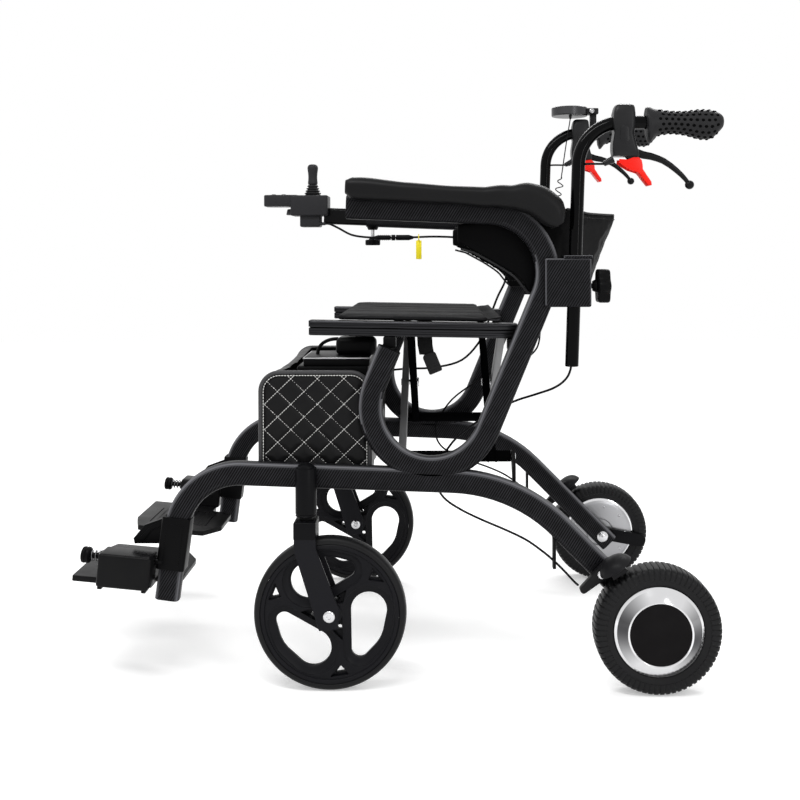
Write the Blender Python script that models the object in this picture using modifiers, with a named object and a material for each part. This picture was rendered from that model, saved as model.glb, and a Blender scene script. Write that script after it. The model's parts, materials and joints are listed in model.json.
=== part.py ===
"""An electric walker: a folding four-wheeled walking aid with a seat, hub motors and a joystick.

The user faces -X, so the left side is at -Y. Z is up and the floor is at Z = 0.
The origin is on the floor under the middle of the object.
Sizes along X are written from a line near the arm rests, and MIDDLE_X brings the middle to the origin.
Outlines of the side view are written as (x, z) points.
"""

import math

import bmesh
import bpy
from mathutils import Matrix, Vector

# The middle of the whole length is this far in front of the line that X sizes start from
MIDDLE_X = 0.00925

# Running and seating gaps
SEAT_GAP = 0.0003
RUN_GAP = 0.0003
SLIDE_GAP = 0.0002

# Points nearer than this are one point, and faces within this turn are one flat
WELD = 0.000005
FLAT_TURN = math.radians(0.2)

# Side frame: two flat-sided tubes, one above the other
FRAME_Y = 0.238
TUBE_DEEP = 0.026
TUBE_TALL = 0.0375
TUBE_CORNER = 0.008
TUBE_INNER_Y = FRAME_Y - TUBE_DEEP / 2
TUBE_OUTER_Y = FRAME_Y + TUBE_DEEP / 2

# Wheels
FRONT_WHEEL_R = 0.118
FRONT_TYRE_THICK = 0.0105
FRONT_TYRE_WIDE = 0.028
REAR_WHEEL_R = 0.0975
REAR_TYRE_THICK = 0.0285
REAR_TYRE_WIDE = 0.046
FRONT_AXLE = (-0.1126, FRONT_WHEEL_R)
REAR_AXLE = (0.3887, REAR_WHEEL_R)
REAR_WHEEL_Y = 0.2805

# Base tube: foot, arch, long straight run and the leg down to the rear axle
BASE_FOOT = (-0.3725, 0.130)
BASE_ARCH = (-0.3455, 0.3305, 0.100)
BASE_REAR_BEND = (0.1779, 0.3104, 0.253)
BASE_PAST_AXLE = 0.020

# Arm tube: arm rest run, rear bend, leaning run, round bow and hook
ARM_BEND_R = 0.0956
ARM_FRONT = (-0.088, 0.7457)
ARM_REAR_CORNER = (0.272, 0.7308, ARM_BEND_R)
ARM_BOW_REAR = (0.0967, 0.3055, ARM_BEND_R)
ARM_BOW_FRONT = (-0.0804, 0.3776, ARM_BEND_R)
ARM_HOOK_END = (-0.0216, 0.522)
BEND_STEP = math.radians(13)

# Caster: barrel on the outer face of the base tube, trailing fork
CASTER_X = -0.150
BARREL_R = 0.0165
CASTER_Y = TUBE_OUTER_Y + SEAT_GAP + BARREL_R
BARREL_HIGH = 0.341
BARREL_CAP_HIGH = 0.348
SADDLE_HALF = 0.015
SADDLE_LOW = 0.306
SADDLE_HIGH = 0.338
STEM_R = 0.006
CROWN_HALF = 0.0172
CROWN_TALL = 0.027
COLLAR_TALL = 0.0055
WHEEL_TO_CROWN = math.sqrt(
    (FRONT_WHEEL_R + RUN_GAP) ** 2 - (FRONT_AXLE[0] - CASTER_X - CROWN_HALF) ** 2
)
CROWN_LOW = FRONT_AXLE[1] + WHEEL_TO_CROWN
CROWN_HIGH = CROWN_LOW + CROWN_TALL
BARREL_LOW = CROWN_HIGH + COLLAR_TALL
FORK_INSIDE = 0.0185
FORK_LEG_THICK = 0.005
FRONT_AXLE_R = 0.005
FRONT_HUB_R = 0.019
FRONT_HUB_HALF = FORK_INSIDE - 0.0007

# Front wheel: three dished swirl openings, in shares of the wheel's radius
SWIRL_COUNT = 3
SWIRL_BIG_END = (0.505, 0.035, 0.232)
SWIRL_SMALL_END = (0.388, -0.470, 0.108)
SWIRL_OUTER_REACH = 0.728
SWIRL_POINTS = 16
DISH_WIDE = 0.0120
DISH_POINTS = 12
HUB_POCKET = ((0.168, -0.345), (0.150, -0.010), (0.035, -0.215))
RIM_POCKET = ((0.130, -0.655), (0.000, -0.825), (0.250, -0.785))
RIM_NOTCH = ((0.138, -0.688), (0.066, -0.785), (0.204, -0.765))
HUB_HOLE_AT = (0.127, -0.185)
HUB_HOLE_R = 0.031
RIM_HALF = 0.0115
WEB_HALF = 0.0045
WHEEL_STEPS = 28

# Hub motor wheel
MOTOR_RIM_R = REAR_WHEEL_R - REAR_TYRE_THICK
MOTOR_FACE_R = 0.0475
MOTOR_FACE_Y = 0.035
MOTOR_RING_Y = 0.0205
MOTOR_BACK_R = 0.060
MOTOR_BACK_Y = 0.0195
AXLE_SHAFT_R = 0.006
AXLE_BORE_DEEP = 0.030
DOME_R = 0.011
DOME_HIGH = 0.006

# Axle plate on the outer face of the base tube's leg
PLATE_THICK = 0.004
PLATE_HALF_WIDE = 0.0165
TORQUE_ARM_END = (0.4687, 0.0825)
TORQUE_ARM_HALF = 0.0125
BRAKE_PIVOT = (0.306, 0.1767)
BRAKE_PIN_R = 0.004

# Rear brake arm
BRAKE_ARM_Y = 0.2685
BRAKE_ARM_DEEP = 0.014
BRAKE_CAP_R = 0.0275
BRAKE_CAP_HIGH = 0.016
BRAKE_CAP_AT = math.radians(124)
BRAKE_CAP_BASE = 0.112
SHOE_GAP = 0.0025
BRAKE_ARM_END = (0.2785, 0.1525)

# Handle post, its clamp housing and star knob
POST_Y = 0.245
POST_R = 0.0105
POST_BORE_R = 0.0082
POST_LOW_Z = 0.495
POST_REF = (0.2755, 0.785)
POST_LEAN = 0.0365
POST_BEND_Z = 0.8765
POST_BEND_R = 0.068
POST_END_X = 0.485
RIGHT_HANDLE_LIFT = 0.040
CABLE_ENTRY_Z = 0.8117
CABLE_ENTRY_R = 0.003
HOUSING_LOW = 0.588
HOUSING_HIGH = 0.664
HOUSING_FRONT = 0.222
HOUSING_REAR = 0.294
HOUSING_HALF_DEEP = 0.0175
HOUSING_LIP = 0.0045
STAR_Z = 0.6205
STAR_R = 0.0265
STAR_LOBE = 0.0025
STAR_LOBES = 6
STAR_NEAR_X = 0.3045
STAR_THICK = 0.019
STAR_STEM_R = 0.004
STAR_STEM_DEEP = 0.012

# Grip, brake body and levers
GRIP_FRONT = 0.382
GRIP_REAR = 0.503
BRAKE_BODY_X = (0.329, 0.364)
BRAKE_BODY_HALF_DEEP = 0.017
BRAKE_BODY_TOP = 0.904
BRAKE_BODY_LOW = 0.823
CHEEK_SLOT = 0.0102
LEVER_PIVOT = (0.358, 0.8345)
LEVER_PIN_R = 0.003
LEVER_THICK = 0.008
LEVER_BALL = (0.4503, 0.7785)
LEVER_BALL_R = 0.0072
PARK_PIVOT = (0.3655, 0.8155)
PARK_TIP = (0.386, 0.7785)
PARK_R = 0.0048

# Folding braces and seat rails
PIVOT_Y = 0.200
PIVOT_Z = 0.345
RAIL_Y = 0.210
RAIL_Z = 0.552
LOWER_TUBE_R = 0.009
PIVOT_ROD_R = 0.005
LOWER_TUBE_X = (-0.012, 0.172)
LUG_THICK = 0.006
BAR_THICK = 0.0125
BAR_WIDE = 0.020
BRACE_A_BARS = (-0.003, 0.142)
BAR_STEP = 0.015
CENTRE_PIN_R = 0.005
RAIL_X = (-0.149, 0.180)
RAIL_SLOPE = math.radians(1.1)
RAIL_LOWER_HALF = 0.011
RAIL_LOWER_TALL = 0.0125
RAIL_UPPER_HALF = 0.013
RAIL_UPPER_TALL = 0.0115
SADDLE_X = ((-0.032, -0.012), (0.166, 0.186))
SADDLE_TALL = 0.018

# Soft pieces
SEAT_X = (-0.108, 0.137)
SEAT_HALF_WIDE = 0.209
SEAT_THICK = 0.020
SEAT_EDGE = 0.012
STRAP_X = 0.036
STRAP_Y = -0.150
STRAP_LOW_Z = 0.474
PAD_Y = 0.243
PAD_HALF_WIDE = 0.031
PAD_CROWN = 0.002
PAD_LONG = 0.3153
PAD_END = 0.3138
BACK_Y = TUBE_INNER_Y - SEAT_GAP - 0.006
BACK_THICK = 0.012
BACK_TOP_Z = 0.752
BACK_LOW_Z = 0.604
BACK_TOP_DIP = 0.010
BACK_FRONT_X = 0.085
BACK_CORNER_X = 0.260
BACK_CORNER_R = 0.085
BACK_REACH = 0.361
BACK_FLAT_Y = 0.075
BACK_BULGE = 0.001
BACK_LEAN = 0.38
BACK_LEAN_X = (0.180, 0.300)
WING_REAR_X = 0.215
WING_TOP_DROP = 0.032
WING_LOW_RISE = 0.085
BAG_X = (-0.225, -0.050)
BAG_Z = (0.310, 0.487)
BAG_HALF_WIDE = TUBE_INNER_Y - SEAT_GAP
BAG_WALL = 0.004
BAG_CORNER = 0.034
BATTERY_X = (-0.175, -0.058)
BATTERY_Y = (-0.188, -0.070)
BATTERY_HIGH = 0.495

# Foot rest
SLEEVE_WALL = 0.0035
SLEEVE_LONG = 0.082
SLEEVE_TOP = 0.259
FOOT_PITCH = math.radians(5.5)
FOOT_AXIS_Y = 0.250
FOOT_AXIS = (-0.430, 0.1955)
FOOT_PIN_R = 0.005
FOOT_PIN_END = -0.450
FOOT_HOUSING_X = (-0.470, -0.3885)
FOOT_HOUSING_Y = (0.238, 0.283)
FOOT_HOUSING_BELOW = 0.0385
FOOT_HOUSING_ABOVE = 0.0135
FOOTPLATE_X = (-0.519, -0.354)
FOOTPLATE_NECK_X = -0.393
FOOTPLATE_INNER_Y = 0.060
FOOTPLATE_WIDE_Y = 0.208
FOOTPLATE_DROP = 0.0365
FOOTPLATE_THICK = 0.009
GROOVE_COUNT = 4
GROOVE_DEEP = 0.0015
PLUNGER_KNOB_R = 0.0098
PLUNGER_KNOB_X = (-0.503, -0.491)
PLUNGER_STEM_R = 0.0045
SPRING_R = 0.0075
SPRING_WIRE_R = 0.0009
SPRING_TURNS = 3

# Joystick controller on a bar in the right arm tube
ARM_DROP = (ARM_FRONT[1] - ARM_REAR_CORNER[1]) / (ARM_REAR_CORNER[0] - ARM_FRONT[0])
BAR_TALL = 0.0332
BAR_DEEP = 0.0218
BAR_CORNER = 0.006
BAR_X = (-0.166, 0.020)
POCKET_END = 0.028
CONTROL_Y = 0.242
CONTROL_HALF_DEEP = 0.030
CONTROL_TOP = 0.7915
STICK_X = -0.198
STICK_PIVOT_Z = 0.788
STICK_KNOB_R = 0.0108
CLAMP_X = -0.0755
CLAMP_SCREW_R = 0.004
CLAMP_KNOB_R = 0.0152
CLAMP_KNOB_Z = (0.689, 0.7025)

# Cords
BRAKE_CABLE_R = 0.0018
CABLE_STEP = 0.0110
LEAST_TURN = math.radians(9)
CONTROL_CABLE_R = 0.0022
CABLE_GLAND_Y = 0.2240
PLUG_R = 0.0055
CURLY_WIRE_R = 0.0011
CURLY_R = 0.0066
CURLY_TURNS = 7
CURLY_START = (0.3260, -0.2235)
CURLY_TOP = (0.3070, -0.2190, 0.8260)
CURLY_LOW = (0.2830, -0.2240, 0.7060)
CURLY_END = (0.2860, -0.2310, 0.6752)
CURLY_STEPS = 8

# Round device on the right handle
PUCK_X = 0.3255
PUCK_R = 0.0365
PUCK_LOW = 0.9105
PUCK_THICK = 0.018
PUCK_BAND_X = (0.3667, 0.3803)


# Scene

def clear_scene():
    for obj in list(bpy.data.objects):
        bpy.data.objects.remove(obj, do_unlink=True)


def new_collection(name):
    collection = bpy.data.collections.new(name)
    bpy.context.scene.collection.children.link(collection)
    return collection


def principled(name, colour, metallic, roughness):
    material = bpy.data.materials.new(name)
    material.use_nodes = True
    shader = material.node_tree.nodes["Principled BSDF"]
    shader.inputs["Base Color"].default_value = (*colour, 1.0)
    shader.inputs["Metallic"].default_value = metallic
    shader.inputs["Roughness"].default_value = roughness
    return material


def on_scene(data, name="shape"):
    obj = bpy.data.objects.new(name, data)
    bpy.context.scene.collection.objects.link(obj)
    return obj


def baked(obj):
    """The object with its modifiers or its curve turned into a plain welded mesh."""
    bpy.context.view_layer.update()
    graph = bpy.context.evaluated_depsgraph_get()
    mesh = bpy.data.meshes.new_from_object(obj.evaluated_get(graph))
    mesh.transform(obj.matrix_world)
    bpy.data.objects.remove(obj, do_unlink=True)
    form = bmesh.new()
    form.from_mesh(mesh)
    bmesh.ops.remove_doubles(form, verts=form.verts, dist=WELD)
    bmesh.ops.dissolve_limit(form, angle_limit=FLAT_TURN, verts=form.verts, edges=form.edges)
    form.to_mesh(mesh)
    form.free()
    return on_scene(mesh)


# Shapes

def from_form(form):
    mesh = bpy.data.meshes.new("shape")
    bmesh.ops.recalc_face_normals(form, faces=form.faces)
    form.to_mesh(mesh)
    form.free()
    return on_scene(mesh)


def box(low, high, round_edge=0.0):
    """A box between two corners, with its edges rounded when asked."""
    low = Vector(low)
    high = Vector(high)
    form = bmesh.new()
    size = high - low
    place = Matrix.Translation((low + high) / 2) @ Matrix.Diagonal((*size, 1.0))
    bmesh.ops.create_cube(form, size=1.0, matrix=place)
    obj = from_form(form)
    return rounded(obj, round_edge) if round_edge else obj


def rounded(obj, width, segments=1):
    bevel = obj.modifiers.new("Round", "BEVEL")
    bevel.width = width
    bevel.segments = segments
    bevel.limit_method = "ANGLE"
    bevel.angle_limit = math.radians(40)
    return baked(obj)


def rod(start, end, radius, segments=12, end_radius=None):
    """A round bar, or a cone, between two points."""
    start = Vector(start)
    end = Vector(end)
    along = end - start
    turn = Vector((0, 0, 1)).rotation_difference(along).to_matrix().to_4x4()
    place = Matrix.Translation((start + end) / 2) @ turn
    form = bmesh.new()
    bmesh.ops.create_cone(
        form,
        cap_ends=True,
        segments=segments,
        radius1=radius,
        radius2=radius if end_radius is None else end_radius,
        depth=along.length,
        matrix=place,
    )
    return from_form(form)


def ball(centre, radius, segments=8):
    form = bmesh.new()
    place = Matrix.Translation(centre)
    bmesh.ops.create_uvsphere(form, u_segments=segments, v_segments=6, radius=radius, matrix=place)
    return from_form(form)


def turned(profile, centre, axis, steps=32, ring=False):
    """A profile of (radius, height) points, top to bottom, turned about an axis through a point."""
    form = bmesh.new()
    points = [form.verts.new((radius, 0, height)) for radius, height in profile]
    for first, second in zip(points, points[1:]):
        form.edges.new((first, second))
    if ring:
        form.edges.new((points[-1], points[0]))
    mesh = bpy.data.meshes.new("profile")
    form.to_mesh(mesh)
    form.free()
    obj = on_scene(mesh)
    screw = obj.modifiers.new("Turn", "SCREW")
    screw.steps = steps
    screw.render_steps = steps
    screw.use_merge_vertices = True
    screw.merge_threshold = 0.00001
    turn = Vector((0, 0, 1)).rotation_difference(Vector(axis)).to_matrix().to_4x4()
    obj.matrix_world = Matrix.Translation(centre) @ turn
    return baked(obj)


def plate(outline, low, high, holes=(), across="Y"):
    """A flat outline, solid between two planes across an axis, with any holes left open.

    The outline's points are (x, z) across Y, (y, z) across X and (x, y) across Z.
    """
    curve = bpy.data.curves.new("outline", "CURVE")
    curve.dimensions = "2D"
    curve.fill_mode = "BOTH"
    curve.extrude = (high - low) / 2
    for points in (outline, *holes):
        spline = curve.splines.new("POLY")
        spline.points.add(len(points) - 1)
        for slot, (a, b) in zip(spline.points, points):
            slot.co = (a, b, 0, 1)
        spline.use_cyclic_u = True
    obj = on_scene(curve)
    stand = Matrix.Identity(4)
    if across == "Y":
        stand = Matrix.Rotation(math.radians(90), 4, "X")
    if across == "X":
        stand = Matrix.Rotation(math.radians(90), 4, "Z") @ Matrix.Rotation(math.radians(90), 4, "X")
    middle = [(low + high) / 2 if axis == across else 0 for axis in "XYZ"]
    obj.matrix_world = Matrix.Translation(middle) @ stand
    return facing_out(baked(obj))


def facing_out(obj):
    form = bmesh.new()
    form.from_mesh(obj.data)
    bmesh.ops.recalc_face_normals(form, faces=form.faces)
    form.to_mesh(obj.data)
    form.free()
    return obj


def tube(points, radius, resolution=1):
    """A round tube along points, with flat ends."""
    curve = bpy.data.curves.new("line", "CURVE")
    curve.dimensions = "3D"
    curve.bevel_depth = radius
    curve.bevel_resolution = resolution
    curve.use_fill_caps = True
    spline = curve.splines.new("POLY")
    spline.points.add(len(points) - 1)
    for slot, point in zip(spline.points, points):
        slot.co = (*point, 1)
    return facing_out(baked(on_scene(curve)))


def strip_tube(path, tall, deep, corner, y):
    """A flat-sided tube with rounded corners along a path of (x, z) points."""
    section = bpy.data.curves.new("section", "CURVE")
    section.dimensions = "2D"
    edge = section.splines.new("POLY")
    points = rounded_rectangle(deep / 2, tall / 2, corner)
    edge.points.add(len(points) - 1)
    for slot, (a, b) in zip(edge.points, points):
        slot.co = (a, b, 0, 1)
    edge.use_cyclic_u = True
    guide = on_scene(section, "section")
    curve = bpy.data.curves.new("line", "CURVE")
    curve.dimensions = "3D"
    curve.bevel_mode = "OBJECT"
    curve.bevel_object = guide
    curve.use_fill_caps = True
    spline = curve.splines.new("POLY")
    spline.points.add(len(path) - 1)
    for slot, (x, z) in zip(spline.points, path):
        slot.co = (x, y, z, 1)
    obj = facing_out(baked(on_scene(curve)))
    bpy.data.objects.remove(guide, do_unlink=True)
    return obj


def loft(rings):
    """A closed skin over rings of points, each ring of the same length, with flat ends."""
    form = bmesh.new()
    rows = [[form.verts.new(point) for point in ring] for ring in rings]
    count = len(rows[0])
    for row, after in zip(rows, rows[1:]):
        for at in range(count):
            step = (at + 1) % count
            form.faces.new((row[at], row[step], after[step], after[at]))
    form.faces.new(list(reversed(rows[0])))
    form.faces.new(rows[-1])
    return from_form(form)


def boolean(obj, other, operation):
    change = obj.modifiers.new("Shape", "BOOLEAN")
    change.operation = operation
    change.object = other
    result = baked(obj)
    bpy.data.objects.remove(other, do_unlink=True)
    return result


def joined(*objects):
    result = objects[0]
    for other in objects[1:]:
        result = boolean(result, other, "UNION")
    return result


def cut(obj, *cutters):
    for cutter in cutters:
        obj = boolean(obj, cutter, "DIFFERENCE")
    return obj


def turned_about_y(obj, pivot, angle):
    """The object pitched about a line along Y through an (x, z) point."""
    place = Matrix.Translation((pivot[0], 0, pivot[1]))
    obj.data.transform(place @ Matrix.Rotation(angle, 4, "Y") @ place.inverted())
    return obj


# Outlines and paths

def rounded_rectangle(half_wide, half_tall, corner, steps=1):
    points = []
    for turn, (sign_a, sign_b) in enumerate(((1, 1), (-1, 1), (-1, -1), (1, -1))):
        for step in range(steps + 1):
            angle = math.radians(90) * (turn + step / steps)
            a = sign_a * (half_wide - corner) + corner * math.cos(angle)
            b = sign_b * (half_tall - corner) + corner * math.sin(angle)
            points.append((a, b))
    return points


def bend_path(start, corners, end):
    """Points along straight runs joined by arcs. A corner is (x, z, bend radius)."""
    points = [Vector(start)]
    stops = [Vector(corner[:2]) for corner in corners] + [Vector(end)]
    before = Vector(start)
    for index, (x, z, radius) in enumerate(corners):
        corner = Vector((x, z))
        back = (before - corner).normalized()
        ahead = (stops[index + 1] - corner).normalized()
        turn = math.pi - back.angle(ahead)
        reach = radius * math.tan(turn / 2)
        centre = corner + (back + ahead).normalized() * radius / math.cos(turn / 2)
        first = corner + back * reach - centre
        side = 1 if back.cross(ahead) < 0 else -1
        count = max(2, round(turn / BEND_STEP))
        for step in range(count + 1):
            angle = side * turn * step / count
            c, s = math.cos(angle), math.sin(angle)
            spoke = Vector((first.x * c - first.y * s, first.x * s + first.y * c))
            points.append(centre + spoke)
        before = corner
    points.append(Vector(end))
    return [tuple(point) for point in points]


def capsule(first, second, radius, second_radius=None, steps=4):
    """A round-ended outline about two (x, z) points."""
    second_radius = radius if second_radius is None else second_radius
    heading = math.atan2(second[1] - first[1], second[0] - first[0])
    points = []
    for centre, r, base in ((second, second_radius, -90), (first, radius, 90)):
        for step in range(steps + 1):
            angle = heading + math.radians(base + 180 * step / steps)
            points.append((centre[0] + r * math.cos(angle), centre[1] + r * math.sin(angle)))
    return points


def circle(centre, radius, count=24):
    return [
        (
            centre[0] + radius * math.cos(2 * math.pi * step / count),
            centre[1] + radius * math.sin(2 * math.pi * step / count),
        )
        for step in range(count)
    ]


def smooth_route(route, spacing):
    """Evenly spaced points on a smooth curve through the route's own points."""
    knots = [Vector(point) for point in route]
    ends = [knots[0] * 2 - knots[1]] + knots + [knots[-1] * 2 - knots[-2]]
    fine = []
    for a, b, c, d in zip(ends, ends[1:], ends[2:], ends[3:]):
        for step in range(20):
            t = step / 20
            fine.append(
                0.5 * ((2 * b) + (c - a) * t + (2 * a - 5 * b + 4 * c - d) * t * t
                       + (3 * b - a - 3 * c + d) * t * t * t)
            )
    fine.append(knots[-1])
    points = [fine[0]]
    travelled = 0.0
    for before, after in zip(fine, fine[1:]):
        travelled += (after - before).length
        if travelled >= spacing:
            points.append(after)
            travelled = 0.0
    if (points[-1] - fine[-1]).length < spacing / 2:
        points.pop()
    points.append(fine[-1])
    return without_straight_points(points, spacing)


def without_straight_points(points, spacing):
    """Leaves out points where the line hardly turns, up to five spacings in a row."""
    kept = [points[0]]
    heading = points[1] - points[0]
    for before, point, after in zip(points, points[1:], points[2:]):
        turn = heading.angle(after - point)
        if turn > LEAST_TURN or (point - kept[-1]).length > 5 * spacing:
            kept.append(point)
            heading = after - point
    return kept + [points[-1]]


def base_path():
    along = Vector(REAR_AXLE) - Vector(BASE_REAR_BEND[:2])
    end = Vector(REAR_AXLE) + along.normalized() * BASE_PAST_AXLE
    return bend_path(BASE_FOOT, (BASE_ARCH, BASE_REAR_BEND), tuple(end))


def arm_path():
    corners = (ARM_REAR_CORNER, ARM_BOW_REAR, ARM_BOW_FRONT)
    return bend_path(ARM_FRONT, corners, ARM_HOOK_END)


def frame_tube(path, grow=0.0):
    """A side frame tube on the left, or the room it takes when it is grown for a cutter."""
    return strip_tube(path, TUBE_TALL + 2 * grow, TUBE_DEEP + 2 * grow, TUBE_CORNER, -FRAME_Y)


def post_x(z):
    return POST_REF[0] + (z - POST_REF[1]) * POST_LEAN


# Finished pieces

def finish(obj, name, material, pivot=(0, 0, 0)):
    """Names a solid, gives it its material and puts its origin on its axis."""
    obj.name = name
    obj.data.name = name
    obj.data.materials.clear()
    obj.data.materials.append(material)
    obj.data.transform(Matrix.Translation(-Vector(pivot)))
    obj.location = Vector(pivot) + Vector((MIDDLE_X, 0, 0))
    obj.data.shade_smooth()
    obj.data.set_sharp_from_angle(angle=math.radians(35))
    for home in list(obj.users_collection):
        home.objects.unlink(obj)
    PARTS.objects.link(obj)
    return obj


def raised_right(obj, lift):
    """The mirror image of a left piece, on the right, higher up the leaning post by the lift."""
    rise = Matrix.Translation((lift * POST_LEAN, 0, lift))
    obj.data.transform(rise @ Matrix.Diagonal((1, -1, 1, 1)))
    obj.data.flip_normals()
    return obj


def finish_pair(obj, stem, material, pivot=(0, 0, 0), lift=0.0):
    """Finishes the left piece and its mirror image, which may stand higher up the leaning post."""
    other = raised_right(on_scene(obj.data.copy()), lift)
    finish(obj, stem + "_left", material, pivot)
    finish(other, stem + "_right", material, (pivot[0] + lift * POST_LEAN, -pivot[1], pivot[2] + lift))


# Side frame

def pivot_lug(low_x):
    """A lug on the inner face of the base tube that holds an end of the pivot rod."""
    root_y = -TUBE_INNER_Y - 0.002
    outline = [
        (root_y, PIVOT_Z - 0.035),
        (-PIVOT_Y, PIVOT_Z - 0.010),
        (-PIVOT_Y + 0.010, PIVOT_Z),
        (-PIVOT_Y, PIVOT_Z + 0.010),
        (root_y + 0.0185, PIVOT_Z + 0.012),
        (root_y, PIVOT_Z - 0.012),
    ]
    return plate(outline, low_x, low_x + LUG_THICK, across="X")


def base_tube():
    """The lower frame tube with the two lugs and the rod that the folding brace turns on."""
    low_x = LOWER_TUBE_X[0] - RUN_GAP - LUG_THICK
    high_x = LOWER_TUBE_X[1] + RUN_GAP
    pivot_rod = rod(
        (low_x + 0.001, -PIVOT_Y, PIVOT_Z), (high_x + LUG_THICK - 0.001, -PIVOT_Y, PIVOT_Z),
        PIVOT_ROD_R, 10,
    )
    body = joined(frame_tube(base_path()), pivot_lug(low_x), pivot_lug(high_x), pivot_rod)
    axle_hole = rod(
        (REAR_AXLE[0], -TUBE_INNER_Y + 0.01, REAR_AXLE[1]),
        (REAR_AXLE[0], -TUBE_OUTER_Y - 0.01, REAR_AXLE[1]), AXLE_SHAFT_R + SEAT_GAP,
    )
    cable_stop = box((0.2345, -0.245, 0.176), (0.2395, -0.231, 0.225))
    cable_room = tube(cable_line(), BRAKE_CABLE_R + 2 * RUN_GAP, 2)
    return cut(joined(body, cut(cable_stop, cable_room)), axle_hole)


def seat_saddle(span, z_top):
    return box((span[0], -TUBE_INNER_Y - 0.002, z_top - SADDLE_TALL), (span[1], -0.199, z_top), 0.0015)


def rail_z(x):
    """Height of the seat rail's middle line, which drops a little to the rear."""
    return RAIL_Z - x * math.tan(RAIL_SLOPE)


def arm_tube():
    """The upper frame tube with the two saddles that the seat rail rests on."""
    body = frame_tube(arm_path())
    for span in SADDLE_X:
        middle = (span[0] + span[1]) / 2
        top = rail_z(middle) - RAIL_LOWER_TALL - 0.0006
        body = joined(body, seat_saddle(span, top))
    return cut(body, frame_tube(base_path(), SEAT_GAP))


def arm_frame_at(x):
    """Height of the arm tube's middle line along its arm rest run."""
    return ARM_FRONT[1] - (x - ARM_FRONT[0]) * ARM_DROP


def sloped_block(x_span, grow=0.0):
    """The controller's bar along the right arm tube's sloping run, or the room it takes."""
    path = [(x, arm_frame_at(x)) for x in x_span]
    return strip_tube(path, BAR_TALL + 2 * grow, BAR_DEEP + 2 * grow, BAR_CORNER, FRAME_Y)


def add_bar_pocket(right_tube):
    """The right arm tube is open in front for the controller's bar, and a screw clamps the bar."""
    pocket = sloped_block((ARM_FRONT[0] - 0.02, POCKET_END), SLIDE_GAP)
    low = arm_frame_at(CLAMP_X) - TUBE_TALL / 2
    boss = rod((CLAMP_X, FRAME_Y, low - 0.006), (CLAMP_X, FRAME_Y, low + 0.001), 0.0095, 12, 0.012)
    screw_hole = rod(
        (CLAMP_X, FRAME_Y, low - 0.01), (CLAMP_X, FRAME_Y, low + 0.01), CLAMP_SCREW_R + RUN_GAP, 12
    )
    return cut(joined(right_tube, boss), pocket, screw_hole)


def clamp_housing():
    """The block between the arm tube's bow and the handle post, with a lip round its mouth."""
    body = box(
        (HOUSING_FRONT, -POST_Y - HOUSING_HALF_DEEP, HOUSING_LOW),
        (HOUSING_REAR, -POST_Y + HOUSING_HALF_DEEP, HOUSING_HIGH), 0.003,
    )
    lip = box(
        (post_x(HOUSING_HIGH) - 0.020, -POST_Y - 0.0185, HOUSING_HIGH - 0.001),
        (HOUSING_REAR + 0.002, -POST_Y + 0.0185, HOUSING_HIGH + HOUSING_LIP), 0.001,
    )
    bore = post_form(RUN_GAP)
    screw_hole = rod(
        (HOUSING_REAR - STAR_STEM_DEEP - 0.001, -POST_Y, STAR_Z),
        (HOUSING_REAR + 0.01, -POST_Y, STAR_Z), STAR_STEM_R + RUN_GAP, 12,
    )
    return cut(joined(body, lip), frame_tube(arm_path(), SEAT_GAP), bore, screw_hole)


def star_knob():
    """The six-lobed knob behind the housing, with the screw that clamps the post."""
    outline = []
    count = STAR_LOBES * 3
    for step in range(count):
        angle = 2 * math.pi * step / count
        radius = STAR_R + STAR_LOBE * math.cos(STAR_LOBES * angle)
        outline.append((-POST_Y + radius * math.cos(angle), STAR_Z + radius * math.sin(angle)))
    head = rounded(plate(outline, STAR_NEAR_X, STAR_NEAR_X + STAR_THICK, across="X"), 0.003)
    stem = rod(
        (HOUSING_REAR - STAR_STEM_DEEP, -POST_Y, STAR_Z), (STAR_NEAR_X + 0.004, -POST_Y, STAR_Z),
        STAR_STEM_R, 12,
    )
    hub = rod((STAR_NEAR_X - 0.006, -POST_Y, STAR_Z), (STAR_NEAR_X + 0.002, -POST_Y, STAR_Z), 0.008, 10)
    return joined(head, hub, stem)


# Casters

def caster_barrel():
    """The upright bearing barrel with its domed cap and the saddle on the tube's outer face."""
    bore = STEM_R + RUN_GAP
    profile = [
        (0, BARREL_CAP_HIGH), (0.0110, BARREL_CAP_HIGH - 0.0025), (BARREL_R, BARREL_HIGH),
        (BARREL_R, BARREL_LOW), (bore, BARREL_LOW), (bore, BARREL_HIGH - 0.008), (0, BARREL_HIGH - 0.008),
    ]
    barrel = turned(profile, (CASTER_X, -CASTER_Y, 0), (0, 0, 1), 16)
    saddle = box(
        (CASTER_X - SADDLE_HALF, -CASTER_Y + STEM_R + 0.003, SADDLE_LOW),
        (CASTER_X + SADDLE_HALF, -TUBE_OUTER_Y - SEAT_GAP, SADDLE_HIGH),
    )
    return joined(barrel, saddle)


def fork_leg_outline():
    """The side view of a fork leg: straight down from the crown, then back to the axle."""
    x, z = FRONT_AXLE
    return [
        (CASTER_X - 0.0160, CROWN_HIGH - 0.003), (CASTER_X + 0.0160, CROWN_HIGH - 0.003),
        (CASTER_X + 0.0175, CROWN_LOW - 0.0135), (x + 0.0145, z + 0.012), (x + 0.0135, z - 0.019),
        (x - 0.0155, z - 0.022), (CASTER_X - 0.0165, CROWN_LOW - 0.0155),
    ]


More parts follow.
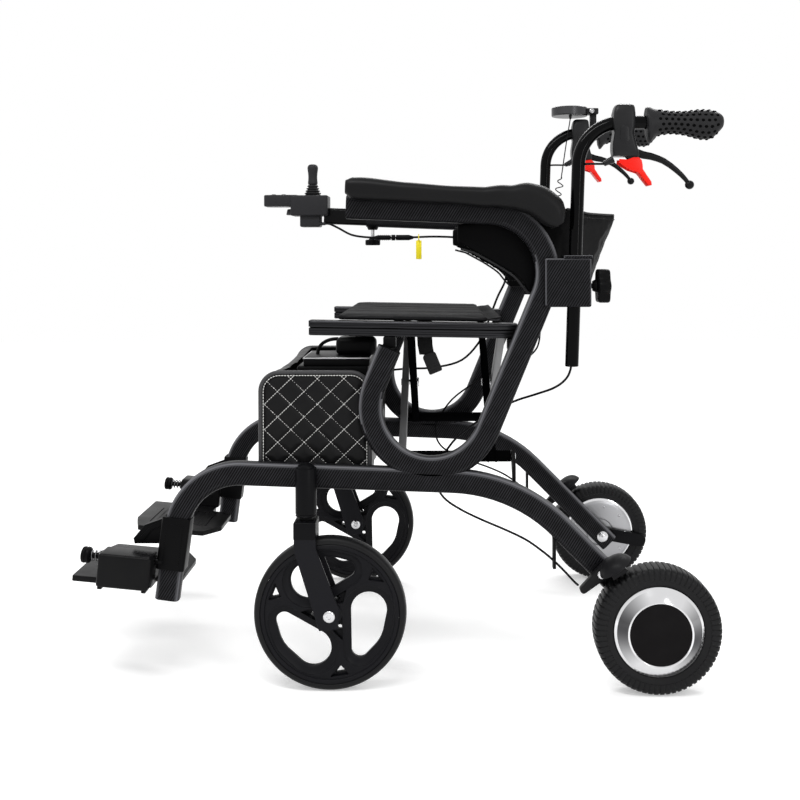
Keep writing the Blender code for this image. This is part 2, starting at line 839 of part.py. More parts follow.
def caster_fork():
    """The swivelling fork: stem, collar, crown, two trailing legs and the axle with its heads."""
    outer = FORK_INSIDE + FORK_LEG_THICK
    outline = fork_leg_outline()
    near_leg = plate(outline, -CASTER_Y - outer, -CASTER_Y - FORK_INSIDE)
    far_leg = plate(outline, -CASTER_Y + FORK_INSIDE, -CASTER_Y + outer)
    crown = box(
        (CASTER_X - CROWN_HALF, -CASTER_Y - outer - 0.0005, CROWN_LOW),
        (CASTER_X + CROWN_HALF, -CASTER_Y + outer + 0.0005, CROWN_HIGH),
    )
    y = -CASTER_Y
    collar = rod((CASTER_X, y, CROWN_HIGH - 0.001), (CASTER_X, y, BARREL_LOW - RUN_GAP), 0.0115)
    stem = rod((CASTER_X, y, CROWN_HIGH), (CASTER_X, y, BARREL_HIGH - 0.009), STEM_R)
    x, z = FRONT_AXLE
    axle = rod((x, -CASTER_Y - outer - 0.003, z), (x, -CASTER_Y + outer + 0.003, z), FRONT_AXLE_R)
    heads = [
        rod((x, -CASTER_Y + side * (outer - 0.001), z), (x, -CASTER_Y + side * (outer + 0.0035), z),
            0.0085, 10, 0.0055)
        for side in (-1, 1)
    ]
    return joined(near_leg, crown, far_leg, collar, stem, axle, *heads)


# Front wheels with three swirl openings

def swirl_outline(grow=0.0, count=SWIRL_POINTS):
    """One opening: the skin over circles that shrink from the big end to the small end."""
    radius = FRONT_WHEEL_R
    circles = []
    for step in range(7):
        t = step / 6
        x, z, r = (a + (b - a) * t for a, b in zip(SWIRL_BIG_END, SWIRL_SMALL_END))
        swell = max(0.0, SWIRL_OUTER_REACH - math.hypot(x, z) - r) if 0 < t < 0.9 else 0.0
        out = Vector((x, z)).normalized() * swell * math.sin(math.pi * t)
        circles.append((x + out.x, z + out.y, r))
    points = []
    for step in range(count):
        angle = 2 * math.pi * step / count
        nx, nz = math.cos(angle), math.sin(angle)
        x, z, r = max(circles, key=lambda c: c[0] * nx + c[1] * nz + c[2])
        reach = r * radius + grow
        points.append((x * radius + reach * nx, z * radius + reach * nz))
    return points


def about_wheel(points, turn):
    """Points round the wheel's middle, moved to the front axle and to one of the three openings."""
    angle = 2 * math.pi * turn / SWIRL_COUNT
    c, s = math.cos(angle), math.sin(angle)
    x0, z0 = FRONT_AXLE
    return [(x0 + x * c - z * s, z0 + x * s + z * c) for x, z in points]


def wheel_share(points):
    return [(x * FRONT_WHEEL_R, z * FRONT_WHEEL_R) for x, z in points]


def front_wheel():
    """A deep rim with ribs round three dishes, over a thin web with the openings."""
    rim_r = FRONT_WHEEL_R - FRONT_TYRE_THICK - SEAT_GAP
    hub_hole = circle(wheel_share([HUB_HOLE_AT])[0], HUB_HOLE_R * FRONT_WHEEL_R, 6)
    dishes = []
    openings = []
    for turn in range(SWIRL_COUNT):
        dishes.append(about_wheel(swirl_outline(DISH_WIDE, DISH_POINTS), turn))
        dishes.append(about_wheel(wheel_share(HUB_POCKET), turn))
        dishes.append(about_wheel(wheel_share(RIM_POCKET), turn))
        openings.append(about_wheel(swirl_outline(), turn))
        openings.append(about_wheel(wheel_share(RIM_NOTCH), turn))
        openings.append(about_wheel(hub_hole, turn))
    y = -CASTER_Y
    rim = plate(circle(FRONT_AXLE, rim_r, WHEEL_STEPS), y - RIM_HALF, y + RIM_HALF, dishes)
    web = plate(circle(FRONT_AXLE, rim_r - 0.004, 16), y - WEB_HALF, y + WEB_HALF, openings)
    x0, z0 = FRONT_AXLE
    hub = rod((x0, y - FRONT_HUB_HALF, z0), (x0, y + FRONT_HUB_HALF, z0), FRONT_HUB_R, 14)
    bore = rod((x0, y - 0.03, z0), (x0, y + 0.03, z0), FRONT_AXLE_R + RUN_GAP)
    return cut(joined(rim, web, hub), bore)


def front_tyre():
    """The thin solid tyre round the front wheel's rim."""
    inner = FRONT_WHEEL_R - FRONT_TYRE_THICK
    half = FRONT_TYRE_WIDE / 2
    profile = [
        (inner, half), (FRONT_WHEEL_R - 0.004, half - 0.002), (FRONT_WHEEL_R, half - 0.009),
        (FRONT_WHEEL_R, -half + 0.009), (FRONT_WHEEL_R - 0.004, -half + 0.002), (inner, -half),
    ]
    middle = (FRONT_AXLE[0], -CASTER_Y, FRONT_AXLE[1])
    return turned(profile, middle, (0, -1, 0), WHEEL_STEPS, ring=True)


# Rear wheels

def rear_tyre():
    """The solid tyre round the motor's shell."""
    inner = MOTOR_RIM_R + SEAT_GAP
    half = REAR_TYRE_WIDE / 2
    top = REAR_WHEEL_R
    profile = [
        (inner, half - 0.003), (top - 0.010, half), (top, half - 0.012),
        (top, -half + 0.012), (top - 0.010, -half), (inner, -half + 0.003),
    ]
    return turned(profile, (REAR_AXLE[0], -REAR_WHEEL_Y, REAR_AXLE[1]), (0, -1, 0), WHEEL_STEPS, ring=True)


def hub_motor():
    """The motor's shell: a raised round face, a sloping ring, a rim and a flat back cover."""
    bore = AXLE_SHAFT_R + RUN_GAP
    profile = [
        (0, MOTOR_FACE_Y), (MOTOR_FACE_R, MOTOR_FACE_Y), (MOTOR_RIM_R, MOTOR_RING_Y),
        (MOTOR_RIM_R, -MOTOR_BACK_Y + 0.004), (MOTOR_BACK_R, -MOTOR_BACK_Y), (bore, -MOTOR_BACK_Y),
        (bore, -MOTOR_BACK_Y + AXLE_BORE_DEEP), (0, -MOTOR_BACK_Y + AXLE_BORE_DEEP),
    ]
    return turned(profile, (REAR_AXLE[0], -REAR_WHEEL_Y, REAR_AXLE[1]), (0, -1, 0), WHEEL_STEPS)


def axle_bracket():
    """The plate that holds the motor's fixed shaft, stops it turning and carries the brake arm."""
    outer = -TUBE_OUTER_Y - SEAT_GAP
    thin = outer - PLATE_THICK
    leg = plate(capsule(REAR_AXLE, BRAKE_PIVOT, PLATE_HALF_WIDE, 0.012), thin, outer)
    arm = plate(capsule(REAR_AXLE, TORQUE_ARM_END, TORQUE_ARM_HALF), thin, outer)
    x, z = REAR_AXLE
    shaft_end = -REAR_WHEEL_Y + MOTOR_BACK_Y - AXLE_BORE_DEEP + 0.002
    shaft = rod((x, shaft_end, z), (x, -TUBE_INNER_Y + 0.003, z), AXLE_SHAFT_R)
    dome = turned(
        [(0, DOME_HIGH), (DOME_R * 0.65, DOME_HIGH * 0.75), (DOME_R, 0.001), (DOME_R, 0), (0, 0)],
        (x, -TUBE_INNER_Y + SEAT_GAP, z), (0, 1, 0), 12,
    )
    washer = rod((x, thin - 0.0015, z), (x, outer - 0.001, z), 0.0105, 6)
    pin_out = -BRAKE_ARM_Y - BRAKE_ARM_DEEP / 2 - 0.0025
    pin_x, pin_z = BRAKE_PIVOT
    pin = rod((pin_x, outer - 0.001, pin_z), (pin_x, pin_out, pin_z), BRAKE_PIN_R, 8)
    head_in = -BRAKE_ARM_Y - BRAKE_ARM_DEEP / 2 - RUN_GAP
    head = rod((pin_x, head_in, pin_z), (pin_x, head_in - 0.003, pin_z), 0.0068, 8, 0.005)
    return joined(leg, arm, washer, shaft, dome, pin, head)


def brake_arm():
    """The rear brake: an arm with a domed cap over the tyre, a shoe and the cable's end."""
    inner = -BRAKE_ARM_Y + BRAKE_ARM_DEEP / 2
    outer = -BRAKE_ARM_Y - BRAKE_ARM_DEEP / 2
    spoke = Vector((math.cos(BRAKE_CAP_AT), math.sin(BRAKE_CAP_AT)))
    tangent = Vector((spoke.y, -spoke.x))
    base = Vector(REAR_AXLE) + spoke * BRAKE_CAP_BASE
    dome = [
        (0, BRAKE_CAP_HIGH), (BRAKE_CAP_R * 0.5, BRAKE_CAP_HIGH * 0.84),
        (BRAKE_CAP_R * 0.85, BRAKE_CAP_HIGH * 0.42), (BRAKE_CAP_R, 0), (0, 0),
    ]
    cap = turned(dome, (base.x, -REAR_WHEEL_Y, base.y), (spoke.x, 0, spoke.y), 16)
    shoe_in = REAR_WHEEL_R + SHOE_GAP + 0.001
    shoe_out = BRAKE_CAP_BASE + 0.002
    corners = []
    for along, out in ((-0.013, shoe_in), (0.013, shoe_in), (0.011, shoe_out), (-0.011, shoe_out)):
        at = Vector(REAR_AXLE) + spoke * out + tangent * along
        corners.append((at.x, at.y))
    shoe = plate(corners, -REAR_WHEEL_Y - 0.015, -REAR_WHEEL_Y + 0.015)
    top = base + spoke * 0.006 - tangent * 0.004
    link = plate(capsule(BRAKE_PIVOT, (top.x, top.y), 0.0095, 0.0075), outer, inner)
    tail = plate(capsule(BRAKE_PIVOT, BRAKE_ARM_END, 0.0095, 0.0055), outer, inner)
    x, z = BRAKE_PIVOT
    hole = rod((x, outer - 0.01, z), (x, inner + 0.01, z), BRAKE_PIN_R + RUN_GAP, 8)
    tyre_room = rod(
        (REAR_AXLE[0], -REAR_WHEEL_Y - 0.05, REAR_AXLE[1]),
        (REAR_AXLE[0], -REAR_WHEEL_Y + 0.026, REAR_AXLE[1]), REAR_WHEEL_R + SHOE_GAP + 0.0005, WHEEL_STEPS,
    )
    head_room = rod((x, outer + 0.0005, z), (x, outer - 0.05, z), 0.0078, 8)
    return cut(joined(cap, shoe, link, tail), tyre_room, hole, head_room)


# Handles

def post_path():
    low = Vector((post_x(POST_LOW_Z), POST_LOW_Z))
    corner = (post_x(POST_BEND_Z), POST_BEND_Z, POST_BEND_R)
    return bend_path(tuple(low), (corner,), (POST_END_X, POST_BEND_Z))


def post_form(grow=0.0):
    """The left handle's bent tube, or the room it takes when it is grown for a bore."""
    return tube([(x, -POST_Y, z) for x, z in post_path()], POST_R + grow, 3)


def handle_post():
    """The handle's tube, hollow up to the hole that the brake cable goes in by."""
    body = post_form()
    bore = rod(
        (post_x(POST_LOW_Z - 0.02), -POST_Y, POST_LOW_Z - 0.02),
        (post_x(CABLE_ENTRY_Z + 0.012), -POST_Y, CABLE_ENTRY_Z + 0.012), POST_BORE_R, 10,
    )
    entry = rod(
        (post_x(CABLE_ENTRY_Z), -POST_Y, CABLE_ENTRY_Z),
        (post_x(CABLE_ENTRY_Z) + 0.03, -POST_Y, CABLE_ENTRY_Z), CABLE_ENTRY_R, 8,
    )
    return cut(body, bore, entry)


GRIP_SECTIONS = (
    # x, lower z, upper z, half width
    (GRIP_FRONT, 0.8640, 0.8995, 0.0165),
    (GRIP_FRONT + 0.004, 0.8440, 0.9005, 0.0195),
    (GRIP_FRONT + 0.009, 0.8465, 0.8985, 0.0190),
    (GRIP_FRONT + 0.020, 0.8560, 0.8960, 0.0170),
    (GRIP_FRONT + 0.040, 0.8590, 0.8932, 0.0155),
    (GRIP_FRONT + 0.062, 0.8565, 0.8930, 0.0165),
    (GRIP_FRONT + 0.082, 0.8505, 0.8955, 0.0185),
    (GRIP_FRONT + 0.100, 0.8500, 0.8950, 0.0190),
    (GRIP_FRONT + 0.113, 0.8600, 0.8915, 0.0160),
    (GRIP_REAR, 0.8690, 0.8850, 0.0080),
)


def grip():
    """The shaped rubber grip with a flared collar in front and a rounded tail."""
    rings = []
    for x, low, high, half in GRIP_SECTIONS:
        middle = (low + high) / 2
        ring = []
        for step in range(12):
            angle = 2 * math.pi * step / 12
            up = (high - low) / 2 * math.sin(angle)
            ring.append((x, -POST_Y + half * math.cos(angle), middle + up))
        rings.append(ring)
    return cut(loft(rings), post_form(SEAT_GAP))


def brake_body():
    """The lever's housing: a clamp on the tube, a waisted rubber body and two cheeks below."""
    front, rear = BRAKE_BODY_X
    half = BRAKE_BODY_HALF_DEEP
    levels = (
        (BRAKE_BODY_LOW, front + 0.001, rear + 0.006, half - 0.003),
        (BRAKE_BODY_LOW + 0.018, front - 0.001, rear + 0.002, half),
        (BRAKE_BODY_LOW + 0.036, front + 0.002, rear - 0.002, half - 0.001),
        (POST_BEND_Z, front, rear, half),
        (BRAKE_BODY_TOP - 0.004, front + 0.004, rear - 0.001, half - 0.002),
        (BRAKE_BODY_TOP, front + 0.007, rear - 0.004, half - 0.006),
    )
    rings = []
    for z, x_low, x_high, deep in levels:
        section = rounded_rectangle((x_high - x_low) / 2, deep, 0.006)
        rings.append([((x_low + x_high) / 2 + a, -POST_Y + b, z) for a, b in section])
    body = loft(rings)
    cheek = capsule((LEVER_PIVOT[0] - 0.004, LEVER_PIVOT[1]), PARK_PIVOT, 0.010, 0.0072)
    cheeks = plate(cheek, -POST_Y - 0.0095, -POST_Y + 0.0095)
    body = joined(body, cheeks)
    bore = post_form(SEAT_GAP)
    slot = box(
        (LEVER_PIVOT[0] - 0.012, -POST_Y - CHEEK_SLOT / 2, PARK_PIVOT[1] - 0.03),
        (rear + 0.03, -POST_Y + CHEEK_SLOT / 2, LEVER_PIVOT[1] + 0.0115),
    )
    body = cut(body, bore, slot)
    pins = [
        rod((x, -POST_Y - 0.009, z), (x, -POST_Y + 0.009, z), LEVER_PIN_R, 8)
        for x, z in (LEVER_PIVOT, PARK_PIVOT)
    ]
    return joined(body, *pins)


def brake_lever():
    """The curved lever: a boss on the pin, a blade that narrows and a ball end."""
    x0, z0 = LEVER_PIVOT
    boss = plate(circle(LEVER_PIVOT, 0.0078, 10), -POST_Y - LEVER_THICK / 2, -POST_Y + LEVER_THICK / 2)
    middle = (
        # x, z and half width of the blade's middle line
        (x0, z0, 0.0062), (0.3777, 0.8255, 0.0062), (0.3900, 0.8240, 0.0056), (0.4092, 0.8165, 0.0050),
        (0.4300, 0.8010, 0.0042), (0.4440, 0.7870, 0.0034), (*LEVER_BALL, 0.0028),
    )
    rings = []
    for index, (x, z, half) in enumerate(middle):
        before = middle[max(index - 1, 0)]
        after = middle[min(index + 1, len(middle) - 1)]
        along = Vector((after[0] - before[0], after[1] - before[1])).normalized()
        across = Vector((-along.y, along.x))
        deep = min(LEVER_THICK / 2 - 0.0004, half + 0.0006)
        ring = []
        for step in range(6):
            angle = 2 * math.pi * step / 6
            up = half * math.sin(angle)
            ring.append((x + across.x * up, -POST_Y + deep * math.cos(angle), z + across.y * up))
        rings.append(ring)
    blade = loft(rings)
    end = ball((LEVER_BALL[0], -POST_Y, LEVER_BALL[1]), LEVER_BALL_R)
    hole = rod((x0, -POST_Y - 0.02, z0), (x0, -POST_Y + 0.02, z0), LEVER_PIN_R + RUN_GAP, 8)
    return cut(joined(boss, blade, end), hole)


def park_lever():
    """The red parking lever under the brake lever."""
    deep = LEVER_THICK / 2
    head = plate(circle(PARK_PIVOT, 0.0062, 10), -POST_Y - deep, -POST_Y + deep)
    outline = capsule(PARK_PIVOT, PARK_TIP, PARK_R, 0.0026)
    arm = plate(outline, -POST_Y - deep + 0.001, -POST_Y + deep - 0.001)
    x, z = PARK_PIVOT
    hole = rod((x, -POST_Y - 0.02, z), (x, -POST_Y + 0.02, z), LEVER_PIN_R + RUN_GAP, 8)
    return cut(joined(head, arm), hole)


# Folding braces, each with the seat rail that it carries

def brace_angle():
    return math.atan2(RAIL_Z - RAIL_LOWER_TALL - PIVOT_Z, PIVOT_Y + RAIL_Y)


def centre_z():
    """Height where the two braces cross, over the middle of the object."""
    return PIVOT_Z + PIVOT_Y * math.tan(brace_angle())


def brace_bar(x):
    """A flat bar that narrows a little from the left lower pivot up to the right seat rail."""
    low = Vector((-PIVOT_Y, PIVOT_Z))
    high = Vector((RAIL_Y, RAIL_Z - RAIL_LOWER_TALL + 0.004))
    along = (high - low).normalized()
    across = Vector((-along.y, along.x)) * BAR_WIDE / 2
    outline = [low + across, low - across, high - across * 0.6, high + across * 0.6]
    return plate(outline, x - BAR_THICK / 2, x + BAR_THICK / 2, across="X")


def seat_rail(y):
    """A seat rail of two stacked strips that runs front to back."""
    middle = (RAIL_X[0] + RAIL_X[1]) / 2
    lower = box(
        (RAIL_X[0], y - RAIL_LOWER_HALF, RAIL_Z - RAIL_LOWER_TALL),
        (RAIL_X[1], y + RAIL_LOWER_HALF, RAIL_Z - 0.0002),
    )
    upper = box(
        (RAIL_X[0], y - RAIL_UPPER_HALF, RAIL_Z + 0.0006),
        (RAIL_X[1], y + RAIL_UPPER_HALF, RAIL_Z + RAIL_UPPER_TALL), 0.003,
    )
    web = box(
        (RAIL_X[0] + 0.002, y - 0.007, RAIL_Z - 0.003),
        (RAIL_X[1] - 0.002, y + 0.007, RAIL_Z + 0.004),
    )
    rail = turned_about_y(joined(lower, web, upper), (middle, RAIL_Z), RAIL_SLOPE)
    rail.data.transform(Matrix.Translation((0, 0, rail_z(middle) - RAIL_Z)))
    return rail


def brace(bars, pin_side):
    """The brace that starts at the left lower pivot. Its pins or holes are at the crossing."""
    body = rod((LOWER_TUBE_X[0], -PIVOT_Y, PIVOT_Z), (LOWER_TUBE_X[1], -PIVOT_Y, PIVOT_Z), LOWER_TUBE_R)
    for x in bars:
        body = joined(body, brace_bar(x))
    body = joined(body, seat_rail(RAIL_Y))
    bore = rod((-0.1, -PIVOT_Y, PIVOT_Z), (0.3, -PIVOT_Y, PIVOT_Z), PIVOT_ROD_R + RUN_GAP, 10)
    body = cut(body, bore)
    z = centre_z()
    for x in bars:
        if pin_side:
            far = x + pin_side * (BAR_STEP + BAR_THICK / 2)
            pin = rod((x, 0, z), (far + 0.003, 0, z), CENTRE_PIN_R, 8)
            head = rod((far + RUN_GAP, 0, z), (far + 0.0035, 0, z), 0.0085, 8)
            body = joined(body, pin, head)
        else:
            body = cut(body, rod((x - 0.02, 0, z), (x + 0.02, 0, z), CENTRE_PIN_R + RUN_GAP, 12))
    return body


def mirrored(obj):
    return raised_right(obj, 0)


# Soft pieces

def seat_cushion():
    """A thin padded seat over both rails, crowned, with drawn-in sides and four sewn channels."""
    columns = 14
    rows = 6
    low = RAIL_UPPER_TALL + SEAT_GAP
    form = bmesh.new()
    top = []
    rim = {}
    for row in range(rows + 1):
        v = row / rows
        top_row = []
        for column in range(columns + 1):
            u = column / columns
            draw = 0.004 * math.sin(math.pi * v) * (1 if column in (0, columns) else 0)
            y = -SEAT_HALF_WIDE + draw + (2 * SEAT_HALF_WIDE - 2 * draw) * u
            x = SEAT_X[0] + (SEAT_X[1] - SEAT_X[0]) * v
            crown = (math.sin(math.pi * u) * math.sin(math.pi * v)) ** 0.4
            seam = 0.0035 if column in (3, 6, 8, 11) else 0.0
            under = rail_z(x) + low
            swell = (SEAT_THICK - SEAT_EDGE - seam) * crown
            top_row.append(form.verts.new((x, y, under + SEAT_EDGE + swell)))
            if row in (0, rows) or column in (0, columns):
                rim[row, column] = form.verts.new((x, y, under))
        top.append(top_row)
    for row, after in zip(top, top[1:]):
        for at in range(columns):
            form.faces.new((row[at], row[at + 1], after[at + 1], after[at]))
    edge = [(0, column) for column in range(columns)]
    edge += [(row, columns) for row in range(rows)]
    edge += [(rows, column) for column in range(columns, 0, -1)]
    edge += [(row, 0) for row in range(rows, 0, -1)]
    for (a, b), (c, d) in zip(edge, edge[1:] + edge[:1]):
        form.faces.new((top[a][b], top[c][d], rim[c, d], rim[a, b]))
    form.faces.new([rim[spot] for spot in reversed(edge)])
    return rounded(from_form(form), 0.004)


def seat_pad():
    """The seat with the short pull strap that is sewn under it."""
    cushion = seat_cushion()
    top_z = rail_z(STRAP_X) + RAIL_UPPER_TALL + 0.006
    strap = box(
        (STRAP_X - 0.0125, STRAP_Y - 0.0015, STRAP_LOW_Z + 0.03),
        (STRAP_X + 0.0125, STRAP_Y + 0.0015, top_z),
    )
    paddle = box(
        (STRAP_X - 0.010, STRAP_Y - 0.0035, STRAP_LOW_Z),
        (STRAP_X + 0.014, STRAP_Y + 0.0035, STRAP_LOW_Z + 0.034), 0.0015,
    )
    return joined(cushion, strap, paddle)


PAD_PROFILE = (
    # share of the length, top and underside above the tube's middle line
    (0.0, 0.0400, 0.0200), (0.035, 0.0445, 0.0110), (0.09, 0.0452, 0.0107), (0.30, 0.0400, 0.0107),
    (0.52, 0.0370, 0.0107), (0.69, 0.0373, 0.0075), (0.78, 0.0444, 0.0093), (0.84, 0.0595, 0.0130),
    (0.89, 0.0664, 0.0170), (0.945, 0.0670, 0.0193), (0.975, 0.0600, 0.0230), (1.0, 0.0480, 0.0310),
)


def arm_pad_form(grow=0.0):
    """The arm rest's form: it follows the tube over its rear bend and swells into a stop there.

    Its rear end stays PAD_END along the tube, in front of the handle post.
    """
    path = [Vector(point) for point in arm_path()]
    start = path[0] + (path[0] - path[1]).normalized() * (PAD_LONG - PAD_END)
    line = [start] + path[1:]
    lengths = [0.0]
    for before, after in zip(line, line[1:]):
        lengths.append(lengths[-1] + (after - before).length)
    rings = []
    for share, top, low in PAD_PROFILE:
        target = PAD_LONG * share
        at = max(i for i in range(len(line) - 1) if lengths[i] <= target)
        along = (line[at + 1] - line[at]).normalized()
        point = line[at] + along * (target - lengths[at])
        normal = smooth_normal(line, lengths, target)
        half = PAD_HALF_WIDE * (0.84 if share in (0, 1) else 1.0) + grow
        mid = (top + low) / 2
        tall = (top - low) / 2 + grow
        if share in (0, 1):
            point = point + along * grow * (1 if share else -1)
        ring = []
        for a, b in rounded_rectangle(tall, half, min(tall, half) * 0.62):
            crown = PAD_CROWN * (1 - (b / half) ** 2) if a > 0 else 0
            spot = point + normal * (mid + a + crown)
            ring.append((spot.x, -PAD_Y + b, spot.y))
        rings.append(ring)
    return loft(rings)


def arm_pad():
    """The padded arm rest, with a channel under it for the tube and for the bar ahead of it."""
    path = [Vector(point) for point in arm_path()]
    ahead = (path[0] - path[1]).normalized() * (PAD_LONG - PAD_END + RUN_GAP)
    return cut(arm_pad_form(), frame_tube([path[0] + ahead, *path[1:]], SEAT_GAP))


def smooth_normal(line, lengths, target):
    """The outward direction at a length along the line, turning evenly from run to run."""
    def heading(at):
        at = min(max(at, 0), len(line) - 2)
        return (line[at + 1] - line[at]).normalized()
    at = max(i for i in range(len(line) - 1) if lengths[i] <= target)
    share = (target - lengths[at]) / (lengths[at + 1] - lengths[at])
    if at == 0:
        along = heading(0)
    else:
        before = (heading(at - 1) + heading(at)).normalized()
        after = (heading(at) + heading(at + 1)).normalized()
        along = before.lerp(after, share).normalized()
    return Vector((-along.y, along.x))


def backrest_plan(share):
    """Plan of the backrest's top line: forward wing, round corner, then a shallow curve behind."""
    start = (BACK_FRONT_X, -BACK_Y)
    path = bend_path(start, ((BACK_CORNER_X, -BACK_Y, BACK_CORNER_R),), (BACK_REACH, -BACK_FLAT_Y))
    full = path + [(BACK_REACH + BACK_BULGE, 0.0)] + [(x, -y) for x, y in reversed(path)]
    line = [Vector(point) for point in full]
    lengths = [0.0]
    for before, after in zip(line, line[1:]):
        lengths.append(lengths[-1] + (after - before).length)
    target = lengths[-1] * share
    at = max(i for i in range(len(line) - 1) if lengths[i] <= target + 1e-9)
    run = lengths[at + 1] - lengths[at]
    point = line[at].lerp(line[at + 1], (target - lengths[at]) / run)
    along = (line[at + 1] - line[at]).normalized()
    return point, Vector((along.y, -along.x))


def backrest():
    """A padded band that wraps behind the user, held on the inner faces of both arm tubes."""
    columns = 20
    rows = 4
    rings = []
    for column in range(columns + 1):
        point, out = backrest_plan(column / columns)
        back = min(1.0, max(0.0, (point.x - BACK_LEAN_X[0]) / (BACK_LEAN_X[1] - BACK_LEAN_X[0])))
        wing = min(1.0, max(0.0, (WING_REAR_X - point.x) / (WING_REAR_X - BACK_FRONT_X)))
        top_z = BACK_TOP_Z - BACK_TOP_DIP * back - WING_TOP_DROP * wing
        low_z = BACK_LOW_Z + WING_LOW_RISE * wing ** 0.8
        thick = BACK_THICK * (0.35 if column in (0, columns) else 1.0)
        ring = []
        levels = [(v / rows, 1) for v in range(rows + 1)]
        levels += [(v / rows, -1) for v in range(rows, -1, -1)]
        for v, face in levels:
            z = low_z + (top_z - low_z) * v
            lean = (top_z - z) * BACK_LEAN * back
            swell = thick / 2 * (0.45 if v in (0, 1) else 1.0)
            spot = point - Vector((lean, 0)) + out * face * swell
            ring.append((spot.x, spot.y, z))
        rings.append(ring)
    band = cut(loft(rings), arm_pad_form(0.0006))
    return cut(band, mirrored(arm_pad_form(0.0006)))


def bag():
    """The soft bag under the seat: a side outline with round top corners, open on top."""
    low, high = BAG_Z
    front, rear = BAG_X

    def outline(inset, top):
        radius = max(BAG_CORNER - inset, 0.004)
        points = [(front + inset, low + inset), (rear - inset, low + inset)]
        for centre_x, base in ((rear - inset - radius, 0), (front + inset + radius, 90)):
            for step in range(6):
                angle = math.radians(base + 90 * step / 5)
                x = centre_x + radius * math.cos(angle)
                points.append((x, top - radius + radius * math.sin(angle)))
        return points
    shell = plate(outline(0.0, high), -BAG_HALF_WIDE, BAG_HALF_WIDE)
    inner_half = BAG_HALF_WIDE - BAG_WALL
    inside = plate(outline(BAG_WALL, high - BAG_WALL), -inner_half, inner_half)
    mouth = box(
        (front + BAG_CORNER, -BAG_HALF_WIDE + 0.02, high - 0.03),
        (rear - BAG_WALL - 0.002, BAG_HALF_WIDE - 0.02, high + 0.02),
    )
    return cut(shell, inside, mouth)


def battery():
    """The battery pack that stands in the bag, with its carrying handle on top."""
    floor = BAG_Z[0] + BAG_WALL + SEAT_GAP
    case = box((BATTERY_X[0], BATTERY_Y[0], floor), (BATTERY_X[1], BATTERY_Y[1], BATTERY_HIGH), 0.004)
    handle = box(
        (BATTERY_X[0] + 0.045, BATTERY_Y[0] + 0.045, BATTERY_HIGH - 0.002),
        (BATTERY_X[1] - 0.008, BATTERY_Y[1] - 0.045, BATTERY_HIGH + 0.030), 0.004,
    )
    finger = box(
        (BATTERY_X[0] + 0.055, BATTERY_Y[0], BATTERY_HIGH + 0.002),
        (BATTERY_X[1] - 0.018, BATTERY_Y[1], BATTERY_HIGH + 0.020),
    )
    return joined(case, cut(handle, finger))


# Foot rests

def foot_sleeve():
    """The black sleeve on the base tube's foot, with the gusset and the hinge pin."""
    foot = Vector(BASE_FOOT)
    up = (Vector(BASE_ARCH[:2]) - foot).normalized()
    top = foot + up * (SLEEVE_TOP - foot.y) / up.y
    low = top - up * SLEEVE_LONG
    tall = TUBE_TALL + 2 * SLEEVE_WALL
    deep = TUBE_DEEP + 2 * SLEEVE_WALL
    sleeve = strip_tube([tuple(low), tuple(top)], tall, deep, 0.004, -FRAME_Y)
    gusset = plate(
        [(-0.372, 0.257), (-0.411, 0.243), (-0.429, 0.222), (-0.427, 0.2135), (-0.376, 0.2135)],
        -FRAME_Y + 0.007, -FRAME_Y + 0.0155,
    )
    axis_at = Vector((FOOT_AXIS[0], FOOT_AXIS[1]))
    pin = rod((FOOT_PIN_END, -FOOT_AXIS_Y, axis_at.y), (-0.378, -FOOT_AXIS_Y, axis_at.y), FOOT_PIN_R, 12)
    pin = turned_about_y(pin, FOOT_AXIS, FOOT_PITCH)
    body = joined(sleeve, gusset, pin)
    return cut(body, frame_tube(base_path(), SEAT_GAP))


def footplate():
    """The folding plate: the hinge housing, the ribbed tread and its cut corners."""
    x_low, x_high = FOOTPLATE_X
    top = FOOT_AXIS[1] - FOOTPLATE_DROP
    inner = -FOOTPLATE_INNER_Y
    wide = -FOOTPLATE_WIDE_Y
    outer = -FOOT_HOUSING_Y[0] - 0.006
    outline = [
        (x_low, outer), (x_low, inner - 0.055), (x_low + 0.017, inner), (x_high - 0.026, inner),
        (x_high, inner - 0.045), (x_high, wide - 0.012), (x_high - 0.012, wide),
        (FOOTPLATE_NECK_X, wide), (FOOTPLATE_NECK_X, outer),
    ]
    tread = plate(outline, top - FOOTPLATE_THICK, top, across="Z")
    step = (x_high - x_low - 0.06) / (GROOVE_COUNT - 1)
    grooves = [
        box((x_low + 0.03 + step * k - 0.0012, wide + 0.012, top - GROOVE_DEEP),
            (x_low + 0.03 + step * k + 0.0012, inner - 0.035, top + 0.01))
        for k in range(GROOVE_COUNT)
    ]
    tread = cut(tread, *grooves)
    housing = box(
        (FOOT_HOUSING_X[0], -FOOT_HOUSING_Y[1], FOOT_AXIS[1] - FOOT_HOUSING_BELOW),
        (FOOT_HOUSING_X[1], -FOOT_HOUSING_Y[0], FOOT_AXIS[1] + FOOT_HOUSING_ABOVE), 0.003,
    )
    bore = rod(
        (-0.6, -FOOT_AXIS_Y, FOOT_AXIS[1]), (-0.3, -FOOT_AXIS_Y, FOOT_AXIS[1]), FOOT_PIN_R + RUN_GAP, 12
    )
    body = cut(joined(tread, housing), bore)
    return turned_about_y(body, FOOT_AXIS, FOOT_PITCH)


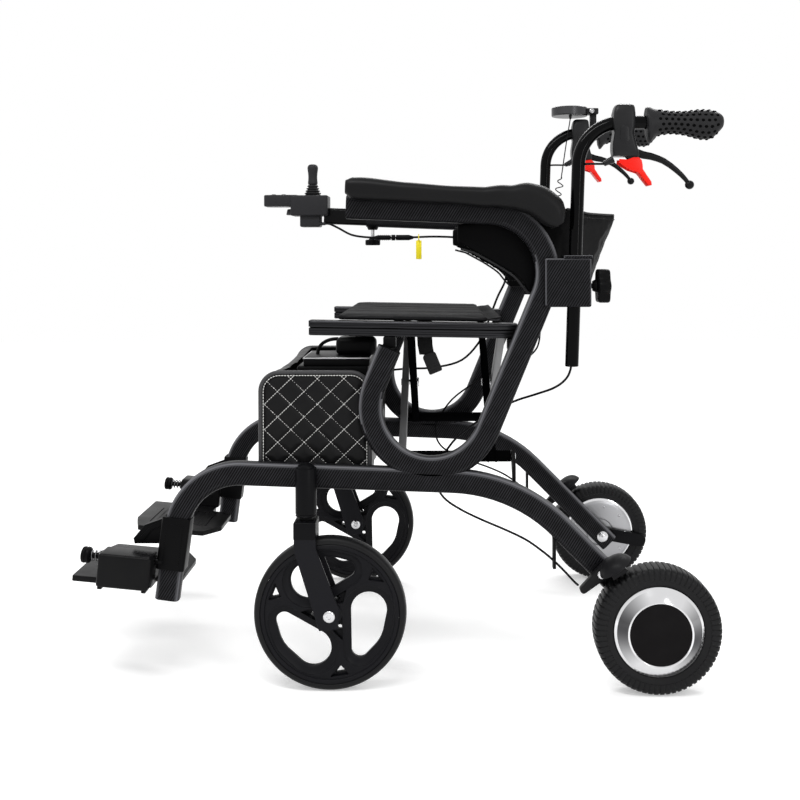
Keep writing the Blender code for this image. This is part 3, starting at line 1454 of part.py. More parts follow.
def plunger():
    """The push knob that unlocks the foot rest."""
    x_low, x_high = PLUNGER_KNOB_X
    y, z = -FOOT_AXIS_Y, FOOT_AXIS[1]
    long = x_high - x_low
    profile = [
        (0, long), (PLUNGER_KNOB_R - 0.002, long), (PLUNGER_KNOB_R, long - 0.002),
        (PLUNGER_KNOB_R, 0), (0, 0),
    ]
    knob = turned(profile, (x_low, y, z), (1, 0, 0), 12)
    stem = rod((x_high - 0.002, y, z), (FOOT_PIN_END - 0.008, y, z), PLUNGER_STEM_R, 10)
    return turned_about_y(joined(knob, stem), FOOT_AXIS, FOOT_PITCH)


def plunger_spring():
    """The spring between the housing and the knob: one wire in open turns."""
    low = PLUNGER_KNOB_X[1] + SPRING_WIRE_R + SEAT_GAP
    high = FOOT_HOUSING_X[0] - SPRING_WIRE_R - SEAT_GAP
    count = round(SPRING_TURNS * 8)
    points = []
    for step in range(count + 1):
        angle = 2 * math.pi * SPRING_TURNS * step / count
        x = low + (high - low) * step / count
        y = -FOOT_AXIS_Y + SPRING_R * math.cos(angle)
        points.append((x, y, FOOT_AXIS[1] + SPRING_R * math.sin(angle)))
    gap = (high - low) / SPRING_TURNS - 2 * SPRING_WIRE_R
    print(f"foot rest spring: least gap between turns {gap * 1000:.2f} mm")
    return turned_about_y(tube(points, SPRING_WIRE_R, 1), FOOT_AXIS, FOOT_PITCH)


# Controller

def control_body():
    """The joystick's housing: a tapered nose, a deeper main part, the bar's seat and a cord gland."""
    front = -0.296
    rear = -0.165
    step_x = -0.236
    y_low = CONTROL_Y - CONTROL_HALF_DEEP
    y_high = CONTROL_Y + CONTROL_HALF_DEEP
    nose_half = 0.022
    nose = [
        (front + 0.002, CONTROL_Y - nose_half + 0.006), (front + 0.012, CONTROL_Y - nose_half),
        (step_x + 0.01, y_low + 0.002), (step_x + 0.01, y_high - 0.002),
        (front + 0.012, CONTROL_Y + nose_half), (front + 0.002, CONTROL_Y + nose_half - 0.006),
        (front, CONTROL_Y),
    ]
    head = rounded(plate(nose, 0.768, CONTROL_TOP, across="Z"), 0.003)
    main = box((step_x, y_low, 0.749), (rear, y_high, CONTROL_TOP - 0.001), 0.003)
    lower = box((-0.222, CONTROL_Y - 0.022, 0.7265), (-0.181, CONTROL_Y + 0.022, 0.752), 0.003)
    well = rod(
        (STICK_X, CONTROL_Y, STICK_PIVOT_Z - 0.010), (STICK_X, CONTROL_Y, CONTROL_TOP + 0.01), 0.0105, 14
    )
    bar_seat = sloped_block((BAR_X[0] - 0.03, BAR_X[0] + 0.02), SEAT_GAP)
    gland = rod((-0.1835, CABLE_GLAND_Y, 0.7330), (-0.172, CABLE_GLAND_Y, 0.7330), 0.0038, 10)
    return cut(joined(head, main, lower, gland), well, bar_seat)


def control_bar():
    """The bar that slides in the right arm tube, square at its front end."""
    bar = sloped_block((BAR_X[0] - 0.03, BAR_X[1]))
    front_cut = box((-0.30, 0.20, 0.70), (BAR_X[0] - 0.008, 0.28, 0.80))
    return cut(bar, front_cut)


def bellows():
    """The rubber bellows round the stick: rings that narrow upwards, on a short skirt."""
    profile = [(0.0090, 0.0245)]
    rings = 3
    for ring in range(rings):
        share = ring / rings
        radius = 0.0095 + 0.0045 * share
        z = 0.0235 - 0.0195 * share
        profile.append((radius + 0.0016, z - 0.0022))
        profile.append((radius - 0.0006, z - 0.0060))
    profile.append((0.0125, 0.0042))
    profile.append((0.0095, 0.0040))
    profile.append((0.0095, -0.002))
    profile.append((0.0060, -0.002))
    profile.append((0.0060, 0.0245))
    return turned(profile, (STICK_X, CONTROL_Y, STICK_PIVOT_Z), (0, 0, 1), 12, ring=True)


def stick():
    """The joystick: a slim shaft in the bellows and a waisted knob."""
    knob = STICK_KNOB_R
    profile = [
        (0, 0.0670), (knob * 0.55, 0.0665), (knob * 0.93, 0.0635), (knob, 0.0590),
        (knob * 0.86, 0.0480), (knob * 0.84, 0.0370), (knob * 0.92, 0.0290), (knob * 0.80, 0.0252),
        (0.0042, 0.0252),
        (0.0042, -0.006), (0, -0.006),
    ]
    return turned(profile, (STICK_X, CONTROL_Y, STICK_PIVOT_Z), (0, 0, 1), 12)


def bar_knob():
    """The knob and screw under the right arm tube that clamp the controller's bar."""
    low, high = CLAMP_KNOB_Z
    head = turned(
        [(0, high - low), (CLAMP_KNOB_R - 0.003, high - low), (CLAMP_KNOB_R, high - low - 0.003),
         (CLAMP_KNOB_R, 0), (0, 0)],
        (CLAMP_X, FRAME_Y, low), (0, 0, 1), 14,
    )
    tip = arm_frame_at(CLAMP_X) - BAR_TALL / 2 - 0.0004
    stem = rod((CLAMP_X, FRAME_Y, high - 0.002), (CLAMP_X, FRAME_Y, tip), CLAMP_SCREW_R, 12)
    return joined(head, stem)


CONTROL_CABLE_ROUTE = (
    # from the controller's gland, under the arm tube, down the bend and into the bag
    (-0.1716, 0.2240, 0.7330), (-0.1610, 0.2238, 0.7320), (-0.1430, 0.2215, 0.7235),
    (-0.1180, 0.2165, 0.7105), (-0.0900, 0.2140, 0.7055), (-0.0520, 0.2140, 0.7040),
    (0.0000, 0.2140, 0.7045), (0.0500, 0.2160, 0.7060), (0.1000, 0.2300, 0.7040),
    (0.1400, 0.2380, 0.6980), (0.1700, 0.2380, 0.6860), (0.1900, 0.2380, 0.6660),
    (0.1970, 0.2380, 0.6400), (0.1930, 0.2380, 0.6130), (0.1780, 0.2380, 0.5820),
    (0.1600, 0.2380, 0.5350), (0.1430, 0.2360, 0.4950), (0.1050, 0.2260, 0.4560),
    (0.0500, 0.2180, 0.4420), (0.0000, 0.2165, 0.4400), (-0.0220, 0.2120, 0.4390),
    (-0.0370, 0.2060, 0.4382), (-0.0474, 0.2050, 0.4380),
)


def control_cable():
    """The controller's cord with its two-part plug, along the right side frame."""
    line = smooth_route(CONTROL_CABLE_ROUTE, 3 * 2 * CONTROL_CABLE_R)
    cord = tube(line, CONTROL_CABLE_R, 2)
    plug = rod((-0.047, 0.2140, 0.7041), (-0.021, 0.2140, 0.7043), PLUG_R, 8)
    nut = rod((-0.020, 0.2140, 0.7043), (-0.013, 0.2140, 0.7043), PLUG_R * 1.12, 8)
    socket = rod((-0.012, 0.2140, 0.7043), (0.016, 0.2140, 0.7048), PLUG_R, 8, PLUG_R * 0.7)
    waist = rod((-0.030, 0.2140, 0.7043), (0.0, 0.2140, 0.7045), PLUG_R * 0.8, 8)
    return joined(cord, plug, nut, socket, waist)


BRAKE_CABLE_ROUTE = (
    # from the brake body into the post, down it, then behind the arm tube to the brake arm
    (0.3270, -0.2450, 0.8117), (0.3100, -0.2450, 0.8117), (0.2900, -0.2450, 0.8117),
    (0.2800, -0.2450, 0.8095), (0.2762, -0.2450, 0.8000), (0.2745, -0.2450, 0.7600),
    (0.2715, -0.2450, 0.6800), (0.2682, -0.2450, 0.5900), (0.2655, -0.2450, 0.5150),
    (0.2625, -0.2450, 0.4880), (0.2540, -0.2420, 0.4720), (0.2373, -0.2350, 0.4590),
    (0.2105, -0.2250, 0.4480), (0.1750, -0.2170, 0.4350), (0.1350, -0.2155, 0.4140),
    (0.0850, -0.2150, 0.3780), (0.0560, -0.2150, 0.3350), (0.0520, -0.2150, 0.3050),
    (0.0640, -0.2170, 0.2820), (0.0900, -0.2230, 0.2650), (0.1240, -0.2300, 0.2500),
    (0.1600, -0.2360, 0.2360), (0.1920, -0.2380, 0.2210), (0.2180, -0.2380, 0.2030),
    (0.2380, -0.2380, 0.1860), (0.2520, -0.2450, 0.1735), (0.2650, -0.2600, 0.1620),
    (0.2712, -0.2660, 0.1575),
)


def cable_line(lift=0.0):
    """The middle line of a brake cable. Its upper part rises with a raised handle."""
    route = []
    for x, y, z in BRAKE_CABLE_ROUTE:
        rise = lift * min(1.0, max(0.0, (z - 0.50) / 0.24))
        route.append((x + rise * POST_LEAN, y, z + rise))
    return smooth_route(route, CABLE_STEP)


def brake_cable(lift=0.0):
    """A brake cable along its whole route, from the lever's housing to the brake arm."""
    return tube(cable_line(lift), BRAKE_CABLE_R, 2)


def round_device():
    """The round unit on the right handle with its block and its clamp, at the left handle's height."""
    y = -POST_Y
    low, high = PUCK_LOW, PUCK_LOW + PUCK_THICK
    profile = [
        (0, high), (PUCK_R - 0.003, high), (PUCK_R, high - 0.003), (PUCK_R, low + 0.002),
        (PUCK_R - 0.002, low), (0, low),
    ]
    puck = turned(profile, (PUCK_X, y, 0), (0, 0, 1), 20)
    block = box((PUCK_X + 0.028, y - 0.014, low - 0.004), (PUCK_X + 0.0575, y + 0.014, high - 0.001), 0.002)
    stem = box((PUCK_BAND_X[0] + 0.001, y - 0.008, POST_BEND_Z), (PUCK_BAND_X[1] - 0.001, y + 0.008, low))
    band = rod((PUCK_BAND_X[0], y, POST_BEND_Z), (PUCK_BAND_X[1], y, POST_BEND_Z), POST_R + 0.0045, 16)
    gland = rod((*CURLY_START, low - 0.006), (*CURLY_START, low + 0.001), 0.0026, 8)
    return joined(cut(joined(band, stem), post_form(SEAT_GAP)), block, puck, gland)


def curly_points():
    """A straight lead, the curls, and a short straight end into the gland on the arm tube."""
    start = Vector((*CURLY_START, PUCK_LOW - 0.0063 + RIGHT_HANDLE_LIFT))
    top = Vector(CURLY_TOP)
    low = Vector(CURLY_LOW)
    end = Vector(CURLY_END)
    axis = (low - top).normalized()
    side = axis.cross(Vector((0, 1, 0))).normalized()
    other = axis.cross(side)
    points = [start, start - Vector((0, 0, 0.005))]
    for t in (0.25, 0.5, 0.75, 0.9):
        points.append(start.lerp(top, t) + Vector((0.004 * math.sin(math.pi * t), 0, 0)))
    count = CURLY_TURNS * CURLY_STEPS
    for step in range(count + 1):
        t = step / count
        radius = CURLY_R * min(1.0, t * CURLY_TURNS / 0.6, (1 - t) * CURLY_TURNS / 0.6)
        angle = 2 * math.pi * CURLY_TURNS * t
        round_axis = side * math.cos(angle) + other * math.sin(angle)
        points.append(top.lerp(low, t) + round_axis * radius)
    points += [low.lerp(end, 0.5), end + Vector((0, 0, 0.004)), end]
    return points


def curly_cord():
    points = curly_points()
    least = min(
        (a - b).length
        for i, a in enumerate(points) for b in points[i + CURLY_STEPS - 3:]
    ) - 2 * CURLY_WIRE_R
    print(f"curly cord: least gap between curls {least * 1000:.2f} mm")
    return mirrored(tube(points, CURLY_WIRE_R, 1))


# The whole object

def build_frame(carbon, black, rubber):
    finish_pair(base_tube(), "base_tube", carbon)
    left = arm_tube()
    right = add_bar_pocket(raised_right(on_scene(left.data.copy()), 0))
    finish(left, "arm_tube_left", carbon)
    finish(right, "arm_tube_right", carbon)
    finish_pair(clamp_housing(), "clamp_housing", carbon)
    finish_pair(star_knob(), "star_knob", black, (STAR_NEAR_X, -POST_Y, STAR_Z))
    finish_pair(arm_pad(), "arm_pad", rubber)


def build_wheels(black, rubber, metal):
    caster = (CASTER_X, -CASTER_Y, BARREL_LOW)
    front = (FRONT_AXLE[0], -CASTER_Y, FRONT_AXLE[1])
    rear = (REAR_AXLE[0], -REAR_WHEEL_Y, REAR_AXLE[1])
    finish_pair(caster_barrel(), "caster_barrel", black)
    finish_pair(caster_fork(), "caster_fork", black, caster)
    finish_pair(front_wheel(), "front_wheel", black, front)
    finish_pair(front_tyre(), "front_tyre", rubber, front)
    finish_pair(hub_motor(), "hub_motor", metal, rear)
    finish_pair(rear_tyre(), "rear_tyre", rubber, rear)
    finish_pair(axle_bracket(), "axle_bracket", metal)
    finish_pair(brake_arm(), "brake_arm", black, (BRAKE_PIVOT[0], -BRAKE_ARM_Y, BRAKE_PIVOT[1]))


def build_handles(black, rubber, red):
    lift = RIGHT_HANDLE_LIFT
    post = (post_x(HOUSING_HIGH), -POST_Y, HOUSING_HIGH)
    finish_pair(handle_post(), "handle_post", black, post, lift)
    finish_pair(grip(), "grip", rubber, post, lift)
    finish_pair(brake_body(), "brake_body", rubber, post, lift)
    finish_pair(brake_lever(), "brake_lever", black, (LEVER_PIVOT[0], -POST_Y, LEVER_PIVOT[1]), lift)
    finish_pair(park_lever(), "park_lever", red, (PARK_PIVOT[0], -POST_Y, PARK_PIVOT[1]), lift)


def build_fold(metal, cloth, black):
    pivot = (0, -PIVOT_Y, PIVOT_Z)
    second_bars = tuple(x + BAR_STEP for x in BRACE_A_BARS)
    finish(brace(BRACE_A_BARS, 1), "brace_a", metal, pivot)
    finish(mirrored(brace(second_bars, 0)), "brace_b", metal, (0, PIVOT_Y, PIVOT_Z))
    finish(seat_pad(), "seat_pad", cloth)
    finish(backrest(), "backrest", cloth)
    finish(bag(), "bag", cloth)
    finish(battery(), "battery", black)


def build_foot_rests(black, metal):
    hinge = (FOOT_AXIS[0], -FOOT_AXIS_Y, FOOT_AXIS[1])
    finish_pair(foot_sleeve(), "foot_bracket", black)
    finish_pair(footplate(), "footplate", black, hinge)
    finish_pair(plunger(), "plunger", black, hinge)
    finish_pair(plunger_spring(), "plunger_spring", metal, hinge)


def build_controls(black, rubber):
    stick_axis = (STICK_X, CONTROL_Y, STICK_PIVOT_Z)
    finish(control_body(), "control_body", black)
    finish(control_bar(), "control_bar", black)
    finish(bellows(), "control_bellows", rubber, stick_axis)
    finish(stick(), "control_stick", black, stick_axis)
    finish(bar_knob(), "bar_knob", black, (CLAMP_X, FRAME_Y, CLAMP_KNOB_Z[0]))
    finish(control_cable(), "control_cable", rubber)
    finish(brake_cable(), "brake_cable_left", rubber)
    finish(mirrored(brake_cable(RIGHT_HANDLE_LIFT)), "brake_cable_right", rubber)
    finish(raised_right(round_device(), RIGHT_HANDLE_LIFT), "round_device", black)
    finish(curly_cord(), "curly_cord", rubber)


clear_scene()
PARTS = new_collection("electric_walker")
carbon_film = principled("carbon_film", (0.030, 0.030, 0.034), 0.1, 0.28)
black_paint = principled("black_paint", (0.020, 0.020, 0.022), 0.2, 0.42)
black_rubber = principled("black_rubber", (0.025, 0.025, 0.027), 0.0, 0.65)
black_cloth = principled("black_cloth", (0.022, 0.022, 0.024), 0.0, 0.75)
bright_metal = principled("bright_metal", (0.70, 0.70, 0.72), 1.0, 0.22)
red_plastic = principled("red_plastic", (0.75, 0.03, 0.02), 0.0, 0.40)
build_frame(carbon_film, black_paint, black_rubber)
build_wheels(black_paint, black_rubber, bright_metal)
build_handles(black_paint, black_rubber, red_plastic)
build_fold(bright_metal, black_cloth, black_paint)
build_foot_rests(black_paint, bright_metal)
build_controls(black_paint, black_rubber)
print(f"pieces: {len(PARTS.objects)}")
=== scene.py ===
"""The look of an electric walker: a folding four-wheeled walking aid with a seat and hub motors.

Sizes are in metres, Z is up, the user faces -X and the user's left side is at -Y. A table
in mm() is in millimetres.
Sizes along X are written from a line near the arm rests, as in the part's source, and each
finished piece is moved by MIDDLE_X to the object's own middle.
"""

import json
from math import atan2, copysign, cos, exp, hypot, pi, radians, sin, sqrt, tan

import bmesh
import bpy
from mathutils import Matrix, Vector
from mathutils.kdtree import KDTree

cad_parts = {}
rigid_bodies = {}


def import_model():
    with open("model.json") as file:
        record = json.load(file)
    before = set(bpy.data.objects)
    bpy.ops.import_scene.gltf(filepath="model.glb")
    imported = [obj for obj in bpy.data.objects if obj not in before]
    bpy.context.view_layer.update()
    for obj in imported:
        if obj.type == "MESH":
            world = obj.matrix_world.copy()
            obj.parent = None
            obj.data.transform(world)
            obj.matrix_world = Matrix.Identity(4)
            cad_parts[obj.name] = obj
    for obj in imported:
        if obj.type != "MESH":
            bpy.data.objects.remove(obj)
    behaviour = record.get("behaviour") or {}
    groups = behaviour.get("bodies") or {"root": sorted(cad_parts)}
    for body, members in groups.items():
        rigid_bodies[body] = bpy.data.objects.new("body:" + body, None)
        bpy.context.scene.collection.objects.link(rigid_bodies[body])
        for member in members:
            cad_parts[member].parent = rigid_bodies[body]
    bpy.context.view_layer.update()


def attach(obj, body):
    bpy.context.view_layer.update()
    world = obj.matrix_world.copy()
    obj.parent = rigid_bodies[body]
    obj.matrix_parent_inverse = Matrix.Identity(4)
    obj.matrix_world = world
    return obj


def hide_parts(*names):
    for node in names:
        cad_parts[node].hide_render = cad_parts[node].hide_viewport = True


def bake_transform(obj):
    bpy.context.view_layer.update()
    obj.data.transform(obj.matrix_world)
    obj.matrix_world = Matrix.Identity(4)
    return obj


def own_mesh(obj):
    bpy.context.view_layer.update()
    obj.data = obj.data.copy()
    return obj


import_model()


# Studio
# A pale floor that runs out to a white surround, with two large soft boxes over the object
# and a weak one on the viewer's side, as for a catalogue picture of a black product.

MIDDLE_X = 0.00925
CAMERA_AT = (0.05 + MIDDLE_X, -1.8619, 0.6724)
CAMERA_YAW = 0.0048
CAMERA_ROLL = 0.0033
CAMERA_LENS = 46.35
CAMERA_SHIFT = (-0.0368, -0.1834)
FLOOR_HALF = 6.0


def new_object(name, data):
    thing = bpy.data.objects.new(name, data)
    bpy.context.scene.collection.objects.link(thing)
    return thing


def shaped(form, name):
    """A new object from a finished form."""
    mesh = bpy.data.meshes.new(name)
    form.to_mesh(mesh)
    form.free()
    return new_object(name, mesh)


camera_data = bpy.data.cameras.new("camera")
camera_data.lens = CAMERA_LENS
camera_data.sensor_width = 36.0
camera_data.shift_x, camera_data.shift_y = CAMERA_SHIFT
camera = new_object("camera", camera_data)
camera.location = CAMERA_AT
camera.rotation_euler = (radians(90), CAMERA_ROLL, CAMERA_YAW)
bpy.context.scene.camera = camera
bpy.context.scene.view_settings.view_transform = "Standard"


def paint(name, slot, colour, roughness, metallic=0.0, specular=0.5, coat=0.0, coat_roughness=0.1, sheen=0.0):
    """A new material with its uniform values on the shader's own sockets. Its slot argument is not used."""
    material = bpy.data.materials.new(name)
    material.use_nodes = True
    shader = material.node_tree.nodes["Principled BSDF"]
    for label, value in (("Base Color", (*colour, 1.0)), ("Roughness", roughness), ("Metallic", metallic),
            ("Specular IOR Level", specular), ("Coat Weight", coat), ("Coat Roughness", coat_roughness),
            ("Sheen Weight", sheen)):
        shader.inputs[label].default_value = value
    return material, material.node_tree, shader


def node(tree, kind, settings=None, **inputs):
    """A node with its settings and its plain or linked inputs, which are named with underscores.

    A shader node's kind is given without its first two words.
    """
    made = tree.nodes.new(kind if "Node" in kind else "ShaderNode" + kind)
    for key, value in (settings or {}).items():
        setattr(made, key, value)
    for key, value in inputs.items():
        numbered = key[0] == "n" and key[1:].isdigit()
        spot = made.inputs[int(key[1:]) if numbered else key.replace("_", " ")]
        if isinstance(value, bpy.types.NodeSocket):
            tree.links.new(value, spot)
        else:
            spot.default_value = value
    return made


def maths(tree, operation, a, b=0.0, clamp=False):
    return node(tree, "Math", {"operation": operation, "use_clamp": clamp}, n0=a, n1=b).outputs[0]


def white_where_seen(tree, seen, unseen):
    """A strength that is one value for camera, glossy and transmission rays, and another for light."""
    path = node(tree, "LightPath")
    total = path.outputs["Is Camera Ray"]
    for kind in ("Is Glossy Ray", "Is Transmission Ray"):
        total = maths(tree, "ADD", total, path.outputs[kind], True)
    return node(tree, "MapRange", To_Min=unseen, To_Max=seen, Value=total).outputs["Result"]


world = bpy.data.worlds.new("studio")
world.use_nodes = True
bpy.context.scene.world = world
surround = world.node_tree.nodes["Background"]
surround.inputs["Color"].default_value = (1.0, 1.0, 1.0, 1.0)
world.node_tree.links.new(white_where_seen(world.node_tree, 1.0, 0.8), surround.inputs["Strength"])

floor_form = bmesh.new()
bmesh.ops.create_grid(floor_form, x_segments=1, y_segments=1, size=FLOOR_HALF)
floor = shaped(floor_form, "floor")

floor_paint, floor_tree, floor_shader = paint("floor_paint", None, (0.86, 0.86, 0.86), 0.9, 0.0, 0.1)
floor_shader.inputs["Emission Color"].default_value = (1.0, 1.0, 1.0, 1.0)
floor_tree.links.new(white_where_seen(floor_tree, 0.34, 0.0), floor_shader.inputs["Emission Strength"])
floor.data.materials.append(floor_paint)


def soft_box(name, place, aim, size, power):
    data = bpy.data.lights.new(name, "AREA")
    data.shape = "RECTANGLE"
    data.size, data.size_y = size
    data.energy = power
    lamp = new_object(name, data)
    lamp.location = place
    lamp.rotation_euler = (Vector(aim) - Vector(place)).to_track_quat("-Z", "Y").to_euler()


soft_box("over_front", (-0.6, -1.2, 2.3), (0.0, 0.0, 0.4), (1.8, 0.18), 24)
soft_box("over_back", (0.5, 1.3, 2.1), (0.0, 0.0, 0.4), (2.2, 0.16), 26)
soft_box("viewer_side", (1.5, -2.3, 1.2), (0.0, 0.0, 0.4), (0.16, 1.4), 9)


# Side frame tubes
# Two flat-sided aluminium tubes on each side, bent in one plane and wrapped in a clear-coated
# film with a woven pattern. The upper tube sits in the lower one, and both ends are plugged.

FRAME_Y = 0.238
TUBE_DEEP = 0.026
TUBE_TALL = 0.0375
TUBE_CORNER = 0.008
REAR_AXLE = (0.3887, 0.0975)
BASE_FOOT = (-0.3725, 0.13)
BASE_ARCH = (-0.3455, 0.3305, 0.1)
BASE_REAR_BEND = (0.1779, 0.3104, 0.253)
BASE_PAST_AXLE = 0.02
ARM_BEND_R = 0.0956
ARM_FRONT = (-0.088, 0.7457)
ARM_REAR_CORNER = (0.272, 0.7308, ARM_BEND_R)
ARM_BOW_REAR = (0.0967, 0.3055, ARM_BEND_R)
ARM_BOW_FRONT = (-0.0804, 0.3776, ARM_BEND_R)
ARM_HOOK_END = (-0.0216, 0.522)
PIVOT_Y = 0.2
PIVOT_Z = 0.345
TUBE_INNER_Y = FRAME_Y - TUBE_DEEP / 2
TUBE_OUTER_Y = FRAME_Y + TUBE_DEEP / 2
POST_LEAN = 0.0365
RIGHT_HANDLE_LIFT = 0.04
UP = (0, 0, 1)
TO_REAR = (1, 0, 0)
TO_LEFT = (0, -1, 0)
TO_RIGHT = (0, 1, 0)


def angles(count):
    """Even steps round a full turn."""
    return [2 * pi * at / count for at in range(count)]


def both_ways(half):
    """A profile followed by its own mirror image, for a round shape that is the same on both sides."""
    return [*half, *((a, -b) for a, b in reversed(half))]


def bend_path(start, corners, end, step=radians(4)):
    """Points along straight runs joined by arcs. A corner is (x, z, bend radius)."""
    points = [Vector(start)]
    stops = [Vector(corner[:2]) for corner in corners] + [Vector(end)]
    before = Vector(start)
    for index, (x, z, radius) in enumerate(corners):
        corner = Vector((x, z))
        back = (before - corner).normalized()
        ahead = (stops[index + 1] - corner).normalized()
        turn = pi - back.angle(ahead)
        centre = corner + (back + ahead).normalized() * radius / cos(turn / 2)
        first = corner + back * radius * tan(turn / 2) - centre
        side = 1 if back.cross(ahead) < 0 else -1
        count = max(2, round(turn / step))
        for at in range(count + 1):
            angle = side * turn * at / count
            c, s = cos(angle), sin(angle)
            points.append(centre + Vector((first.x * c - first.y * s, first.x * s + first.y * c)))
        before = corner
    points.append(Vector(end))
    return points


def mm(*rows):
    """A table of lengths in millimetres, as metres."""
    return [tuple(round(value / 1000, 7) for value in row) for row in rows]


def run_lengths(line):
    """How far along a line of points each one lies."""
    lengths = [0.0]
    for before, after in zip(line, line[1:]):
        lengths.append(lengths[-1] + (after - before).length)
    return lengths


def between_rows(rows, at, ease=0.0):
    """The values of a table at a place between two of its rows, with steps that may be eased."""
    for (a, *low), (b, *high) in zip(rows, rows[1:]):
        if a <= at <= b:
            t = (at - a) / (b - a)
            t = t * t * (3 - 2 * t) * ease + t * (1 - ease)
            return [p + (q - p) * t for p, q in zip(low, high)]
    return rows[-1][1:]


def rounded_rectangle(half_wide, half_tall, corner, steps=5):
    points = []
    for turn, (sign_a, sign_b) in enumerate(((1, 1), (-1, 1), (-1, -1), (1, -1))):
        for step in range(steps + 1):
            angle = radians(90) * (turn + step / steps)
            a = sign_a * (half_wide - corner) + corner * cos(angle)
            b = sign_b * (half_tall - corner) + corner * sin(angle)
            points.append((a, b))
    return points


def skin(rings, caps=(True, True), closed=True):
    """A mesh over rings of points, with a UV map in metres: along the rings, and round each."""
    form = bmesh.new()
    uv = form.loops.layers.uv.new("UVMap")
    rows = [[form.verts.new(point) for point in ring] for ring in rings]
    count = len(rows[0])
    along = run_lengths([sum((v.co for v in row), Vector()) / count for row in rows])
    widest = max(rings, key=lambda ring: (Vector(ring[0]) - Vector(ring[count // 2])).length)
    around = run_lengths([Vector(spot) for spot in (*widest, widest[0])])
    for level, (row, after) in enumerate(zip(rows, rows[1:])):
        for at in range(count if closed else count - 1):
            step = (at + 1) % count
            face = form.faces.new((row[at], row[step], after[step], after[at]))
            spots = ((level, at), (level, at + 1), (level + 1, at + 1), (level + 1, at))
            for loop, (r, c) in zip(face.loops, spots):
                loop[uv].uv = (along[r], around[c])
    if caps[0]:
        form.faces.new(list(reversed(rows[0])))
    if caps[1]:
        form.faces.new(rows[-1])
    bmesh.ops.recalc_face_normals(form, faces=form.faces)
    return shaped(form, "skin")


def strip_tube(path, tall, deep, corner, y, steps=5, caps=(True, True)):
    """A flat-sided tube with rounded corners along a path of (x, z) points."""
    section = rounded_rectangle(tall / 2, deep / 2, corner, steps)
    rings = []
    for at, point in enumerate(path):
        before = path[max(at - 1, 0)]
        after = path[min(at + 1, len(path) - 1)]
        along = (Vector(after) - Vector(before)).normalized()
        normal = Vector((-along.y, along.x))
        spots = [Vector(point) + normal * a for a, b in section]
        rings.append([(spot.x, y + b, spot.y) for spot, (a, b) in zip(spots, section)])
    return skin(rings, caps)


def baked(thing):
    """The object with its modifiers or its curve turned into a plain mesh in place."""
    bpy.context.view_layer.update()
    graph = bpy.context.evaluated_depsgraph_get()
    mesh = bpy.data.meshes.new_from_object(thing.evaluated_get(graph))
    mesh.transform(thing.matrix_world)
    bpy.data.objects.remove(thing, do_unlink=True)
    form = bmesh.new()
    form.from_mesh(mesh)
    bmesh.ops.remove_doubles(form, verts=form.verts, dist=0.000005)
    bmesh.ops.recalc_face_normals(form, faces=form.faces)
    form.to_mesh(mesh)
    form.free()
    return new_object("shape", mesh)


def rounded(thing, width, segments=3, angle=35):
    bevel = thing.modifiers.new("Round", "BEVEL")
    bevel.width = width
    bevel.segments = segments
    bevel.limit_method = "ANGLE"
    bevel.angle_limit = radians(angle)
    bevel.harden_normals = False
    return baked(thing)


def together(*things):
    """One mesh from several solids that sit against each other on one piece."""
    form = bmesh.new()
    for thing in things:
        form.from_mesh(thing.data)
        bpy.data.objects.remove(thing, do_unlink=True)
    return shaped(form, "joined")


def plate(outline, low, high, holes=(), across="Y", edge=0.0006):
    """A flat outline with rounded edges between two planes across an axis."""
    curve = bpy.data.curves.new("outline", "CURVE")
    curve.dimensions = "2D"
    curve.fill_mode = "BOTH"
    curve.extrude = (high - low) / 2 - edge
    curve.bevel_depth = edge
    curve.bevel_resolution = 2
    curve.offset = -edge
    for points in (outline, *holes):
        spline = curve.splines.new("POLY")
        spline.points.add(len(points) - 1)
        for spot, (a, b) in zip(spline.points, points):
            spot.co = (a, b, 0, 1)
        spline.use_cyclic_u = True
    thing = new_object("plate", curve)
    stand = Matrix.Identity(4)
    if across == "Y":
        stand = Matrix.Rotation(radians(90), 4, "X")
    if across == "X":
        stand = Matrix.Rotation(radians(90), 4, "Z") @ Matrix.Rotation(radians(90), 4, "X")
    middle = [(low + high) / 2 if axis == across else 0 for axis in "XYZ"]
    thing.matrix_world = Matrix.Translation(middle) @ stand
    return baked(thing)


def turned(profile, centre, axis, steps=48, ring=False):
    """A profile of (radius, height) points turned about an axis through a point, with a UV map."""
    turn = Vector((0, 0, 1)).rotation_difference(Vector(axis)).to_matrix()
    form = bmesh.new()
    uv = form.loops.layers.uv.new("UVMap")
    rows = []
    for radius, height in profile:
        if radius < 0.00001:
            rows.append([form.verts.new(Vector(centre) + turn @ Vector((0, 0, height)))] * (steps + 1))
            continue
        row = []
        for step in range(steps):
            angle = 2 * pi * step / steps
            spot = Vector((radius * cos(angle), radius * sin(angle), height))
            row.append(form.verts.new(Vector(centre) + turn @ spot))
        rows.append(row + row[:1])
    widest = max(radius for radius, height in profile)
    down = [0.0]
    for (r0, h0), (r1, h1) in zip(profile, profile[1:] + profile[:1]):
        down.append(down[-1] + hypot(r1 - r0, h1 - h0))
    pairs = list(zip(range(len(rows)), range(1, len(rows))))
    if ring:
        pairs.append((len(rows) - 1, 0))
    for level, after in pairs:
        for step in range(steps):
            corners = [(level, step), (level, step + 1), (after, step + 1), (after, step)]
            seen = []
            for r, c in corners:
                if rows[r][c] not in [vertex for vertex, spot in seen]:
                    turned_by = 2 * pi * c / steps * widest
                    seen.append((rows[r][c], (turned_by, down[level + 1 if r == after else level])))
            if len(seen) < 3:
                continue
            face = form.faces.new([vertex for vertex, spot in seen])
            for loop, (vertex, spot) in zip(face.loops, seen):
                loop[uv].uv = spot
    bmesh.ops.recalc_face_normals(form, faces=form.faces)
    return shaped(form, "turned")


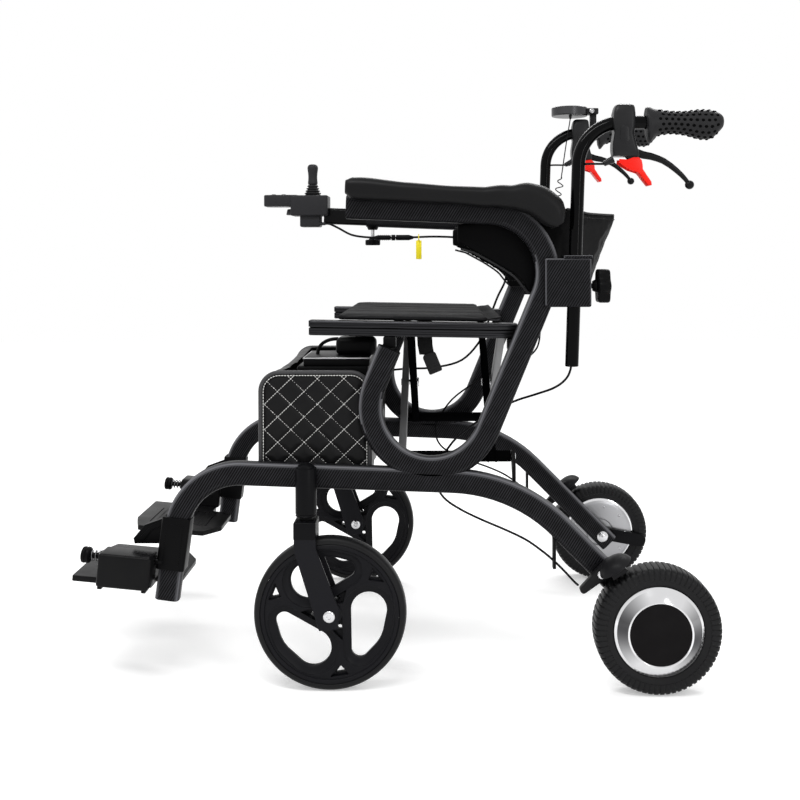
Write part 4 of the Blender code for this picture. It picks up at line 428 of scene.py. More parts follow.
def rod(start, end, radius, steps=24, edge=0.0005, end_radius=None):
    """A round bar between two points, with its end edges eased."""
    start, end = Vector(start), Vector(end)
    long = (end - start).length
    far = radius if end_radius is None else end_radius
    profile = [(0, long), (far - edge, long), (far, long - edge), (radius, edge), (radius - edge, 0), (0, 0)]
    return turned(profile, start, end - start, steps)


def cross_rod(spot, near, far, *shape):
    """A round bar across the object at a place (x, z), between two distances from its middle."""
    return rod((spot[0], near, spot[1]), (spot[0], far, spot[1]), *shape)


def box(low, high, edge=0.0008, segments=2):
    form = bmesh.new()
    low, high = Vector(low), Vector(high)
    place = Matrix.Translation((low + high) / 2) @ Matrix.Diagonal((*(high - low), 1.0))
    bmesh.ops.create_cube(form, size=1.0, matrix=place)
    thing = shaped(form, "box")
    return rounded(thing, edge, segments) if edge else thing


def cut(thing, *cutters):
    for cutter in cutters:
        change = thing.modifiers.new("Cut", "BOOLEAN")
        change.operation = "DIFFERENCE"
        change.use_self = len(thing.data.polygons) < 20000
        change.object = cutter
        thing = baked(thing)
        bpy.data.objects.remove(cutter, do_unlink=True)
    return thing


def side_mapped(thing):
    """A UV map in metres, straight onto the side that each face looks to, and a painted highlight on the
    rounded edges that face up or sideways.
    """
    found = thing.data.uv_layers.get("UVMap") or thing.data.uv_layers.new(name="UVMap")
    painted_highlight = [0.0] * len(thing.data.polygons)
    for face in thing.data.polygons:
        reach = [abs(way) for way in face.normal]
        flat = [axis for axis in range(3) if axis != reach.index(max(reach))]
        for corner in face.loop_indices:
            spot = thing.data.vertices[thing.data.loops[corner].vertex_index].co
            found.data[corner].uv = (spot[flat[0]], spot[flat[1]])
        # Painted highlight: faces of rounded edges that look up or sideways get a share that lightens the
        # film there, in place of the lamps' reflection.
        if face.normal.z > -0.15 and face.area > 0:
            painted_highlight[face.index] = min(1.0, max(0.0, 1.0 - max(reach)) * 4.0) * min(1.0, abs(face.normal.y) * 3)
    thing.data.attributes.new("painted_highlight", "FLOAT", "FACE").data.foreach_set("value", painted_highlight)
    return thing


def mirrored(thing, lift=0.0):
    """A copy for the right side, which may stand higher up the leaning post."""
    copy = new_object("copy", thing.data.copy())
    rise = Matrix.Translation((lift * POST_LEAN, 0, lift))
    copy.data.transform(rise @ Matrix.Diagonal((1, -1, 1, 1)))
    copy.data.flip_normals()
    return copy


def piece(thing, name, material, body, stands_for=None, sharp=32):
    """Finishes a piece: its name, material and shading, and the body that it rides on.

    A piece given two bodies and their points, not one body, is only fixed in place; the bodies and points are
    not used.
    """
    thing.name = name
    thing.data.name = name
    thing.data.transform(Matrix.Translation((MIDDLE_X, 0, 0)))
    thing.data.materials.clear()
    thing.data.materials.append(material)
    thing.data.shade_smooth()
    thing.data.set_sharp_from_angle(angle=radians(sharp))
    if isinstance(body, str):
        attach(thing, body)
    else:
        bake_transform(thing)
    if stands_for:
        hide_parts(stands_for)
    return thing


def pair(thing, name, material, body, stands_for=None, sharp=32):
    """Finishes the left piece and its mirror image on the right, where the handle is set higher."""
    lift = RIGHT_HANDLE_LIFT if body in ("post", "brake_lever", "park_lever") else 0.0
    for side, each in (("left", thing), ("right", mirrored(thing, lift))):
        node_name = f"{stands_for}_{side}" if stands_for else None
        rides_on = f"{side}_frame" if body == "frame" else f"{body}_{side}"
        piece(each, f"{name}_{side}", material, rides_on, node_name, sharp)


def mixed_colour(tree, share, low, high):
    return node(tree, "Mix", {"data_type": "RGBA"}, n0=share, n6=(*low, 1.0), n7=(*high, 1.0)).outputs[2]


def bumped(tree, normal, height, strength, distance):
    bump = node(tree, "Bump", Strength=strength, Distance=distance, Height=height)
    tree.links.new(bump.outputs[0], normal)


def shader_group(name, inputs, outputs):
    """An empty shader group with named inputs (name, kind, value) and outputs (name, kind)."""
    group = bpy.data.node_groups.new(name, "ShaderNodeTree")
    for label, kind, value in inputs:
        socket = group.interface.new_socket(label, in_out="INPUT", socket_type=kind)
        if value is not None:
            socket.default_value = value
    for label, kind in outputs:
        group.interface.new_socket(label, in_out="OUTPUT", socket_type=kind)
    entry = group.nodes.new("NodeGroupInput")
    leave = group.nodes.new("NodeGroupOutput")
    return group, entry.outputs, leave.inputs


# Fine unevenness and handling marks, which every painted and moulded piece has: an uneven
# roughness, a faint grain in the surface and a little pale dust.
surface_group, taken, given = shader_group("surface_wear", [("Scale", "NodeSocketFloat", 900.0),
    ("Grain", "NodeSocketFloat", 0.00003), ("Rough", "NodeSocketFloat", 0.4), ("Uneven", "NodeSocketFloat",
    0.12), ("Colour", "NodeSocketColor", (0.01, 0.01, 0.01, 1.0)), ("Dust", "NodeSocketFloat", 0.02)],
    [("Colour", "NodeSocketColor"), ("Rough", "NodeSocketFloat"), ("Normal", "NodeSocketVector")],)
where = node(surface_group, "TexCoord").outputs["Object"]
fine = node(surface_group, "TexNoise", Vector=where, Scale=taken["Scale"], Detail=2.0)
broad = node(surface_group, "TexNoise", Vector=where, Scale=14.0, Detail=5.0, Roughness=0.65)
patch = node(surface_group, "MapRange", Value=broad.outputs["Fac"], From_Min=0.35, From_Max=0.75)
swing = maths(surface_group, "MULTIPLY", taken["Uneven"], maths(surface_group, "SUBTRACT", patch.outputs[0],
    0.5))
rough = maths(surface_group, "ADD", taken["Rough"], swing, True)
surface_group.links.new(rough, given["Rough"])
dusty = maths(surface_group, "MULTIPLY", patch.outputs[0], taken["Dust"])
mixed = node(surface_group, "Mix", {"data_type": "RGBA"}, n0=dusty, n6=taken["Colour"],
    n7=(0.32, 0.31, 0.3, 1.0))
surface_group.links.new(mixed.outputs[2], given["Colour"])
bumped(surface_group, given["Normal"], fine.outputs["Fac"], 0.6, taken["Grain"])


def worn(material, tree, shader, colour, rough, uneven=0.12, grain=0.00003, scale=900.0, dust=0.002):
    """Gives a material the shared surface wear."""
    wear = node(tree, "Group", {"node_tree": surface_group}, Scale=scale, Grain=grain, Rough=rough,
        Uneven=uneven, Colour=(*colour, 1.0), Dust=dust)
    for given_as, taken_as in (("Colour", "Base Color"), ("Rough", "Roughness"), ("Normal", "Normal")):
        tree.links.new(wear.outputs[given_as], shader.inputs[taken_as])
    return material


def finish(name, slot, colour, values, wear):
    """A worn material. The values go to paint in its own order, and the wear to worn."""
    return worn(*paint(name, slot, colour, *values), colour, *wear)


# The film's woven look: a two-over-two twill of narrow tows, pale where a tow turns up to the
# light, on the piece's own UV map in metres.
TOW_WIDE = 0.0013
film, film_tree, film_shader = paint("carbon_film", "carbon_film", (0.01, 0.01, 0.012), 0.3, 0.0, 0.05, 0.02,
    0.08)
film_map = node(film_tree, "UVMap", {"uv_map": "UVMap"}).outputs[0]
film_uv = node(film_tree, "Mapping", Vector=film_map, Rotation=(0.0, 0.0, radians(-103))).outputs[0]
film_split = node(film_tree, "SeparateXYZ", Vector=film_uv)
tow_u = maths(film_tree, "DIVIDE", film_split.outputs[0], TOW_WIDE)
tow_v = maths(film_tree, "DIVIDE", film_split.outputs[1], TOW_WIDE)
cell = maths(film_tree, "ADD", maths(film_tree, "FLOOR", tow_u), maths(film_tree, "FLOOR", tow_v))
phase = maths(film_tree, "FLOORED_MODULO", cell, 4.0)
over = maths(film_tree, "LESS_THAN", phase, 1.5)
across_u = maths(film_tree, "SINE", maths(film_tree, "MULTIPLY", maths(film_tree, "FRACT", tow_u), pi))
across_v = maths(film_tree, "SINE", maths(film_tree, "MULTIPLY", maths(film_tree, "FRACT", tow_v), pi))
crest = node(film_tree, "Mix", {"data_type": "FLOAT"}, n0=over, n2=across_v, n3=across_u).outputs[0]
lit = maths(film_tree, "MULTIPLY", over, maths(film_tree, "POWER", crest, 1.8))
film_noise = node(film_tree, "TexNoise", Vector=film_uv, Scale=60.0, Detail=3.0)
lit = maths(film_tree, "MULTIPLY", lit, maths(film_tree, "ADD", film_noise.outputs["Fac"], 0.45))
film_colour = mixed_colour(film_tree, lit, (0.0003, 0.0003, 0.0004), (0.04, 0.04, 0.045))
# The film is lightened towards pale grey where that share is set: a painted highlight along the tubes' upper
# edges.
painted_highlight_share = node(film_tree, "Attribute", {"attribute_name": "painted_highlight"}).outputs["Fac"]
film_colour_with_painted_highlight = node(film_tree, "Mix", {"data_type": "RGBA"}, n0=painted_highlight_share, n6=film_colour,
    n7=(0.13, 0.13, 0.14, 1.0))
film_tree.links.new(film_colour_with_painted_highlight.outputs[2], film_shader.inputs["Base Color"])
film_rough = node(film_tree, "MapRange", Value=lit, To_Min=0.42, To_Max=0.22)
film_tree.links.new(film_rough.outputs[0], film_shader.inputs["Roughness"])
bumped(film_tree, film_shader.inputs["Normal"], crest, 0.5, 0.00005)

black = (0.0022, 0.0022, 0.0025)
moulded = finish("black_moulding", "black_plastic", black, (0.36, 0.0, 0.06), (0.42,))
enamel = finish("black_enamel", "black_paint", black, (0.26, 0.0, 0.06, 0.05), (0.3, 0.1, 0.00001))


def base_path():
    along = Vector(REAR_AXLE) - Vector(BASE_REAR_BEND[:2])
    end = Vector(REAR_AXLE) + along.normalized() * BASE_PAST_AXLE
    return bend_path(BASE_FOOT, (BASE_ARCH, BASE_REAR_BEND), tuple(end))


def arm_path():
    return bend_path(ARM_FRONT, (ARM_REAR_CORNER, ARM_BOW_REAR, ARM_BOW_FRONT), ARM_HOOK_END)


def end_plug(path, at, beyond, y):
    """A moulded plug in a tube's end, standing a little proud of it."""
    inner = Vector(path[at])
    heading = (inner - Vector(path[1 if at == 0 else -2])).normalized()
    line = [tuple(inner - heading * 0.002), tuple(inner + heading * beyond)]
    return rounded(strip_tube(line, TUBE_TALL - 0.0012, TUBE_DEEP - 0.0012, TUBE_CORNER - 0.0006, y), 0.0007)


pair(side_mapped(strip_tube(base_path(), TUBE_TALL, TUBE_DEEP, TUBE_CORNER, -FRAME_Y)), "base_tube_film",
    film, "frame", "base_tube")
pair(end_plug(base_path(), -1, 0.0008, -FRAME_Y), "base_plug", moulded, "frame")
pair(end_plug(base_path(), 0, 0.0008, -FRAME_Y), "base_foot_plug", moulded, "frame")

arm_line = arm_path()
piece(side_mapped(strip_tube(arm_line, TUBE_TALL, TUBE_DEEP, TUBE_CORNER, -FRAME_Y)), "arm_tube_film_left",
    film, "left_frame", "arm_tube_left")
piece(side_mapped(strip_tube(arm_line, TUBE_TALL, TUBE_DEEP, TUBE_CORNER, FRAME_Y, 5, (False, True))),
    "arm_tube_film_right", film, "right_frame", "arm_tube_right")
pair(end_plug(arm_line, -1, 0.0008, -FRAME_Y), "hook_plug", moulded, "frame")
piece(end_plug(arm_line, 0, 0.0008, -FRAME_Y), "arm_front_plug", moulded, "left_frame")


# Brake and control cables
# Plastic-sheathed cables that the object holds at both ends. The brake cables run from the
# brake bodies down the posts, along the base tubes and out to the brake arms; the control cable
# runs from the joystick's box, through a plug, down the inner side of the right frame.

BRAKE_CABLE_R = 0.0018
CONTROL_CABLE_R = 0.0022
POST_REF = (0.2755, 0.785)
BRAKE_CABLE_ROUTE = mm((327, 245, 811.7), (310, 245, 811.7), (290, 245, 811.7), (280, 245, 809.5),
    (276.2, 245, 800), (274.5, 245, 760), (271.5, 245, 680), (268.2, 245, 590), (265.5, 245, 515),
    (262.5, 245, 488), (254, 242, 472), (237.3, 235, 459), (210.5, 225, 448), (175, 217, 435),
    (135, 215.5, 414), (85, 215, 378), (56, 215, 335), (52, 215, 305), (64, 217, 282), (90, 223, 265),
    (124, 230, 250), (160, 236, 236), (192, 238, 221), (218, 238, 203), (238, 238, 186), (252, 245, 173.5),
    (265, 260, 162), (271.2, 266, 157.5))
CONTROL_CABLE_ROUTE = mm((-171.6, 224, 733), (-161, 223.8, 732), (-143, 221.5, 723.5), (-118, 216.5, 710.5),
    (-90, 214, 705.5), (-52, 214, 704), (0, 214, 704.5), (50, 216, 706), (100, 230, 704), (140, 238, 698),
    (170, 238, 686), (190, 238, 666), (197, 238, 640), (193, 238, 613), (178, 238, 582), (160, 238, 535),
    (143, 236, 495), (105, 226, 456), (50, 218, 442), (0, 216.5, 440), (-22, 212, 439), (-37, 206, 438.2),
    (-47.4, 205, 438))


def tube_line(points, radius, steps=10, per_span=5, smooth=True):
    """A round cord through points, with a UV map along and round it."""
    line = [Vector(point) for point in points]
    if smooth:
        ends = [line[0] * 2 - line[1], *line, line[-1] * 2 - line[-2]]
        fine = []
        for at in range(1, len(ends) - 2):
            p0, p1, p2, p3 = ends[at - 1:at + 3]
            for step in range(per_span):
                t = step / per_span
                fine.append(0.5 * (2 * p1 + (p2 - p0) * t + (2 * p0 - 5 * p1 + 4 * p2 - p3) * t * t
                    + (3 * p1 - p0 - 3 * p2 + p3) * t ** 3))
        line = [*fine, line[-1]]
    side = Vector((0, 1, 0))
    rings = []
    for at, point in enumerate(line):
        along = (line[min(at + 1, len(line) - 1)] - line[max(at - 1, 0)]).normalized()
        side = (side - along * side.dot(along)).normalized()
        other = along.cross(side)
        rings.append([point + (side * cos(a) + other * sin(a)) * radius for a in angles(steps)])
    return skin(rings)


def cable_points(lift=0.0):
    """The left brake cable's route. A raised handle lifts its upper part."""
    points = []
    for x, y, z in BRAKE_CABLE_ROUTE:
        rise = lift * min(max((z - 0.5) / 0.24, 0), 1)
        points.append((x + rise * POST_LEAN, -y, z + rise))
    return points


sheath = finish("cable_sheath", "black_plastic", (0.004, 0.004, 0.0045), (0.4, 0.0, 0.06),
    (0.4, 0.1, 0.00002, 1500.0))
piece(tube_line(cable_points(), BRAKE_CABLE_R), "brake_cable_sheath_left", sheath,
    ("left_frame", "post_left", (0.254, -0.242, 0.472), (0.254, -0.242, 0.76)), "brake_cable_left")
piece(tube_line([(x, -y, z) for x, y, z in cable_points(RIGHT_HANDLE_LIFT)], BRAKE_CABLE_R),
    "brake_cable_sheath_right", sheath, ("right_frame", "post_right", (0.254, 0.242, 0.472),
    (0.254, 0.242, 0.8)), "brake_cable_right")

# The plug in the control cable is a ribbed body, a knurled nut and a socket. A bare yellow tag
# hangs from it by a narrow neck.
PLUG_Y = 0.214
PLUG_Z = 0.7042


def along_x(x0, x1, radius, end_radius=None, y=PLUG_Y, z=PLUG_Z, steps=24, edge=0.0004):
    return rod((x0, y, z), (x1, y, z), radius, steps, edge, end_radius)


rings = [along_x(-0.044 + 0.0036 * at, -0.042 + 0.0036 * at, 0.0055) for at in range(6)]
plug = together(along_x(-0.0505, -0.044, 0.003, 0.0048), along_x(-0.044, -0.021, 0.0048), *rings,
    along_x(-0.02, -0.013, 0.0058, steps=12), along_x(-0.012, 0.012, 0.0055), along_x(0.012, 0.0185, 0.0048,
    0.003))
plug.data.transform(Matrix.Translation((-0.0135, 0, 0)) @ Matrix.Diagonal((1.148, 1, 1, 1)))
control_line = tube_line(CONTROL_CABLE_ROUTE, CONTROL_CABLE_R)
piece(together(control_line, plug), "control_cable_sheath", sheath, ("right_frame", "control",
    (-0.06, 0.214, 0.704), (-0.161, 0.214, 0.704)), "control_cable")

tag_material = finish("yellow_tag", "black_plastic", (0.95, 0.8, 0.01), (0.5,), (0.5, 0.1, 0.00002, 700.0,
    0.004))
tag = box((0.013, PLUG_Y - 0.0004, PLUG_Z - 0.0435), (0.0242, PLUG_Y + 0.0004, PLUG_Z - 0.006), 0.0003)
neck = box((0.016, PLUG_Y - 0.0004, PLUG_Z - 0.0066), (0.0212, PLUG_Y + 0.0004, PLUG_Z - 0.005), 0.0002)
loop = turned([(0.0066 + 0.0007 * cos(a), 0.0009 * sin(a)) for a in angles(8)], (0.0186, PLUG_Y, PLUG_Z),
    TO_REAR, 24, True)
piece(together(tag, neck, loop), "yellow_tag", tag_material, "right_frame")


# Tube fittings
# Machined and moulded fittings on the frame: lugs and the rod for the folding brace, saddles
# under the seat rail, the cable stop, and the open front end for the controller's bar.

SADDLE_X = ((-0.032, -0.012), (0.166, 0.186))
SADDLE_TALL = 0.018
LOWER_TUBE_X = (-0.012, 0.172)
LUG_THICK = 0.006
RUN_GAP = 0.0003
PIVOT_ROD_R = 0.005
RAIL_Z = 0.552
RAIL_SLOPE = radians(1.1)
RAIL_LOWER_TALL = 0.0125
CLAMP_X = -0.0755
ARM_DROP = (ARM_FRONT[1] - ARM_REAR_CORNER[1]) / (ARM_REAR_CORNER[0] - ARM_FRONT[0])

steel = finish("bright_steel", "bright_metal", (0.62, 0.62, 0.63), (0.24, 1.0), (0.24, 0.16, 0.00001, 700.0,
    0.0))


def rail_z(x):
    return RAIL_Z - x * tan(RAIL_SLOPE)


def arm_z(x):
    """Height of the arm tube's middle line along its arm rest run."""
    return ARM_FRONT[1] - (x - ARM_FRONT[0]) * ARM_DROP


def pivot_lug(low_x):
    root = -TUBE_INNER_Y - 0.001
    outline = [(root, PIVOT_Z - 0.035), (-PIVOT_Y, PIVOT_Z - 0.01)]
    for step in range(7):
        angle = radians(-90 + 30 * step)
        outline.append((-PIVOT_Y + 0.01 * cos(angle), PIVOT_Z + 0.01 * sin(angle)))
    outline += [(root + 0.0185, PIVOT_Z + 0.012), (root, PIVOT_Z - 0.012)]
    return plate(outline, low_x, low_x + LUG_THICK, across="X")


front_lug = LOWER_TUBE_X[0] - RUN_GAP - LUG_THICK
rear_lug = LOWER_TUBE_X[1] + RUN_GAP
pair(together(pivot_lug(front_lug), pivot_lug(rear_lug)), "pivot_lugs", enamel, "frame")
pivot_rod = rod((front_lug - 0.0015, -PIVOT_Y, PIVOT_Z), (rear_lug + LUG_THICK + 0.0015, -PIVOT_Y, PIVOT_Z),
    PIVOT_ROD_R)
pair(pivot_rod, "pivot_rod", steel, "frame")

saddles = []
for low_x, high_x in SADDLE_X:
    top = rail_z((low_x + high_x) / 2) - RAIL_LOWER_TALL - 0.0006
    saddles.append(box((low_x, -TUBE_INNER_Y - 0.001, top - SADDLE_TALL), (high_x, -0.199, top), 0.002, 3))
pair(together(*saddles), "seat_saddles", moulded, "frame")
pair(box((0.2345, -0.245, 0.176), (0.2395, -0.231, 0.225), 0.0006), "cable_stop", enamel, "frame")
under = arm_z(CLAMP_X) - TUBE_TALL / 2
piece(rod((CLAMP_X, FRAME_Y, under - 0.006), (CLAMP_X, FRAME_Y, under + 0.001), 0.0095, 32, 0.0006, 0.012),
    "clamp_boss", moulded, "right_frame")


# Casters
# A bearing barrel stands on the outer face of each base tube and holds a swivelling steel fork.
# The barrel is painted like the tube; the fork is black powder-coated plate with plain heads.

CASTER_X = -0.15
BARREL_R = 0.0165
CASTER_Y = TUBE_OUTER_Y + 0.0003 + BARREL_R
FRONT_WHEEL_R = 0.118
FRONT_AXLE = (-0.1126, FRONT_WHEEL_R)
FORK_INSIDE = 0.0185
FORK_OUTSIDE = FORK_INSIDE + 0.005

coated = finish("powder_coat", "black_paint", (0.0035, 0.0035, 0.0042), (0.36, 0.0, 0.07),
    (0.38, 0.1, 0.00004, 1300.0))
leg_coat = finish("leg_coat", "black_paint", (0.009, 0.009, 0.011), (0.4, 0.0, 0.08),
    (0.42, 0.1, 0.00004, 1300.0))


def rise(x, y, z0, z1, radius, end_radius=None, steps=40, edge=0.0005):
    return rod((x, y, z0), (x, y, z1), radius, steps, edge, end_radius)


barrel_profile = mm((0, 348.5), (5, 348.2), (9.5, 346.8), (12.5, 344.5), (13.5, 341.8), (16, 341),
    (16.5, 340), (16.5, 271), (15.8, 270), (15.8, 269), (16.5, 268), (16, 267), (6.4, 267), (6.4, 330),
    (0, 330))
pair(turned(barrel_profile, (CASTER_X, -CASTER_Y, 0), UP, 48), "bearing_barrel", coated, "frame",
    "caster_barrel")
pair(box((CASTER_X - 0.015, -CASTER_Y + 0.009, 0.306), (CASTER_X + 0.015, -TUBE_OUTER_Y - 0.0002, 0.338),
    0.0015), "barrel_saddle", coated, "frame")

x0, z0 = FRONT_AXLE
leg_outline = [(CASTER_X - 0.016, 0.2585), (CASTER_X + 0.016, 0.2585), (CASTER_X + 0.0175, 0.221),
    (x0 + 0.0145, z0 + 0.012), (x0 + 0.0135, z0 - 0.019), (x0 - 0.0155, z0 - 0.022),
    (CASTER_X - 0.0165, 0.219)]
legs = [plate(leg_outline, -CASTER_Y + low, -CASTER_Y + low + 0.005, edge=0.0009)
    for low in (-FORK_OUTSIDE, FORK_INSIDE)]
pair(together(*legs), "fork_legs", leg_coat, "fork", "caster_fork")
crown = box((CASTER_X - 0.0172, -CASTER_Y - 0.024, 0.2345), (CASTER_X + 0.0172, -CASTER_Y + 0.024, 0.2615),
    0.0022, 3)
y0 = -CASTER_Y
pair(together(crown, rise(CASTER_X, y0, 0.2612, 0.2664, 0.0115), rise(CASTER_X, y0, 0.2612, 0.329, 0.006)),
    "fork_crown", coated, "fork")
bolt_heads = []
for side in (-1, 1):
    face = y0 + side * FORK_OUTSIDE
    out = Vector((0, side, 0))
    bolt_heads.append(turned(mm((8.8, 0), (8.8, 1), (7.5, 2.2), (6, 2.6), (3.4, 2.6), (3, 1), (0, 1), (0, 0)),
        (x0, face, z0), out, 40))
bolt_heads.append(cross_rod(FRONT_AXLE, y0 - FORK_OUTSIDE, y0 + FORK_OUTSIDE, 0.0049, 32))
pair(together(*bolt_heads), "axle_heads", steel, "fork")


# Front wheels
# A moulded nylon wheel with three swirl openings: a deep rim and ribs round three dished
# webs, with triangular pockets at the hub and the rim, and a thin grey rubber tyre.

SWIRL_COUNT = 3
SWIRL_BIG_END = (0.505, 0.035, 0.232)
SWIRL_SMALL_END = (0.388, -0.47, 0.108)
SWIRL_OUTER_REACH = 0.728
DISH_WIDE = 0.012
HUB_POCKET = ((0.168, -0.345), (0.15, -0.01), (0.035, -0.215))
RIM_POCKET = ((0.13, -0.655), (0.0, -0.825), (0.25, -0.785))
RIM_NOTCH = ((0.138, -0.688), (0.066, -0.785), (0.204, -0.765))
HUB_HOLE_AT = (0.127, -0.185)
HUB_HOLE_R = 0.031
RIM_HALF = 0.0115
RIM_R = FRONT_WHEEL_R - 0.0105 - 0.0003
DISH_LEVELS = ((DISH_WIDE, 0.0098), (0.0085, 0.0072), (0.0045, 0.0058), (0.0015, 0.0048), (0.0, 0.003))


def swirl_outline(grow=0.0, count=72):
    circles = []
    for step in range(13):
        t = step / 12
        x, z, r = (a + (b - a) * t for a, b in zip(SWIRL_BIG_END, SWIRL_SMALL_END))
        swell = max(0.0, SWIRL_OUTER_REACH - hypot(x, z) - r) if 0 < t < 0.9 else 0.0
        out = Vector((x, z)).normalized() * swell * sin(pi * t)
        circles.append((x + out.x, z + out.y, r))
    points = []
    for angle in angles(count):
        nx, nz = cos(angle), sin(angle)
        x, z, r = max(circles, key=lambda c: c[0] * nx + c[1] * nz + c[2])
        reach = r * FRONT_WHEEL_R + grow
        points.append((x * FRONT_WHEEL_R + reach * nx, z * FRONT_WHEEL_R + reach * nz))
    return points


def about_wheel(points, turn):
    angle = 2 * pi * turn / SWIRL_COUNT
    c, s = cos(angle), sin(angle)
    return [(x0 + x * c - z * s, z0 + x * s + z * c) for x, z in points]


def share_of_wheel(points):
    return [(x * FRONT_WHEEL_R, z * FRONT_WHEEL_R) for x, z in points]


def eased(points, radius, steps=4):
    """An outline with its corners rounded."""
    result = []
    for at, point in enumerate(points):
        point = Vector(point)
        back = (Vector(points[at - 1]) - point).normalized()
        ahead = (Vector(points[(at + 1) % len(points)]) - point).normalized()
        for step in range(steps + 1):
            t = step / steps
            result.append(tuple(point + (1 - t) ** 2 * back * radius + t * t * ahead * radius))
    return result


def circle(centre, radius, count=96):
    return [(centre[0] + radius * cos(a), centre[1] + radius * sin(a)) for a in angles(count)]


def dished_web(turn, y):
    """The web round one opening: it slopes in from the rib to the opening's thin edge."""
    levels = [*DISH_LEVELS, *((grow, -half) for grow, half in reversed(DISH_LEVELS))]
    rings = []
    for grow, half in levels:
        rings.append([(a, y + half, b) for a, b in about_wheel(swirl_outline(grow + 0.0004), turn)])
    return skin([*rings, rings[0]], (False, False))


def front_wheel(y):
    dishes = []
    openings = []
    for turn in range(SWIRL_COUNT):
        dishes.append(about_wheel(swirl_outline(DISH_WIDE), turn))
        dishes.append(about_wheel(eased(share_of_wheel(HUB_POCKET), 0.003), turn))
        dishes.append(about_wheel(eased(share_of_wheel(RIM_POCKET), 0.003), turn))
        openings.append(about_wheel(swirl_outline(0.006), turn))
        openings.append(about_wheel(eased(share_of_wheel(RIM_NOTCH), 0.0018), turn))
        openings.append(about_wheel(circle(share_of_wheel([HUB_HOLE_AT])[0], HUB_HOLE_R * FRONT_WHEEL_R, 24),
            turn))
    rim = plate(circle(FRONT_AXLE, RIM_R - 0.0025), y - RIM_HALF, y + RIM_HALF, dishes, edge=0.0011)
    web = plate(circle(FRONT_AXLE, RIM_R - 0.0035), y - 0.0045, y + 0.0045, openings)
    lip = [(RIM_R - 0.007, -0.0122), (RIM_R - 0.0058, -0.0136), (RIM_R - 0.0012, -0.0138), (RIM_R, -0.0128),
        (RIM_R, 0.0128), (RIM_R - 0.0012, 0.0138), (RIM_R - 0.0058, 0.0136), (RIM_R - 0.007, 0.0122),
        (RIM_R - 0.0076, 0.009), (RIM_R - 0.0076, -0.009)]
    flange = turned(lip, (x0, y, z0), TO_LEFT, 120, True)
    hub = turned(both_ways(mm((5.3, 17.8), (11, 17.8), (12.2, 16.6), (15, 16), (18.2, 14), (19, 12))),
        (x0, y, z0), TO_LEFT, 64, True)
    webs = [dished_web(turn, y) for turn in range(SWIRL_COUNT)]
    return together(rim, web, flange, hub, *webs)


nylon = finish("grey_nylon", "black_plastic", (0.0065, 0.0065, 0.008), (0.38, 0.0, 0.08),
    (0.4, 0.14, 0.00003, 800.0, 0.01))
pair(front_wheel(y0), "swirl_wheel", nylon, "front_wheel", "front_wheel", sharp=38)

rubber = finish("tyre_rubber", "tyre", (0.005, 0.005, 0.0056), (0.42, 0.0, 0.16),
    (0.42, 0.12, 0.00005, 1500.0, 0.006))
tyre_profile = both_ways(mm((107.4, 12.6), (108.2, 13.6), (110.8, 14), (114, 13.2), (116.4, 10.8),
    (117.6, 6.8), (118, 2)))
pair(turned(tyre_profile, (x0, y0, z0), TO_LEFT, 144, True), "slick_tyre", rubber, "front_wheel",
    "front_tyre")


# Rear wheels
# A hub motor in each rear wheel: a turned aluminium shell with a polished sloping ring round
# a dark flat disc, a screwed back cover, and a solid rubber tyre with cross ribs.

REAR_WHEEL_R = 0.0975
REAR_WHEEL_Y = 0.2805
TREAD_RIBS = 66

# One node tree makes every repeated detail: a copy of a pattern on each point, turned so that
# its Z follows the point's "facing" and its X the point's "along".
copies = bpy.data.node_groups.new("copies_on_points", "GeometryNodeTree")
for label, kind in (("Points", "NodeSocketGeometry"), ("Pattern", "NodeSocketObject"),
        ("Material", "NodeSocketMaterial"), ("Size", "NodeSocketFloat")):
    copies.interface.new_socket(label, in_out="INPUT", socket_type=kind)
copies.interface.new_socket("Geometry", in_out="OUTPUT", socket_type="NodeSocketGeometry")
copies_in = copies.nodes.new("NodeGroupInput").outputs
facing = node(copies, "GeometryNodeInputNamedAttribute", {"data_type": "FLOAT_VECTOR"}, Name="facing")
along = node(copies, "GeometryNodeInputNamedAttribute", {"data_type": "FLOAT_VECTOR"}, Name="along")
turn_z = node(copies, "FunctionNodeAlignRotationToVector", {"axis": "Z"}, Vector=facing.outputs[0])
turn_x = node(copies, "FunctionNodeAlignRotationToVector", {"axis": "X", "pivot_axis": "Z"},
    Rotation=turn_z.outputs[0], Vector=along.outputs[0])
pattern = node(copies, "GeometryNodeObjectInfo", Object=copies_in["Pattern"])
placed = node(copies, "GeometryNodeInstanceOnPoints", Points=copies_in["Points"],
    Instance=pattern.outputs["Geometry"], Rotation=turn_x.outputs[0], Scale=copies_in["Size"])
real = node(copies, "GeometryNodeRealizeInstances", Geometry=placed.outputs[0])
dressed = node(copies, "GeometryNodeSetMaterial", Geometry=real.outputs[0], Material=copies_in["Material"])
copies.links.new(dressed.outputs[0], copies.nodes.new("NodeGroupOutput").inputs[0])
copies_socket = {item.name: item.identifier for item in copies.interface.items_tree if item.in_out == "INPUT"}


def repeated(pattern_object, spots, material, size=1.0):
    """A mesh of copies of a pattern. Each spot is a place, the way it faces and its direction."""
    mesh = bpy.data.meshes.new("spots")
    mesh.from_pydata([spot[0] for spot in spots], [], [])
    for at, name in ((1, "facing"), (2, "along")):
        values = mesh.attributes.new(name, "FLOAT_VECTOR", "POINT")
        values.data.foreach_set("vector", [value for spot in spots for value in spot[at]])
    thing = new_object("spots", mesh)
    change = thing.modifiers.new("Copies", "NODES")
    change.node_group = copies
    change[copies_socket["Pattern"]] = pattern_object
    change[copies_socket["Material"]] = material
    change[copies_socket["Size"]] = size
    thing = baked(thing)
    bpy.data.objects.remove(pattern_object, do_unlink=True)
    return thing


